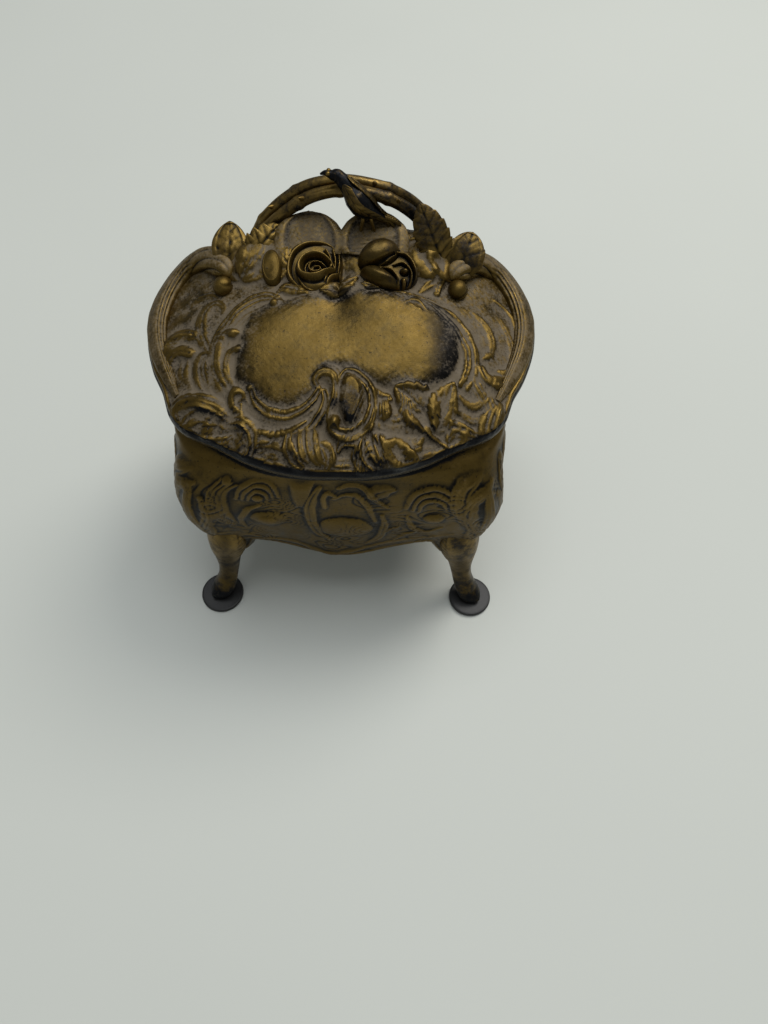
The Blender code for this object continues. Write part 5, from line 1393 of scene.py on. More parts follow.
      (700, 1120, 625, 1070, 600, 1000, 630, 945, 690, 950, 700, 1000, 665, 1030)),
     (OVAL, 2.2, (1.1, 1.3), (735, 935)),
     (ROUND, 3.0, (1.0, 1.9, 2.4, 2.4, 2.2, 1.8, 1.2),
      (1205, 930, 1180, 880, 1210, 830, 1270, 815, 1320, 840, 1345, 910, 1335, 1010,
       1300, 1090, 1290, 1150)),
     (TWIN, 2.2, (1.0, 1.5, 1.4, 0.6),
      (1250, 960, 1262, 1020, 1240, 1100, 1180, 1180, 1130, 1210))),
    # frame on the right
    (LID_RIGHT,
     (TWIN, 1.7, (0.4, 0.7, 0.8, 0.9, 1.0, 1.1, 1.1, 0.6),
      (390, 268, 540, 280, 660, 318, 760, 385, 850, 470, 930, 570, 985, 690, 985, 810, 935, 915)),
     (ROUND, 1.6, (0.5, 0.8, 0.8, 0.8, 0.8, 0.5),
      (745, 355, 850, 400, 950, 490, 1020, 600, 1052, 720, 1045, 850, 990, 940)),
     (CHANNEL, 0.8, (0.6, 1.3, 1.5, 1.4, 0.7),
      (860, 440, 950, 530, 1010, 650, 1025, 760, 1000, 880)),
     *repeated((ROUND, 1.5, (0.5, 0.9, 0.5), (390, 262, 425, 285, 450, 325)),
               (50, 0), (0, 1, 2, 3)),
     (ROUND, 2.0, (0.4, 0.7, 0.7, 0.4), (545, 345, 600, 322, 660, 345, 700, 400)),
     (OVAL, 2.0, (1.5, 1.0), (590, 362), -40.0),
     (OVAL, 1.9, (1.4, 0.9), (650, 398), -50.0),
     (ROUND, 2.0, (0.4, 0.9, 0.4), (780, 372, 840, 400, 880, 440))),
    (LID_LEFT,
     (TWIN, 1.5, (0.8, 1.2, 0.9, 0.4), (940, 262, 990, 235, 1060, 250, 1150, 275)),
     (SOFT, 1.2, (1.2, 1.5, 1.0, 0.4), (940, 330, 1010, 345, 1090, 310, 1160, 290))),
    (LID_RIGHT,
     (TWIN, 1.4, (0.4, 1.1, 1.3, 0.4), (0, 245, 80, 235, 150, 205, 230, 170)),
     (ROUND, 1.3, (0.7, 1.0, 0.4), (268, 205, 320, 215, 385, 255)),
     # oval boss in its hook, and the berry
     (TWIN, 2.8, (0.9, 1.3, 1.4, 1.4, 1.5, 1.6, 1.7, 1.7, 1.5, 1.2),
      (115, 870, 150, 825, 210, 835, 280, 890, 325, 980, 325, 1080, 290, 1170, 205, 1235,
       110, 1240, 50, 1200, 50, 1145)),
     (OVAL, 3.6, (2.0, 2.2), (70, 1165)),
     (OVAL, 4.6, (4.3, 7.4), (188, 1010), 4.0),
     (ROUND, 2.0, (0.6, 1.1, 1.0, 0.5), (250, 850, 320, 920, 390, 970, 450, 985)),
     (ROUND, 1.7, (0.5, 0.8, 0.5), (335, 990, 395, 1030, 460, 1005)),
     (OVAL, 3.0, (2.7, 2.9), (405, 1080)),
     (ROUND, 2.2, (1.0, 1.7, 1.9, 1.7, 1.0), (0, 850, 55, 880, 80, 960, 65, 1060, 20, 1130)),
     # three leaves on a twig
     (LEAF, 2.1, (4.4, 7, 0.22), (745, 1215, 690, 1110, 600, 1010, 478, 922)),
     (LEAF, 2.0, (3.3, 9, 0.18), (765, 1215, 800, 1100, 845, 1000, 898, 890)),
     (LEAF, 2.0, (4.2, 8, 0.22), (690, 1235, 580, 1240, 450, 1225, 312, 1212)),
     (ROUND, 2.3, (0.5, 0.7, 0.7, 0.4), (610, 1140, 690, 1200, 770, 1260, 850, 1305))),
)

BODY_ORNAMENT = (
    # oval in a ring of C-scrolls, in the middle
    (BODY_LEFT,
     (OVAL, 2.4, (9.5, 7.0), (1290, 915)),
     (TWIN, 1.9, (0.8, 1.6, 1.9, 1.6, 0.7),
      (1110, 640, 1055, 720, 1050, 830, 1095, 930, 1180, 1000)),
     (ROUND, 1.8, (0.8, 1.1, 1.0, 0.6), (1150, 780, 1130, 720, 1170, 680, 1220, 700))),
    (BODY_RIGHT,
     (TWIN, 1.7, (0.6, 1.1, 1.3, 1.1, 0.5), (90, 650, 180, 620, 280, 640, 360, 720, 430, 770)),
     (ROUND, 1.6, (0.5, 1.0, 1.2, 1.0, 0.5), (60, 720, 140, 690, 230, 700, 300, 770, 350, 870)),
     (TWIN, 1.5, (0.6, 1.2, 1.2, 0.5), (390, 820, 410, 900, 370, 980, 290, 1030)),
     (LEAF, 1.5, (2.8, 5, 0.1), (300, 700, 370, 660, 430, 640, 490, 640))),
    # fan and rose on the left
    (BODY_LEFT,
     *((ROUND, 1.6, (0.4, 0.9, 1.0),
        (960 + 6 * rib, 760, 925 + 27 * rib, 610 - 14 * abs(rib - 2.5))) for rib in range(6)),
     *arches((700, 700), ((60, 0.8), (100, 0.9), (140, 1.0)), 1.02, 1.98),
     (OVAL, 2.0, (1.6, 1.8), (700, 690)),
     (OVAL, 1.7, (6.0, 4.6), (770, 835)),
     (OVAL, 1.1, (3.4, 2.6), (770, 835), 0.0, 2.0, True),
     (ROUND, 1.7, (0.5, 1.1, 1.1, 0.5), (620, 900, 590, 830, 640, 760, 720, 740)),
     # flutes and hollows further left
     *repeated((ROUND, 1.5, (0.4, 0.9, 1.0, 0.9, 0.4),
                (470, 545, 390, 640, 395, 760, 460, 850, 540, 875)),
               (34, 17, 34, 0, 34, 0, 34, 0, 17, 0), (0, 1, 2, 3)),
     (OVAL, 1.6, (1.8, 2.0), (505, 560)),
     (ROUND, 1.2, (0.4, 0.9, 0.4), (340, 930, 430, 950, 520, 940)),
     (ROUND, 1.2, (0.4, 1.0, 0.4), (540, 985, 620, 960, 700, 985))),
    # C arcs and rosette on the right
    (BODY_RIGHT,
     *arches((730, 800), ((100, 0.9), (140, 1.0), (185, 1.1)), 1.05, 1.9),
     (OVAL, 2.0, (3.4, 3.0), (735, 830)),
     (TWIN, 1.4, (0.5, 1.1, 1.1, 0.5), (560, 820, 600, 900, 690, 930, 790, 900)),
     (ROUND, 1.2, (0.4, 0.9, 0.4), (380, 960, 430, 925, 500, 905)),
     (ROUND, 1.2, (0.4, 0.9, 0.4), (480, 1000, 560, 950, 650, 930)),
     # feather lobes at the right corner
     (LOBE, 1.9, (0.5, 2.8, 2.8, 0.8), (880, 800, 915, 625, 1040, 450), 4),
     (LOBE, 1.9, (0.5, 2.2, 2.2, 0.8), (900, 840, 885, 680, 960, 520), 4),
     (LOBE, 1.9, (0.5, 2.4, 2.4, 0.8), (930, 850, 975, 705, 1110, 560), 4),
     (LOBE, 1.8, (0.6, 1.8, 2.0, 1.0), (910, 850, 960, 730, 1040, 650, 1120, 640), 3)),
    # apron moulding
    (BODY_LEFT,
     (ROUND, 1.2, (0.5, 0.8, 0.9, 0.9, 0.8),
      (560, 1010, 700, 1000, 900, 1010, 1100, 1080, 1280, 1125))),
    (BODY_RIGHT,
     (ROUND, 1.2, (0.8, 0.9, 0.9, 0.8, 0.5),
      (0, 1110, 200, 1080, 500, 1010, 700, 985, 880, 955))),
)


@dataclass
class Lid:
    """Lid casting: dome, cartouche in its frame, and border of leafage.

    Args:
        columns: Points round the rim.
        rows: Points from the crest to the rim.
        front_share: How much closer the columns lie in front than behind.
        panel_sights: Pixels of the cartouche's outline.
        panel_height: Height of the cartouche.
        panel_run: Distance over which its edge rises.
        overhang: How far the front edge stands out over the solid's.
        hollow_shares: Shares of the way out at the rings under the dome.
        shells: Number of half waves of the shells round the rim.
    """

    columns: int = 640
    rows: int = 132
    front_share: float = 0.45
    panel_sights: tuple = (
        340, 293, 290, 299, 258, 309, 243, 330, 236, 358, 238, 385, 256, 402, 275, 411,
        300, 408, 318, 394, 326, 378, 345, 372, 365, 385, 400, 388, 430, 392, 452, 374,
        461, 345, 452, 319, 430, 303, 400, 294,
    )
    panel_height: float = 1.7
    panel_run: float = 7.0
    overhang: float = 1.5
    hollow_shares: tuple = (0.97, 0.85, 0.65, 0.4, 0.15)
    shells: float = 13.0
    boss: tuple = (188, 1010)

    def plan(self, share: Array, angle: Array) -> tuple:
        """Plan places at shares of the way to the rim."""
        return LID.plan(angle, share * radius_at(LID.rim_polar, angle))

    def see(self, sight: "Sight", places: tuple) -> Array:
        """Plan places under places of a view, none behind the crest."""
        return np.minimum(LID.from_photo(sight.pixels(places)), [np.inf, LID.crest_y])

    def rim(self, relief: Relief, share: Array, angle: Array) -> None:
        """Raise a moulding along the rim and shells along the rear edge.

        The moulding is a bell. The shells are arches of a cosine round the
        rim, fluted across.
        """
        inward = (1.0 - share) * radius_at(LID.rim_polar, angle)
        bead = 1.1 * np.exp(-(((inward - 1.3) / 0.8) ** 2))
        rear = smoothstep((np.sin(angle) - 0.25) / 0.4)
        wave = np.abs(np.cos(angle * self.shells)) ** 0.6
        shells = rear * smoothstep((3.5 + 5.0 * wave - inward) / 1.2)
        fluted = 0.7 + 0.3 * np.cos(angle * self.shells * 8.0)
        shells = shells * (0.5 + 0.9 * wave) * fluted * smoothstep(inward / 1.5)
        relief.rise = np.maximum(relief.rise, np.maximum(bead, shells))

    def relief(self, x: Array, y: Array, share: Array, angle: Array) -> tuple:
        """Field of the whole ornament, and the cartouche's share of it."""
        relief = Relief(x, y, 1.42, 0.42, 0.2)
        panel = relief.pillow(
            LID.from_photo(WHOLE.pixels(self.panel_sights)), self.panel_height, self.panel_run
        )
        for sight, *marks in LID_ORNAMENT:
            relief.draw(marks, lambda places, sight=sight: self.see(sight, places))
        uneven = (1.0 - panel) * (0.30 * noise(x * 0.7, y * 0.7, 61) - 0.14)
        mass = 0.62 * relief.rise + 0.50 * ring_blur(relief.rise, 10)
        clear = smoothstep((0.04 - panel) / 0.04)
        mass = mass - 0.36 * clear * swirls(x, y, 81, 1.7) * smoothstep((mass - 0.5) / 0.8)
        relief.rise = (1.0 + uneven) * (panel * relief.rise * 0.9 + (1.0 - panel) * mass)
        self.rim(relief, share, angle)
        uneven = 0.22 * noise(relief.u * 0.9, relief.v * 0.9, 5)
        uneven = uneven + 0.14 * noise(relief.u * 3.1, relief.v * 3.1, 6, 11)
        return relief.rise + uneven * (1.0 - 0.75 * panel), panel

    def painted_shade(self, x: Array, y: Array, panel: Array) -> Array:
        """Painted shade of the cartouche, darker towards its right and upper edge where the panel
        turns from the light.
        """
        border = smoothstep(panel / 0.08) * smoothstep((0.65 - panel) / 0.5)
        painted_shade = 0.72 * smoothstep((x - 22.0) / 13.0)
        painted_shade += border * (0.62 * smoothstep((y - 4.0) / 5.0) + 0.30)
        painted_shade += 0.25 * smoothstep((-x - 20.0) / 12.0) * smoothstep((6.0 - y) / 10.0)
        return painted_shade * smoothstep(panel / 0.1)

    def blackening_and_shade(self, x: Array, y: Array, share: Array, outer: Array) -> Array:
        """Blue-black: painted shade on what faces forward, a darker patch round the boss, and a
        dark line along the front edge.
        """
        front = smoothstep((-y - 16.0) / 14.0)
        under = smoothstep((-grid_normals(outer)[..., 1] - 0.35) / 0.35)
        patch = 0.5 + 0.5 * noise(x * 0.35, y * 0.35, 14)
        boss = self.see(LID_RIGHT, self.boss)[0]
        away = np.hypot(x - boss[0], 0.7 * (y - boss[1]))
        # Painted shade on faces turned forward, most at the front, and a darker patch round the
        # boss.
        blackening_and_shade = (0.9 * front + 0.25) * under * patch + 0.50 * np.exp(-((away / 5.0) ** 4))
        # Dark line along the front edge.
        return blackening_and_shade + 0.9 * smoothstep((share - 0.978) / 0.010) * front

    def underside(self, rim: Array, edge: Array, normal: Array) -> Array:
        """Rings from the rim's lower edge over the seat into the hollow."""
        low_rim = edge - np.array([0.0, 0.0, LID.band])
        seat = self.ring_at(0.3, rim)
        lip = self.ring_at(-BODY.wall - LID.lip_inset, rim)
        rings = [0.5 * (rim + low_rim) + 0.25 * normal, low_rim, seat, lip]
        reach = lip[:, :2] - LID.middle
        for part in self.hollow_shares:
            plan = reach * part + LID.middle
            height = LID.height(plan[:, 0], plan[:, 1]) - LID.wall
            rings.append(np.column_stack([plan, height]))
        return np.array(rings)

    def ring_at(self, outward: float, rim: Array) -> Array:
        """Ring of the seat along the body's outline at its rim."""
        angle = np.arctan2(rim[:, 1] - LID.centre_y, rim[:, 0])
        most = radius_at(LID.rim_polar, angle) - 0.3
        ring = np.minimum(radius_at(rim_table(outward), angle), most)
        return np.column_stack([*LID.plan(angle, ring), np.full(len(ring), LID.seat)])

    def build(self) -> None:
        """Make the lid casting."""
        share = np.linspace(0.0, 1.0, self.rows + 1)[1:, None] ** 0.86
        even = -np.arange(self.columns) * FULL_TURN / self.columns
        angle = np.broadcast_to(
            even - self.front_share * np.cos(even), (self.rows, self.columns)
        )
        x, y = self.plan(share, angle)
        relief, panel = self.relief(x, y, share, angle)
        rise = np.minimum(relief, 3.6) * (0.35 + 0.65 * smoothstep((1.0 - share) * 60.0))
        normal = LID.normal(*self.plan(np.minimum(share, 0.97), angle))
        ahead = smoothstep((share - 0.72) / 0.28) * smoothstep((-y - 14.0) / 20.0)
        base = np.stack([x, y, LID.height(x, y)], axis=-1)
        base = base + (self.overhang * ahead)[..., None] * np.array([0.0, -1.0, -0.45])
        outer = base + rise[..., None] * normal
        hollow = creases(relief, 0.24, 1.6, hollow_of(outer, 0.45))
        # The cartouche's painted shade is added to the hollow layer, which darkens it.
        hollow = np.clip(hollow + self.painted_shade(x, y, panel), -1.0, 1.0)
        low = smoothstep((ring_blur(relief, 18) - relief + 0.30) / 0.6)
        dust = (0.95 - 1.3 * (1.0 - normal[..., 2])) * low * (1.0 - panel)
        dust = dust * smoothstep((0.985 - share) / 0.02)
        under = self.underside(outer[-1], base[-1], normal[-1])
        skin = Skin("lid_casting")
        skin.grid(
            np.concatenate([outer, under]),
            extended(hollow, len(under), 0.25),
            dust=extended(dust, len(under), 0.1),
            blackening_and_shade=extended(self.blackening_and_shade(x, y, share, outer), len(under), 0.2),
        )
        skin.build(GILT, "lid", "lid_shell")


@dataclass
class Body:
    """Body casting: bombe walls in relief over a serpentine apron.

    Args:
        columns: Points round the body.
        rows: Points from the apron to the rim.
        inner_rows: Rings of the inner wall.
        fullness: Greatest swell of the sides over the solid.
        drawn: How far the corners are drawn in above the legs.
        sides: Shares of the girth at the middle of each side, and how much
            the front's ornament is narrowed there.
        corner_lobes: Height, places beside the rib, widths and ribs of the
            acanthus lobes on the corners.
    """

    columns: int = 800
    rows: int = 112
    inner_rows: int = 6
    fullness: float = 4.4
    drawn: float = 3.4
    sides: tuple = ((0.0, 1.0), (0.25, 0.86), (-0.25, 0.86), (0.5, 1.0), (-0.5, 1.0))
    corner_lobes: tuple = (
        (1.7, (0.0, 52.0, 4.0, 60.0, 6.5, 68.0, 4.0, 76.0), (0.8, 2.2, 2.4, 0.8), 3),
        (1.4, (0.0, 46.0, 3.5, 52.0, 4.5, 58.0), (0.6, 1.8, 0.8), 2),
    )

    def see(self, sight: "Sight", middle: float, squeeze: float) -> Callable:
        """Function from places of a view of the front to those of a side."""
        return lambda places: BODY.from_photo(sight.pixels(places)) * [squeeze, 1.0] + [middle, 0.0]

    def fuller(self, angle: Array, height: Array) -> Array:
        """Swell of the two sides and the front corners between apron and rim."""
        reach = BODY.radius(angle, height)
        ahead = smoothstep((34.0 - reach * np.sin(angle)) / 22.0)
        level = smoothstep((height - 40.0) / 30.0) * smoothstep((93.2 - height) / 4.0)
        drawn_in = self.drawn * smoothstep((54.0 - height) / 22.0) * np.sin(2.0 * angle) ** 2
        return self.fullness * np.abs(np.cos(angle)) ** 1.4 * ahead * level - drawn_in

    def corner(self, relief: Relief, middle: float) -> None:
        """Raise generic acanthus over one corner, four lobes about a rib."""
        for side in (-1.0, 1.0):
            for height, places, widths, ribs in self.corner_lobes:
                path = np.reshape(places, (-1, 2)) * [side, 1.0] + [middle, 0.0]
                relief.lobe(path, widths, height, ribs)
        rib = np.array([(middle, 42.0), (middle, 60.0), (middle, 80.0)])
        relief.stroke(rib, (0.8, 2.0, 1.2), 2.0, TRIPLE)

    def relief(self, along: Array, height: Array, low: Array) -> Array:
        """Field of the ornament on all sides, sunk towards rim and edge."""
        relief = Relief(along, height, 1.3, 0.42, 0.5)
        corner = abs(float(BODY.along_at(math.atan2(-44.0, 50.5))))
        for share, squeeze in self.sides:
            for sight, *marks in BODY_ORNAMENT:
                relief.draw(marks, self.see(sight, share * BODY.girth, squeeze))
        for side in (-1.0, 1.0):
            self.corner(relief, side * corner)
            self.corner(relief, side * (0.5 * BODY.girth - corner))
        bead = np.exp(-(((low - 1.6) / 0.9) ** 2))
        field_rise = np.maximum(relief.rise, bead)
        field_rise = field_rise + 0.10 * noise(along * 0.8, height * 0.8, 8)
        field_rise = field_rise + 0.05 * noise(along * 2.7, height * 2.7, 9, 11)
        chased = swirls(along, height, 71, 1.7) * smoothstep((83.0 - height) / 4.0)
        field_rise = field_rise - 0.62 * chased
        plain = smoothstep((88.0 - height) / 5.0)
        fade = np.clip(low / 0.8, 0.0, 1.0) ** 0.5
        return 0.58 * (0.6 * field_rise + 0.55 * ring_blur(field_rise, 10)) * plain * fade

    def inner(self, turn: Array, edge: Array, low_reach: Array) -> Array:
        """Rings down the inner wall, from the rim's lip to the lower edge."""
        top = np.full(edge.shape, BODY.top)
        rings = [on_circle(turn, BODY.radius(turn, top) - 0.4, top)]
        for step in np.linspace(1.0, 0.0, self.inner_rows):
            tall = edge + (BODY.top - edge) * step
            reach = BODY.radius(turn, tall) + np.minimum(self.fuller(turn, tall), 0.0)
            rings.append(on_circle(turn, reach - BODY.wall, tall))
        return np.array([*rings, on_circle(turn, low_reach - 0.5, edge)])

    def build(self) -> None:
        """Make the body casting."""
        along = (np.arange(self.columns) / self.columns - 0.5) * BODY.girth
        turn = BODY.angle_at(along)
        edge = BODY.edge(turn)
        height = edge + (BODY.top - edge) * np.linspace(0.0, 1.0, self.rows)[:, None]
        angle = np.broadcast_to(turn, height.shape)
        rise = self.relief(np.broadcast_to(along, height.shape), height, height - edge)
        reach = BODY.radius(angle, height) + self.fuller(angle, height)
        points = on_circle(angle, reach, height)
        outer = points + rise[..., None] * grid_normals(points)
        outer[-1, :, 2] = BODY.top
        hollow = 0.85 * creases(rise, 0.13, 4.0, hollow_of(outer, 0.35)) - 0.06
        # Darker on raised relief towards the bottom.
        blackening_and_shade = 0.25 * smoothstep((60.0 - height) / 20.0) * smoothstep((rise - 0.8) / 0.6)
        # Painted shadow of the lid's overhang over the top of the body, reaching lower at the front
        # where the overhang is deepest.
        lid_shadow_line = 91.6 - 5.6 * np.clip(-np.sin(angle), 0.0, 1.0) ** 4
        blackening_and_shade = blackening_and_shade + 1.1 * smoothstep((height - lid_shadow_line) / 2.4)
        inner = self.inner(turn, edge, reach[0])
        skin = Skin("body_casting")
        skin.grid(
            np.concatenate([outer, inner]),
            extended(hollow, len(inner), 0.2),
            blackening_and_shade=extended(blackening_and_shade, len(inner), 0.2),
            poles=False,
            loop=True,
        )
        skin.build(GILT, "casket", "body_shell")


def end_steps(count: int) -> Array:
    """Shares from 0 to 1, closer together at both ends."""
    return 0.5 - 0.5 * np.cos(np.linspace(0.0, math.pi, count))


def resampled(knots: Array, count: int, share: Array) -> Array:
    """Points at shares along a smooth curve through knots."""
    even = np.linspace(0.0, 1.0, count)
    line = catmull_rom(knots, count)
    return np.stack([np.interp(share, even, axis) for axis in line.T], axis=1)


def round_sheet(middle: Array, thick: Array, upper: Array) -> Array:
    """Closed rings round a sheet.

    Each row goes out over the upper side and back below it, at half the
    thickness times a half circle that sinks almost to nothing at the edges.

    Args:
        middle: Rows by columns of points half way through the sheet.
        thick: Thickness in each row.
        upper: Relief added to the upper side.

    Returns:
        Rows by twice the columns of points, with the faces looking outward.
    """
    across = 2.0 * end_steps(middle.shape[1]) - 1.0
    swell = np.sqrt(np.clip(1.0 - across**2, 0.0, 1.0)) * 0.96 + 0.04
    normals = grid_normals(middle, False)
    rise = 0.5 * thick * swell
    top = middle + normals * (rise + upper * swell)[..., None]
    under = middle - normals * rise[..., None]
    return np.concatenate([top, under[:, ::-1]], axis=1)


class Outline(Enum):
    """Outline of a blade from its base to its tip."""

    LEAF = "leaf"
    PETAL = "petal"
    FEATHER = "feather"

    def width(self, along: Array) -> Array:
        """Share of the half width at a share of the length.

        LEAF is a full sine, PETAL a broad arch over a straight foot, and
        FEATHER an even strip with a round tip.
        """
        if self is Outline.LEAF:
            return np.sin(math.pi * along**1.05) ** 0.6
        if self is Outline.PETAL:
            over = np.clip(along - 0.34, 0.0, 1.0) / 0.66
            foot = 0.85 + 0.15 * smoothstep(along / 0.2)
            return np.clip(1.0 - over**2.0, 0.0, 1.0) ** 0.5 * foot
        start = np.sqrt(np.clip(along / 0.12, 0.0, 1.0))
        return start * np.sqrt(np.clip(1.0 - along**2.5, 0.0, 1.0))


@dataclass
class Blade:
    """Leaf, petal or feather of cast metal: a bowed sheet about a midrib.

    Its half width follows its outline, with teeth as a saw wave. The sides
    rise over the midrib by the square of the way across, and slanting veins
    and the midrib are cut into the upper side.

    Args:
        knots: Points of the midrib from base to tip.
        facing: Direction that the upper side looks in.
        half_width: Greatest half width.
        thick: Thickness in the middle.
        outline: Kind of outline.
        cup: Rise of the sides as a share of the half width.
        veins: Number of veins, and of teeth, on each side.
        vein_depth: Depth of the veins.
        teeth: Depth of the teeth as a share of the half width.
        ruffle: Height of the waves along the edge.
        pits: Depth of fine pitting on the upper side.
        border: Height of a smooth border raised round the upper side.
        seed: Seed of its unevenness.
    """

    knots: Array
    facing: tuple
    half_width: float
    thick: float
    outline: Outline = Outline.LEAF
    cup: float = 0.0
    veins: int = 0
    vein_depth: float = 0.3
    teeth: float = 0.0
    ruffle: float = 0.0
    pits: float = 0.0
    border: float = 0.0
    seed: int = 1
    rows: int = 96
    columns: int = 45

    def grid(self) -> Array:
        """Closed rings of the blade."""
        share = end_steps(self.rows)
        path = resampled(self.knots, 400, share)
        tangent = unit(np.gradient(path, axis=0))
        facing = np.asarray(self.facing, dtype=float)
        normal = unit(facing - tangent * (tangent @ facing)[:, None])
        beside = np.cross(tangent, normal)
        t = 2.0 * end_steps(self.columns)[None, :] - 1.0
        s = share[:, None]
        saw = np.mod(s * max(self.veins, 1), 1.0)
        half = self.half_width * self.outline.width(s) * (1.0 + self.teeth * (saw - 0.5)) + 0.05
        lift = self.cup * t**2 * half
        lift = lift + self.ruffle * np.abs(t) * np.sin(9.0 * s + 2.0 * np.sign(t) + self.seed)
        middle = path[:, None] + beside[:, None] * (t * half)[..., None]
        middle = middle + normal[:, None] * lift[..., None]
        upper = self.pits * noise(t * half * 2.8, s * 44.0 + 0.0 * t, self.seed, 11)
        if self.veins:
            vein = np.abs(np.sin(math.pi * (s * self.veins - 0.9 * np.abs(t)))) ** 0.5
            midrib = np.exp(-((t / 0.09) ** 2)) * (s < 0.95)
            upper = upper + self.vein_depth * (vein - 1.0 - 0.8 * midrib)
        rim = np.maximum(np.abs(t), np.abs(2.0 * s - 1.0) ** 3)
        upper = upper + self.border * smoothstep((rim - 0.66) / 0.12)
        return round_sheet(middle, self.thick * (0.25 + 0.75 * np.sin(math.pi * s) ** 0.5), upper)


@dataclass
class Mound:
    """Flower cast on the lid: a relief over an oval chart of the dome.

    Args:
        name: The piece's name.
        node: The CAD node that it stands for.
        centre: Plan place of its middle.
        radii: Half sizes of its outline.
        turn_deg: Turn of the outline.
        lift: Height over the dome at which photo places are read.
        rows: Points from its middle to its foot.
        columns: Points round it.
        sink: Depth of its foot in the dome.
    """

    name: str
    node: str
    centre: tuple
    radii: tuple
    turn_deg: float = 0.0
    lift: float = 3.5
    rows: int = 84
    columns: int = 260
    sink: float = 1.0

    def see(self, places: tuple) -> Array:
        """Plan places under places of the crest's view."""
        return LID.from_photo(CREST.pixels(places), self.lift)

    def build(self, raise_forms: Callable, dust: float = 0.0, blackening_and_shade: float = 0.0) -> None:
        """Make the mound.

        Args:
            raise_forms: Function of the relief that raises the petals.
            dust: How dusty it is.
            blackening_and_shade: How far it is blackened all over.
        """
        share = np.linspace(0.0, 1.0, self.rows + 1)[1:, None] ** 0.85
        angle = -np.arange(self.columns)[None, :] * FULL_TURN / self.columns
        turn = math.radians(self.turn_deg)
        along = share * self.radii[0] * np.cos(angle)
        across = share * self.radii[1] * np.sin(angle)
        x = self.centre[0] + along * math.cos(turn) - across * math.sin(turn)
        y = self.centre[1] + along * math.sin(turn) + across * math.cos(turn)
        relief = Relief(x, y)
        raise_forms(relief)
        fall = np.sqrt(np.clip(1.0 - share**10, 0.0, 1.0))
        rise = (ring_blur(relief.rise, 1) + noise(x * 1.6, y * 1.6, 17) * 0.06) * fall
        outer = LID.point(x, y, rise)
        foot = LID.point(x[-1], y[-1], np.full(self.columns, -self.sink))
        deep = ring_blur(rise, 8) - rise
        hollow = np.clip(deep / 0.5 + hollow_of(outer, 0.6) * 0.5, -1.0, 1.0)
        low = smoothstep((deep + 0.1) / 0.5) * dust
        skin = Skin(self.name)
        skin.grid(
            np.concatenate([outer, foot[None]]),
            extended(hollow, 1, 0.6),
            dust=extended(low, 1, 0.0),
            blackening_and_shade=blackening_and_shade,
        )
        skin.build(GILT, "lid", self.node)


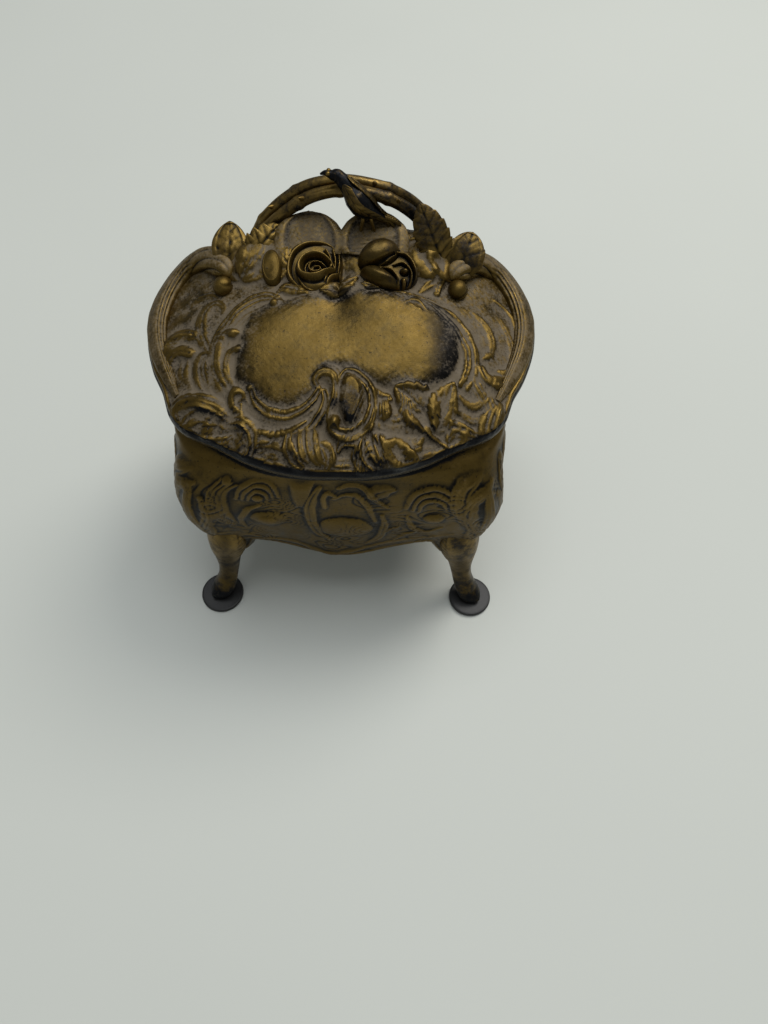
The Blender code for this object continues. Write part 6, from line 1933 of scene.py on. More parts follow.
@dataclass
class RoseSpray:
    """Open rose, half-open bud and the petals round them.

    Args:
        rose_folds: Marks of the folds of the open rose.
        bud_folds: Marks of the bud's heart and of the petals over it.
    """

    rose_centre: tuple = (-8.0, 15.5)
    rose_radius: float = 9.3
    rose_folds: tuple = (
        (ROUND, 3.9, (0.7, 0.9, 1.2, 1.3, 1.2, 1.1, 0.8),
         (715, 492, 650, 466, 560, 470, 492, 512, 468, 590, 480, 660, 530, 710, 600, 728)),
        (ROUND, 3.3, (0.5, 1.0, 1.2, 1.2, 1.2, 1.1, 0.7),
         (500, 690, 560, 728, 640, 728, 706, 690, 742, 620, 750, 550, 722, 498)),
        (ROUND, 2.7, (0.3, 0.5, 0.5, 0.3), (510, 640, 545, 690, 600, 706, 660, 690)),
        (ROUND, 4.3, (0.8, 1.1, 1.0, 0.5), (742, 520, 744, 590, 712, 650, 668, 690)),
        (ROUND, 4.7, (0.9, 1.1, 0.9, 0.4), (705, 500, 716, 560, 698, 620, 660, 668)),
        (ROUND, 5.0, (0.9, 1.0, 0.9, 0.4), (662, 508, 682, 550, 678, 600, 650, 650)),
    )
    bud_centre: tuple = (15.0, 15.5)
    bud_radii: tuple = (9.6, 8.2)
    bud_folds: tuple = (
        (ROUND, 4.4, (0.6, 0.9, 1.0, 1.0, 1.0, 0.6),
         (1045, 505, 1105, 520, 1148, 585, 1156, 670, 1120, 742, 1072, 742)),
        (ROUND, 4.0, (0.4, 0.6, 0.6, 0.6, 0.4),
         (1035, 570, 1085, 560, 1126, 610, 1126, 680, 1096, 730)),
        (OVAL, 4.3, (1.5, 1.2), (1092, 608), 20.0),
        (OVAL, 3.5, (1.0, 1.8), (1088, 668), 10.0),
        (OVAL, 5.5, (7.4, 4.3), (962, 662), -40.0, 2.4),
        (ROUND, 5.0, (0.4, 0.6, 0.7, 0.5), (965, 592, 1018, 604, 1052, 660, 1072, 742)),
        (OVAL, 6.4, (6.9, 4.5), (950, 508), 15.0, 2.4),
        (VALLEY, 1.6, (0.4, 0.7, 0.7, 0.4), (830, 596, 900, 590, 965, 566, 1040, 520)),
    )
    petal_y: float = 27.4
    petals: tuple = (("left", -9.8, 0.94, 4), ("right", 10.4, 1.06, 9))
    petal_knots: tuple = (
        (0.94, -9.0, -0.6, 0.0), (0.97, -5.6, 1.0, 0.0), (1.0, -2.4, 0.0, 2.7),
        (1.0, 0.4, 0.0, 4.3), (1.0, 2.2, 0.0, 5.3), (1.0, 3.6, 0.0, 5.4),
    )
    petal_facing: tuple = (0.0, -0.6, 1.0)

    def rose(self) -> None:
        """Open rose: an outer wall, folds, a rolled ring and a hollow heart."""
        radii = (self.rose_radius, self.rose_radius)
        mound = Mound("rose_open", "rose_bloom", self.rose_centre, radii)

        def forms(relief: Relief) -> None:
            """Raise the rose's petals."""
            centre = mound.see((603, 600))[0]
            relief.oval(self.rose_centre, (self.rose_radius * 1.02,) * 2, 2.1, power=5.0)
            relief.draw(self.rose_folds, mound.see)
            sweep = np.linspace(0.0, FULL_TURN, 17)
            ring = centre + 4.2 * np.column_stack([np.cos(sweep), np.sin(sweep)])
            relief.stroke(ring, (1.45, 1.6, 1.45), 5.2)
            away = np.hypot(relief.u - centre[0], relief.v - centre[1])
            relief.rise = np.where(away < 2.75, np.minimum(relief.rise, 1.4), relief.rise)
            relief.stroke(curl(centre + (2.3, 0.9), centre, 1.3), (0.5, 0.55, 0.5, 0.4), 3.3)

        mound.build(forms, 0.25, 0.30)

    def bud(self) -> None:
        """Bud: two smooth petals over a slit, and a folded heart beside."""
        turn = -12.0
        mound = Mound(
            "rose_bud_half_open", "rose_bud", self.bud_centre, self.bud_radii, turn, 4.0
        )

        def forms(relief: Relief) -> None:
            """Raise the bud's petals."""
            radii = tuple(radius * 1.02 for radius in self.bud_radii)
            relief.oval(self.bud_centre, radii, 1.9, turn, 5.0)
            relief.draw(self.bud_folds, mound.see)

        mound.build(forms, 0.12, 0.50)

    def side(self) -> None:
        """Smooth petal beside the rose, with a low rim."""
        turn, centre = 8.0, (-20.9, 14.9)
        mound = Mound(
            "petal_beside_rose", "petal_side", centre, (3.4, 5.9), turn, rows=56, columns=150
        )

        def forms(relief: Relief) -> None:
            """Raise the petal and sink its middle."""
            relief.oval(centre, (3.5, 6.0), 3.0, turn, 2.6)
            relief.oval(centre, (2.3, 4.6), -0.5, turn, 2.0, True)

        mound.build(forms, 0.1)

    def rear(self) -> None:
        """Two broad petals behind the roses, with rolled upper edges."""
        for name, x, tall, seed in self.petals:
            low = LID.at(x, self.petal_y - 6.0)[2]
            share, back, fixed, rise = np.array(self.petal_knots).T
            knots = np.column_stack([x * share, self.petal_y + back, low + fixed + rise * tall])
            facing, petal = self.petal_facing, Outline.PETAL
            blade = Blade(
                knots, facing, 11.0, 2.0, petal, 0.05, ruffle=0.16, pits=0.14, border=0.75,
                seed=seed,
            )
            base = Blade(knots + np.array([0.0, -0.2, -1.4]), facing, 8.2, 2.6, petal)
            skin = Skin("petal_behind_" + name)
            skin.grid(blade.grid(), scale=0.6, dust=0.45, blackening_and_shade=0.3)
            skin.grid(base.grid(), scale=0.5, dust=0.3, blackening_and_shade=0.3)
            skin.build(GILT, "lid", "petal_rear_" + name)

    def build(self) -> None:
        """Make the whole spray."""
        self.rose()
        self.bud()
        self.side()
        self.rear()


@dataclass
class CrestLeaves:
    """Four leaves at the two ends of the spray.

    Args:
        leaves: For each leaf its base and tip in shares of the handle's half
        span across and of the spray's depth forward, the tip's lift over
        the dome, its width, how far it is blackened and its looks.
        half_span: Half span of the handle.
        back_y: Place from which the shares forward are counted.
        depth: Depth of the spray.
        lift: Height to which a tip's lift is a share.
        half_width: Half width to which a leaf's width is a share.
        bow: Rise of the midrib's middle.
        facing: Direction that the leaves look in.
    """

    leaves: tuple = (
        ("left_outer", (-1.19, 0.95), (-1.206, 0.139), 0.88, 1.04, 0.38,
         {"border": 0.35, "pits": 0.12, "veins": 5, "vein_depth": 0.12, "cup": -0.05}),
        ("left_inner", (-1.06, 0.80), (-0.66, 0.29), 0.42, 0.92, 0.22,
         {"veins": 6, "vein_depth": 0.28, "teeth": 0.22, "cup": -0.14, "pits": 0.08}),
        ("handle", (1.14, 0.80), (0.83, 0.303), 1.38, 0.98, 0.40,
         {"veins": 7, "vein_depth": 0.22, "teeth": 0.12, "cup": -0.12, "pits": 0.07}),
        ("right_outer", (1.25, 0.92), (1.42, 0.303), 1.0, 1.10, 0.50,
         {"veins": 4, "vein_depth": 0.14, "teeth": 0.06, "cup": 0.10, "border": 0.15,
          "pits": 0.08}),
    )
    half_span: float = 29.0
    back_y: float = 32.0
    depth: float = 16.5
    lift: float = 10.0
    half_width: float = 5.586
    bow: float = 1.9
    facing: tuple = (0.0, -0.75, 0.66)

    def build(self) -> None:
        """Make the leaves."""
        along = np.linspace(0.0, 1.0, 9)
        for seed, (name, base, tip, lift, wide, blackening_and_shade, looks) in enumerate(self.leaves, 3):
            start, end = (
                LID.at(share[0] * self.half_span, self.back_y - share[1] * self.depth)
                for share in (base, tip)
            )
            start[2] -= self.bow
            end[2] += lift * self.lift
            knots = start + np.outer(along, end - start)
            knots += np.outer(self.bow * np.sin(math.pi * along), self.facing)
            blade = Blade(knots, self.facing, wide * self.half_width, 1.5, seed=seed, **looks)
            skin = Skin("crest_leaf_" + name)
            skin.grid(blade.grid(), blackening_and_shade=blackening_and_shade)
            skin.build(GILT, "lid", "leaf_" + name)


@dataclass
class Bird:
    """Small bird that lies over the handle's crown, its tail to the right.

    Args:
        beak: Point of the beak.
        length: Length to which the path's shares are.
        girth: Greatest radius.
        path_shares: Places along the body, as shares rightward, forward and
            down from the beak.
        radius_shares: Share of the girth at equal steps along the body.
        flat_shares: Share of the height to the width there.
        feathers: Shares along, turns round, half width, lift and thickness
            of the wings' feathers.
        tail: Reach, drop and half width of the tail's feathers.
    """

    beak: tuple = (-5.6, 30.5, 140.2)
    length: float = 26.0
    girth: float = 3.7
    path_shares: tuple = (
        (0.0, 0.0, 0.0), (0.06, 0.005, -0.02), (0.13, 0.01, 0.0), (0.2, 0.015, 0.015),
        (0.28, 0.06, 0.07), (0.37, 0.12, 0.17), (0.45, 0.16, 0.26), (0.53, 0.16, 0.34),
        (0.62, 0.14, 0.40), (0.71, 0.13, 0.46), (0.79, 0.13, 0.51),
    )
    radius_shares: tuple = (0.08, 0.3, 0.56, 0.58, 0.66, 0.92, 1.0, 0.84, 0.55, 0.42, 0.3)
    flat_shares: tuple = (1.0, 1.0, 1.0, 1.0, 1.0, 1.0, 0.95, 0.9, 0.75, 0.55, 0.4)
    feathers: tuple = (
        ((0.38, 0.55, 0.75, 0.98), (62, 48, 40, 36), 1.5, 0.25, 1.0),
        ((0.36, 0.55, 0.75, 0.96), (96, 80, 66, 60), 1.3, 0.2, 0.9),
        ((0.40, 0.6, 0.8, 1.0), (20, 14, 16, 20), 1.4, 0.15, 0.9),
        ((0.38, 0.55, 0.75, 0.95), (168, 172, 176, 180), 1.6, 0.15, 0.9),
    )
    tail: tuple = ((4.4, 2.2, 0.95), (2.6, 3.4, 0.9), (0.8, 4.2, 0.8))
    rings: int = 150
    sides: int = 56

    def line(self) -> tuple:
        """Centre line, half width and half height of the body."""
        share, even = end_steps(self.rings), np.linspace(0.0, 1.0, len(self.radius_shares))
        shares = np.array(self.path_shares) * self.length * np.array([1.0, -1.0, -1.0])
        path = resampled(np.array(self.beak) + shares, 300, share)
        radius = self.girth * np.interp(share, even, self.radius_shares)
        return path, radius, radius * np.interp(share, even, self.flat_shares)

    def on_skin(self, shares: tuple, turn_deg: tuple, lift: float) -> tuple:
        """Points over the body's skin and the directions that they face."""
        path, wide, tall = self.line()
        tangent = unit(np.gradient(path, axis=0))
        beside = unit(np.array([0.0, 1.0, 0.0]) - tangent * tangent[:, 1:2])
        upward = np.cross(tangent, beside)
        index = (np.asarray(shares) * (self.rings - 1)).astype(int)
        turn = np.radians(turn_deg)
        out = np.cos(turn)[:, None] * beside[index] + np.sin(turn)[:, None] * upward[index]
        reach = np.hypot(np.cos(turn) * wide[index], np.sin(turn) * tall[index]) + lift
        return path[index] + out * reach[:, None], out

    def plumage(self, turn: Array, share: Array) -> Array:
        """Share of the radius: a rough head, a thin neck and scales as two
        crossed sines."""
        head = np.exp(-(((share - 0.17) / 0.13) ** 2))
        rough = noise(turn * 5.0 + 0.0 * share, share * 60.0 + 0.0 * turn, 31, 11)
        scales = np.abs(np.sin(5.0 * turn + 16.0 * share) * np.sin(5.0 * turn - 16.0 * share))
        neck = 0.06 * np.exp(-(((share - 0.32) / 0.03) ** 2))
        return 1.0 + 0.07 * head * rough + 0.03 * scales * (share > 0.3) - neck

    def build(self) -> None:
        """Make the bird: body, folded wings, tail feathers, eyes and feet."""
        path, wide, tall = self.line()
        skin = Skin("perched_bird")
        body = tube(path, wide, tall, (0.0, 1.0, 0.0), self.plumage, self.sides)
        skin.grid(body, scale=0.4, blackening_and_shade=0.76)
        feather = Outline.FEATHER
        for shares, turns, half_width, lift, thick in self.feathers:
            knots, out = self.on_skin(shares, turns, lift)
            facing = tuple(out.mean(axis=0))
            blade = Blade(knots, facing, half_width, thick, feather, -0.12, 7, 0.12, 0.05)
            skin.grid(blade.grid(), scale=0.3, blackening_and_shade=0.5)
        for reach, drop, half_width in self.tail:
            start = path[int(0.80 * self.rings)] + np.array([0.4, 0.0, 0.4])
            end = path[-1] + np.array([reach - 0.6, -0.9, -drop + 0.9])
            knots = np.array([start, 0.5 * (start + end) + np.array([0.3, 0.0, 0.4]), end])
            facing = (0.2, -0.5, 1.0)
            blade = Blade(knots, facing, half_width, 1.0, feather, -0.1, 8, 0.12, 0.05)
            skin.grid(blade.grid(), scale=0.3, blackening_and_shade=0.4)
        for turn in (62.0, 150.0):
            centre, out = self.on_skin((0.2,), (turn,), -0.25)
            self.eye(skin, centre[0], out[0])
        for shift in (-1.2, 1.4):
            knee = path[int(0.62 * self.rings)] + np.array([shift, -1.6, -3.0])
            foot = np.array([knee[0] + 0.6 * shift, knee[1] + 0.4, max(knee[2] - 4.0, 123.5)])
            toes = catmull_rom(np.array([knee + np.array([0.0, 0.6, 1.6]), knee, foot]), 24)
            thin = np.full(24, 0.55)
            skin.grid(tube(toes, thin, thin, (1.0, 0.0, 0.0), sides=12), scale=0.3, blackening_and_shade=0.2)
        skin.build(GILT, "lid", "bird")

    def eye(self, skin: "Skin", centre: Array, out: Array) -> None:
        """Add an eye: a small ball half sunk in the head."""
        path = centre + np.outer(np.linspace(-0.3, 0.75, 14), out)
        share = np.clip(np.linspace(-0.35, 1.0, 14), 0.0, 1.0)
        radius = 0.72 * np.sqrt(np.clip(1.0 - share**2, 0.004, 1.0))
        skin.grid(tube(path, radius, radius, (0.3, 1.0, 0.2), sides=20), -0.6)


CORNERS = (
    ("front_left", -1.0, -1.0),
    ("front_right", 1.0, -1.0),
    ("rear_left", -1.0, 1.0),
    ("rear_right", 1.0, 1.0),
)


@dataclass
class Legs:
    """Four cabriole legs that flow out of the body's corners to fluted toes.

    Args:
        stations: Outward distance from the ankle's place, height, half width
            and half depth down the leg.
        floor: Height of the discs' upper face.
        rings: Rings down each leg.
        sides: Points in each ring.
    """

    stations: tuple = (
        (-3.6, 53.0, 4.6, 2.4), (-2.6, 47.5, 7.6, 4.6), (-1.9, 42.0, 8.6, 6.0),
        (-1.5, 36.5, 8.0, 6.6), (-1.1, 31.0, 6.7, 6.2), (-0.5, 26.0, 5.5, 5.3),
        (0.2, 21.0, 4.7, 4.6), (1.1, 16.5, 4.3, 4.2), (2.4, 12.2, 4.2, 4.1),
        (4.2, 8.8, 4.4, 4.0), (6.4, 6.2, 4.7, 3.4), (8.7, 4.8, 4.1, 2.6),
        (10.6, 3.9, 2.7, 1.8), (11.9, 3.3, 1.1, 0.9),
    )
    floor: float = 1.95
    rings: int = 190
    sides: int = 88

    def section(self, turn: Array, share: Array) -> Array:
        """Share of the radius: acanthus at the knee, and flutes at the toe.

        Ribs are cosines of the turn about the outward side. Their depth
        fades from the knee down and grows again to the toe.
        """
        away = np.mod(turn - 0.5 * math.pi + math.pi, FULL_TURN) - math.pi
        front = smoothstep((1.9 - np.abs(away)) / 0.8)
        scallop = 0.40 + 0.05 * np.cos(4.0 * away)
        knee = smoothstep((scallop - share) / 0.05) * front
        ribs = np.abs(np.cos(2.5 * away * (1.0 + 0.9 * (0.42 - share)))) ** 0.6
        notch = np.abs(np.sin(math.pi * (share * 26.0 - 1.2 * np.abs(away)))) ** 0.5
        toe = smoothstep((share - 0.62) / 0.18) * smoothstep((1.75 - np.abs(away)) / 0.5)
        flutes = toe * 0.22 * (np.abs(np.cos(1.9 * away)) ** 0.7 - 0.55)
        edge = 0.035 * np.cos(4.0 * away) * (1.0 - knee)
        return 0.93 + knee * (0.10 * ribs + 0.04 * notch) + flutes + edge

    def build(self) -> None:
        """Make the legs."""
        out, height, wide, deep = catmull_rom(np.array(self.stations), self.rings).T
        for place, side, front in CORNERS:
            diagonal = np.array([side, front, 0.0]) / math.sqrt(2.0)
            path = np.array([side, front, 0.0]) * (*BODY.ankle, 0.0) + out[:, None] * diagonal
            path[:, 2] = height
            across = np.cross(diagonal, np.array([0.0, 0.0, 1.0]))
            points = tube(path, wide, deep, across, self.section, self.sides)
            points[..., 2] = np.maximum(points[..., 2], self.floor)
            chart = (points[..., 2] * 0.9, points[..., 0] * 0.9 + points[..., 1])
            points = points + 0.07 * noise(*chart, 12)[..., None] * grid_normals(points)
            points[..., 2] = np.maximum(points[..., 2], self.floor)
            low = smoothstep((18.0 - points[..., 2]) / 14.0)
            skin = Skin("cabriole_leg_" + place)
            skin.grid(points, scale=0.40, blackening_and_shade=0.52 + 0.15 * low)
            skin.build(GILT, "casket", "leg_" + place)


@dataclass
class FootDiscs:
    """Black discs under the toes, with a rounded and worn edge.

    Args:
        centre: Plan place of the disc at the right and rear.
        profile: Radius and height round half a cut through a disc.
        columns: Points round a disc.
    """

    centre: tuple = (50.0, 44.0)
    profile: tuple = (
        (0.4, 0.0), (7.5, 0.0), (7.9, 0.08), (8.16, 0.28), (8.29, 0.6), (8.3, 1.0),
        (8.26, 1.35), (8.1, 1.62), (7.85, 1.76), (7.5, 1.8), (7.1, 1.78), (0.4, 1.78),
    )
    columns: int = 120

    def build(self) -> None:
        """Make the discs: a profile turned about the upright."""
        fine = catmull_rom(np.array(self.profile), 90)
        radius, height = fine[:, :1], fine[:, 1:]
        angle = np.arange(self.columns) * FULL_TURN / self.columns
        z = np.broadcast_to(height, (len(fine), self.columns))
        edge = smoothstep((radius - 7.2) / 0.7) * smoothstep((z - 0.7) / 0.7)
        way_x, way_y = (np.broadcast_to(3.0 * way(angle), z.shape) for way in (np.cos, np.sin))
        for seed, (place, side, front) in enumerate(CORNERS, 40):
            x = side * self.centre[0] + radius * np.cos(angle)
            y = front * self.centre[1] + radius * np.sin(angle)
            skin = Skin("worn_disc_" + place)
            patchy_mask = edge * (0.55 + 0.45 * noise(way_x, way_y, seed))
            skin.grid(np.stack([x, y, z], axis=-1), patchy_mask)
            skin.build(DISC, "casket", "foot_disc_" + place)


@dataclass
class SilkLining:
    """Padded silk: four gathered walls, a floor pad, a cord and the lid's.

    Args:
        plate_top: Height at which the lining stands.
        drop: Distance from the body's rim to the walls' upper edge.
        slack: Gap behind the padding.
        thick: Thickness of the padding at its edge.
        bulge: What it swells in the middle.
        gap: Gap between two pads.
        corner_deg: Angle of the body's corner from the right.
        pleats: Number of gathers for each degree of turn.
        pad_thick: Thickness of the floor pad at its edge.
        pad_crown: What it rises in the middle.
        cord_radius: Radius of the cord.
        cord_drop: Distance from the body's rim to the cord.
        lid_thick: Thickness of the lid's padding.
        lid_share: Share of the way to the lip at which it ends.
    """

    plate_top: float = 48.5
    drop: float = 4.2
    slack: float = 0.6
    thick: float = 2.2
    bulge: float = 0.8
    gap: float = 0.3
    corner_deg: float = 41.0
    pleats: float = 0.42
    pad_thick: float = 4.0
    pad_crown: float = 1.6
    cord_radius: float = 0.9
    cord_drop: float = 2.4
    lid_thick: float = 1.8
    lid_share: float = 0.884

    def wall(self, name: str, middle: float, half_turn: float, seed: int) -> None:
        """Gathered silk wall between two corners.

        The back follows the casting. The front swells by a sine up the wall,
        less a gather of folded cosines that fade towards the middle height.
        """
        low, high = self.plate_top, BODY.top - self.drop
        turn = np.linspace(-half_turn, half_turn, 300)[:, None]
        level = end_steps(40)[None, :]
        angle = middle + turn + 0.0 * level
        height = low + (high - low) * level + 0.0 * turn
        back = BODY.radius(angle, height) - BODY.wall - self.slack
        side, end = turn / half_turn, np.abs(2.0 * level - 1.0)
        hold = np.clip(1.0 - side**16, 0.0, 1.0) ** 0.5
        swell = self.thick + self.bulge * np.sin(math.pi * level) * (1.0 - side**4)
        degrees = np.degrees(turn)
        drift = 0.25 * noise(degrees * 0.3 + 0.0 * level, level * 2.0 + 0.0 * turn, seed)
        wave = np.abs(np.sin(math.pi * self.pleats * (degrees + drift * 6.0)))
        fold = 0.75 * (1.0 - wave**0.6) * (0.35 + 0.65 * end**1.5)
        rounded = 0.3 + 0.7 * np.clip(1.0 - end**10, 0.0, 1.0) ** 0.5
        front = back - np.maximum((swell - fold) * rounded * (0.35 + 0.65 * hold), 0.35)
        points = on_circle(
            np.concatenate([angle, angle[:, ::-1]], axis=1),
            np.concatenate([back, front[:, ::-1]], axis=1),
            np.concatenate([height, height[:, ::-1]], axis=1),
        )
        self.soft("silk_wall_" + name, points, "casket", "lining_" + name, 0.5)

    def floor(self) -> None:
        """Floor pad: a crowned cushion with a seam round its edge.

        Its height is the thickness plus the crown by one less the square of
        the share to the edge, dimpled at a row of stitches.
        """
        low = self.plate_top
        angle = -np.arange(320)[None, :] * FULL_TURN / 320
        inset = self.slack + self.thick + self.bulge + self.gap + BODY.wall
        edge = BODY.radius(angle, np.full(angle.shape, low)) - inset
        share = np.sin(0.5 * math.pi * np.linspace(0.0, 1.0, 91)[1:, None])
        crown = self.pad_thick + self.pad_crown * (1.0 - share**2)
        crown = crown * np.clip(1.0 - share**14, 0.0, 1.0) ** 0.5
        x, y = share * edge * np.cos(angle), share * edge * np.sin(angle)
        seam = 0.35 * np.exp(-(((share - 0.93) / 0.012) ** 2))
        pucker = 0.12 * np.sin(72.0 * angle) * np.exp(-(((share - 0.90) / 0.05) ** 2))
        soft = 0.12 * noise(x * 0.25, y * 0.25, 61) * (1.0 - share)
        top = np.stack([x, y, low + np.maximum(crown - seam + pucker + soft, 1.2)], axis=-1)
        rim = [(1.0, low + 0.6), (0.97, low)]
        under = [on_circle(angle[0], part * edge[0], np.full(320, z)) for part, z in rim]
        points = np.concatenate([top, under])
        self.soft("silk_floor_pad", points, "casket", "lining_floor", 0.6)

    def cord(self) -> None:
        """Two-ply cord fixed round the top of the walls."""
        count, sides = 1500, 18
        angle = np.arange(count) * FULL_TURN / count
        level = np.full(count, BODY.top - self.cord_drop)
        reach = BODY.radius(angle, level) - BODY.wall - self.slack - self.cord_radius
        turn = -np.arange(1, sides + 1)[None, :] * FULL_TURN / sides
        twist = np.abs(np.cos(turn - 85.0 * angle[:, None]))
        radius = self.cord_radius * (0.70 + 0.30 * twist)
        points = on_circle(
            angle[:, None],
            reach[:, None] + radius * np.cos(turn),
            level[:, None] + radius * np.sin(turn),
        )
        skin = Skin("silk_trim_cord")
        skin.grid(points, 0.0, poles=False, loop=True)
        skin.build(SILK, "casket", "lining_cord")

    def lid(self) -> None:
        """Padded silk inside the lid, gathered towards its middle.

        The far side keeps its distance under the casting, less a gather of
        folded cosines round the middle that fades inward.
        """
        angle = -np.arange(480)[None, :] * FULL_TURN / 480
        share = self.lid_share * np.sin(0.5 * math.pi * np.linspace(0.0, 1.0, 61)[1:, None])
        table = rim_table(-BODY.wall - LID.lip_inset)
        x, y = LID.plan(angle, share * radius_at(table, angle))
        near = LID.height(x, y) - LID.wall - 2.0 * self.gap
        wave = np.abs(np.sin(20.0 * angle + 0.5 * np.sin(3.0 * angle)))
        fold = 0.9 * (1.0 - wave**0.6) * smoothstep(share / 0.5)
        button = np.exp(-((share / 0.06) ** 2))
        rounded = np.clip(1.0 - (share / self.lid_share) ** 16, 0.0, 1.0) ** 0.5
        pad = np.maximum((self.lid_thick - fold - button) * (0.3 + 0.7 * rounded), 0.35)
        upper = np.stack([x, y, near], axis=-1)
        lower = np.stack([x, y, near - pad], axis=-1)[::-1]
        self.soft("silk_lid_lining", np.concatenate([upper, lower]), "lid", "lid_lining", 0.4)

    def soft(self, name: str, points: Array, body: str, node: str, fill: float) -> None:
        skin = Skin(name)
        skin.grid(points, scale=0.6)
        skin.build(SILK, body, node)

    def build(self) -> None:
        """Make all the silk."""
        quarter, corner = 0.5 * math.pi, math.radians(self.corner_deg)
        slack = self.gap / BODY.half_depth
        wide, narrow = quarter - corner - slack, corner - slack
        self.wall("front", -quarter, wide, 70)
        self.wall("rear", quarter, wide, 71)
        self.wall("right", 0.0, narrow, 72)
        self.wall("left", math.pi, narrow, 73)
        self.floor()
        self.cord()
        self.lid()


@dataclass
class SideScrolls:
    """Rolled scrolls along the lid's two sides, each with a ball at its head.

    Args:
        path_shares: Places along the scroll: outward share of the way from
            the inner end to the rim, and share of the way to the front.
        radius_shares: Radius at equal steps along it.
        radius: Greatest radius.
        tall_share: Share of the height to the width.
        inner_x: Place across of the inner end.
        start_y: Place forward from which the shares are counted.
        length: Length forward to which they are.
        lift: Height of the centre line over the dome.
        grooves: Turn from the top, width and depth of each groove.
        head: Share along at which the roll starts.
        ball_radius: Radius of the ball.
        head_flutes: Number of flutes round the head.
    """

    path_shares: tuple = (
        (0.077, 0.389), (0.0, 0.339), (0.042, 0.261), (0.169, 0.187), (0.342, 0.128),
        (0.538, 0.125), (0.711, 0.207), (0.820, 0.331), (0.850, 0.472),
        (0.804, 0.628), (0.700, 0.777), (0.573, 0.909), (0.481, 1.0),
    )
    radius_shares: tuple = (
        0.7, 1.0, 1.12, 1.14, 1.08, 1.05, 1.0, 0.95, 0.88, 0.8, 0.68, 0.5, 0.26,
    )
    radius: float = 4.1
    tall_share: float = 0.80
    inner_x: float = 35.7
    start_y: float = 32.0
    length: float = 54.5
    lift: float = 0.6
    grooves: tuple = (
        (64.0, 6.0, 0.16), (8.0, 24.0, 0.10), (-34.0, 5.0, 0.06), (-52.0, 5.0, 0.08),
        (-72.0, 6.0, 0.06),
    )
    rings: int = 420
    sides: int = 112
    head: float = 0.055
    ball_radius: float = 3.2
    head_flutes: int = 7

    def path(self, side: float) -> Array:
        """Centre line of a scroll, on the dome."""
        out, ahead = np.array(self.path_shares).T
        x = side * (self.inner_x + out * (LID.half_width - self.inner_x))
        y = self.start_y - ahead * self.length
        return catmull_rom(np.column_stack([x, y, LID.height(x, y) + self.lift]), self.rings)

    def section(self, side: float) -> Callable:
        """Section of the roll: bands between grooves, flutes at the head.

        Away is the turn from the top towards the outside. Grooves are bells
        at set turns, which fade in behind the head, where slanting flutes
        are cut instead as the share of a cosine of turn and share.
        """

        def form(turn: Array, share: Array) -> Array:
            """Share of the radius at a turn and a share along."""
            away = -side * (turn - 1.5 * math.pi)
            away = np.mod(away + math.pi, FULL_TURN) - math.pi
            cut = sum(
                deep * np.exp(-(((np.degrees(away) - place) / wide) ** 2))
                for place, wide, deep in self.grooves
            )
            wound = smoothstep((0.36 - share) / 0.12) * smoothstep((share - self.head) / 0.03)
            phase = self.head_flutes * away * 0.5 + 34.0 * share
            flute = 0.13 * (1.0 - np.abs(np.cos(phase)) ** 0.6)
            nicks = 0.012 * np.sin(5.0 * away) * np.sin(90.0 * share)
            tail = smoothstep((share - 0.86) / 0.1)
            ribs = 0.08 * tail * (1.0 - np.abs(np.cos(away * 3.0)))
            return 1.0 - smoothstep((share - 0.24) / 0.10) * (cut + nicks) - wound * flute - ribs

        return form

    def build(self) -> None:
        """Make both scrolls, the ball at each head in the same skin."""
        along = np.linspace(0.0, 1.0, self.rings)
        stations = np.linspace(0.0, 1.0, len(self.radius_shares))
        held = np.clip((along - self.head) / 0.05, 0.0, 1.0)
        radius = self.radius * np.interp(along, stations, self.radius_shares)
        radius = radius * np.sqrt(np.clip(1.0 - (1.0 - held) ** 2, 0.003, 1.0))
        for name, side in (("left", -1.0), ("right", 1.0)):
            path = self.path(side)
            across = np.cross(np.gradient(path, axis=0), LID.normal(path[:, 0], path[:, 1]))
            tall = radius * self.tall_share
            points = tube(path, radius, tall, across, self.section(side), self.sides)
            facing = grid_normals(points)[..., 2]
            dust = 0.45 * smoothstep((facing - 0.3) / 0.5)
            # Painted shade on the faces that turn down.
            blackening_and_shade = 0.30 * smoothstep((0.2 - facing) / 0.5)
            skin = Skin("side_scroll_" + name)
            skin.grid(points, scale=0.50, dust=dust, blackening_and_shade=blackening_and_shade)
            self.ball(skin, path[int(0.02 * self.rings)], side)
            skin.build(GILT, "lid", "scroll_" + name)

    def ball(self, skin: "Skin", centre: Array, side: float) -> None:
        """Add the ball: a globe with a curl cut into its upper side."""
        share = end_steps(72)
        fall = np.linspace(0.0, math.pi, 72)[:, None]
        up = self.ball_radius * (1.0 - 2.0 * share) + 0.3
        path = centre + np.outer(up, (0.0, 0.0, 1.0))
        radius = self.ball_radius * 2.0 * np.sqrt(np.clip(share * (1.0 - share), 0.0001, 1.0))

        def curled(turn: Array, share: Array) -> Array:
            """Share of the radius, less a groove that winds down the globe."""
            groove = np.mod(turn * side - 2.6 * fall, FULL_TURN) - math.pi
            return 1.0 - 0.10 * np.exp(-((groove / 0.5) ** 2)) * np.sin(fall)

        skin.grid(tube(path, radius, radius, (1.0, 0.0, 0.0), curled, 96), scale=0.55)


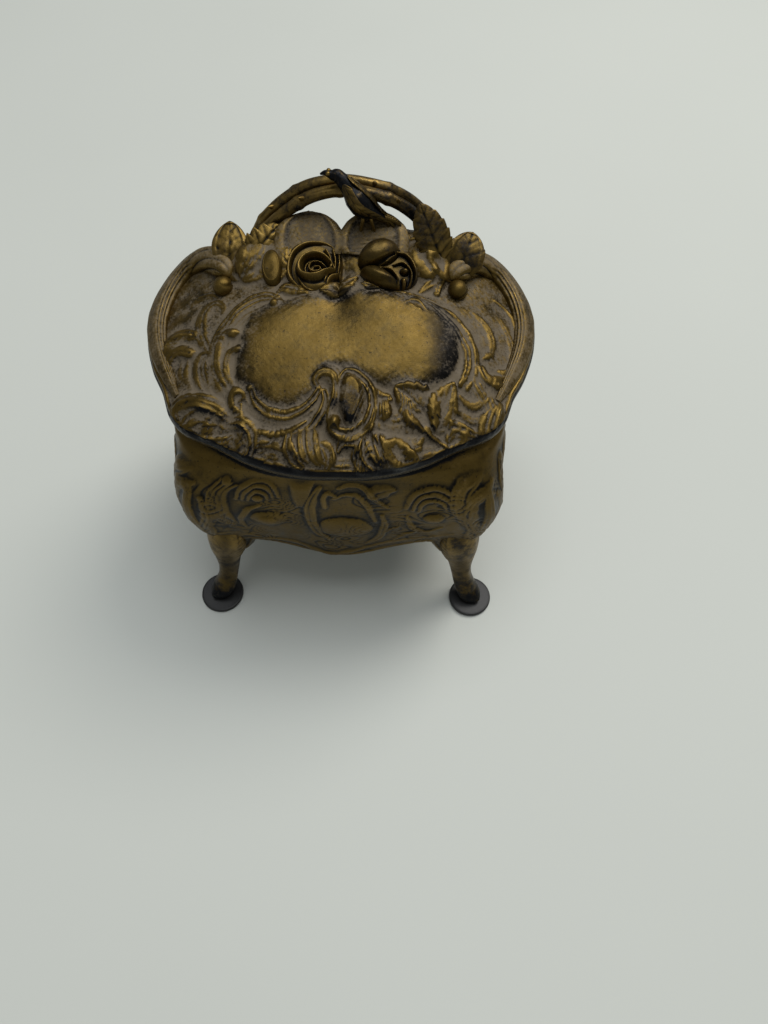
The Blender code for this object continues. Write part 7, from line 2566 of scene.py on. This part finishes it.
@dataclass
class BranchHandle:
    """Handle of two bark-covered stems side by side, with knots and thorns.

    Args:
        arch_shares: Places along the arch: share of the half span, and share
            of the way from the foot to the crown.
        half_span: Half span of the arch.
        foot: Height of its ends.
        crown: Height of its crown.
        y: Place forward of the arch.
        stem_radius: Radius of each stem.
        spread: Distance of each stem from the arch's line.
        sunk: Depth to which the stems go into the dome.
        knots: Shares along at which the stems thicken.
        thorns: Share along, stem, and length of each thorn.
    """

    arch_shares: tuple = (
        (-1.0, 0.0), (-0.9, 0.27), (-0.79, 0.46), (-0.6, 0.68), (-0.38, 0.87),
        (-0.16, 0.97), (0.06, 1.0), (0.28, 0.965), (0.5, 0.89), (0.68, 0.77),
        (0.85, 0.58), (0.97, 0.34), (1.06, 0.0),
    )
    half_span: float = 29.0
    foot: float = 111.0
    crown: float = 135.3
    y: float = 32.0
    stem_radius: float = 2.0
    spread: float = 2.05
    sunk: float = 0.6
    knots: tuple = (0.13, 0.31, 0.48, 0.66, 0.85)
    thorns: tuple = ((0.335, 0, 2.2), (0.69, 0, 1.7), (0.60, 1, 1.5), (0.20, 1, 1.6))
    rings: int = 420
    sides: int = 48

    def path(self) -> Array:
        """Centre line of the arch."""
        across, up = np.array(self.arch_shares).T
        z = self.foot + up * (self.crown - self.foot)
        knots = np.column_stack([across * self.half_span, np.full(len(up), self.y), z])
        return catmull_rom(knots, self.rings)

    def stem(self, number: int) -> tuple:
        """Centre line and radius of one stem, and its outward direction.

        It lies beside the arch's line by the spread, in front and a little
        inward for the first stem and behind and outward for the second.
        """
        path = self.path()
        along = np.linspace(0.0, 1.0, self.rings)
        outward = np.cross(np.array([0.0, -1.0, 0.0]), unit(np.gradient(path, axis=0)))
        outward = outward * np.sign(outward[:, 2:] + 1e-9)
        lean = np.radians(28.0 + 16.0 * np.sin(5.0 * along + 0.6))
        shift = (2 * number - 1) * self.spread * (1.0 - 0.12 * np.cos(11.0 * along))
        path[:, 1] += shift * np.cos(lean)
        path = path + (shift * np.sin(lean) * 0.55)[:, None] * outward
        held = LID.height(path[:, 0], path[:, 1]) - self.sunk
        path[:, 2] = np.maximum(path[:, 2], held)
        knot = sum(np.exp(-(((along - place) / 0.014) ** 2)) for place in self.knots)
        radius = self.stem_radius * (0.93 + 0.13 * knot - 0.10 * along * number)
        return path, radius, outward

    def bark(self, number: int) -> Callable:
        """Section of a stem: ridges, strands and grain that wind along it."""

        def form(turn: Array, share: Array) -> Array:
            """Share of the radius at a turn and a share along."""
            ridges = 0.06 * np.abs(np.cos(1.5 * turn + 4.0 * share + number)) ** 0.5
            strand = 0.025 * np.cos(5.0 * turn + 7.0 * np.sin(5.0 * share))
            chart = (turn * 5.0 + 0.0 * share, share * 45.0 + 0.0 * turn)
            return 0.94 + ridges + strand + 0.03 * noise(*chart, 21 + number, 9)

        return form

    def build(self) -> None:
        """Make both stems and their thorns."""
        skin = Skin("branch_stems")
        for number in (0, 1):
            path, radius, outward = self.stem(number)
            ways = (path, radius, radius * 1.04, (0.0, 1.0, 0.0))
            skin.grid(tube(*ways, self.bark(number), self.sides), scale=0.30, blackening_and_shade=0.54)
            for share, stem, length in self.thorns:
                if stem == number:
                    index = int(share * (self.rings - 1))
                    along = path[index + 4] - path[index]
                    lean = unit(outward[index] * 0.75 + [0.0, -0.6, 0.0] + 0.25 * unit(along))
                    start = path[index] + lean * radius[index] * 0.5
                    self.thorn(skin, start, lean, along, length)
        skin.build(GILT, "lid", "branch_handle")

    def thorn(
        self, skin: "Skin", start: Array, lean: Array, along: Array, length: float
    ) -> None:
        """Add a thorn: a cone from a start that bends back along the stem."""
        reach = np.linspace(0.0, 1.0, 16)
        line = start + np.outer(reach * (length + 0.9), lean)
        line = line - np.outer(reach**2 * 0.8, unit(along))
        thick = 1.15 * (1.0 - reach) ** 0.8 + 0.06
        skin.grid(tube(line, thick, thick * 0.8, along, sides=20), scale=0.3)


def finish_nodes() -> None:
    """Give the CAD nodes that stay in sight, hinges and plate, a finish."""
    for name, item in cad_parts.items():
        if item.hide_render:
            continue
        material = (BRASS if name.startswith("hinge") else PLATE).material()
        if not item.material_slots:
            item.data.materials.append(material)
        for slot in item.material_slots:
            slot.material = material


def main() -> None:
    """Build the camera, the stage and every piece in order."""
    logging.basicConfig(level=logging.INFO, format="%(name)s: %(message)s")
    CAMERA.build()
    Stage().build()
    pieces = (
        Lid, Body, SideScrolls, BranchHandle, RoseSpray, CrestLeaves, Bird, Legs, FootDiscs,
        SilkLining,
    )
    for piece in pieces:
        piece().build()
    finish_nodes()


if __name__ == "__main__":
    main()
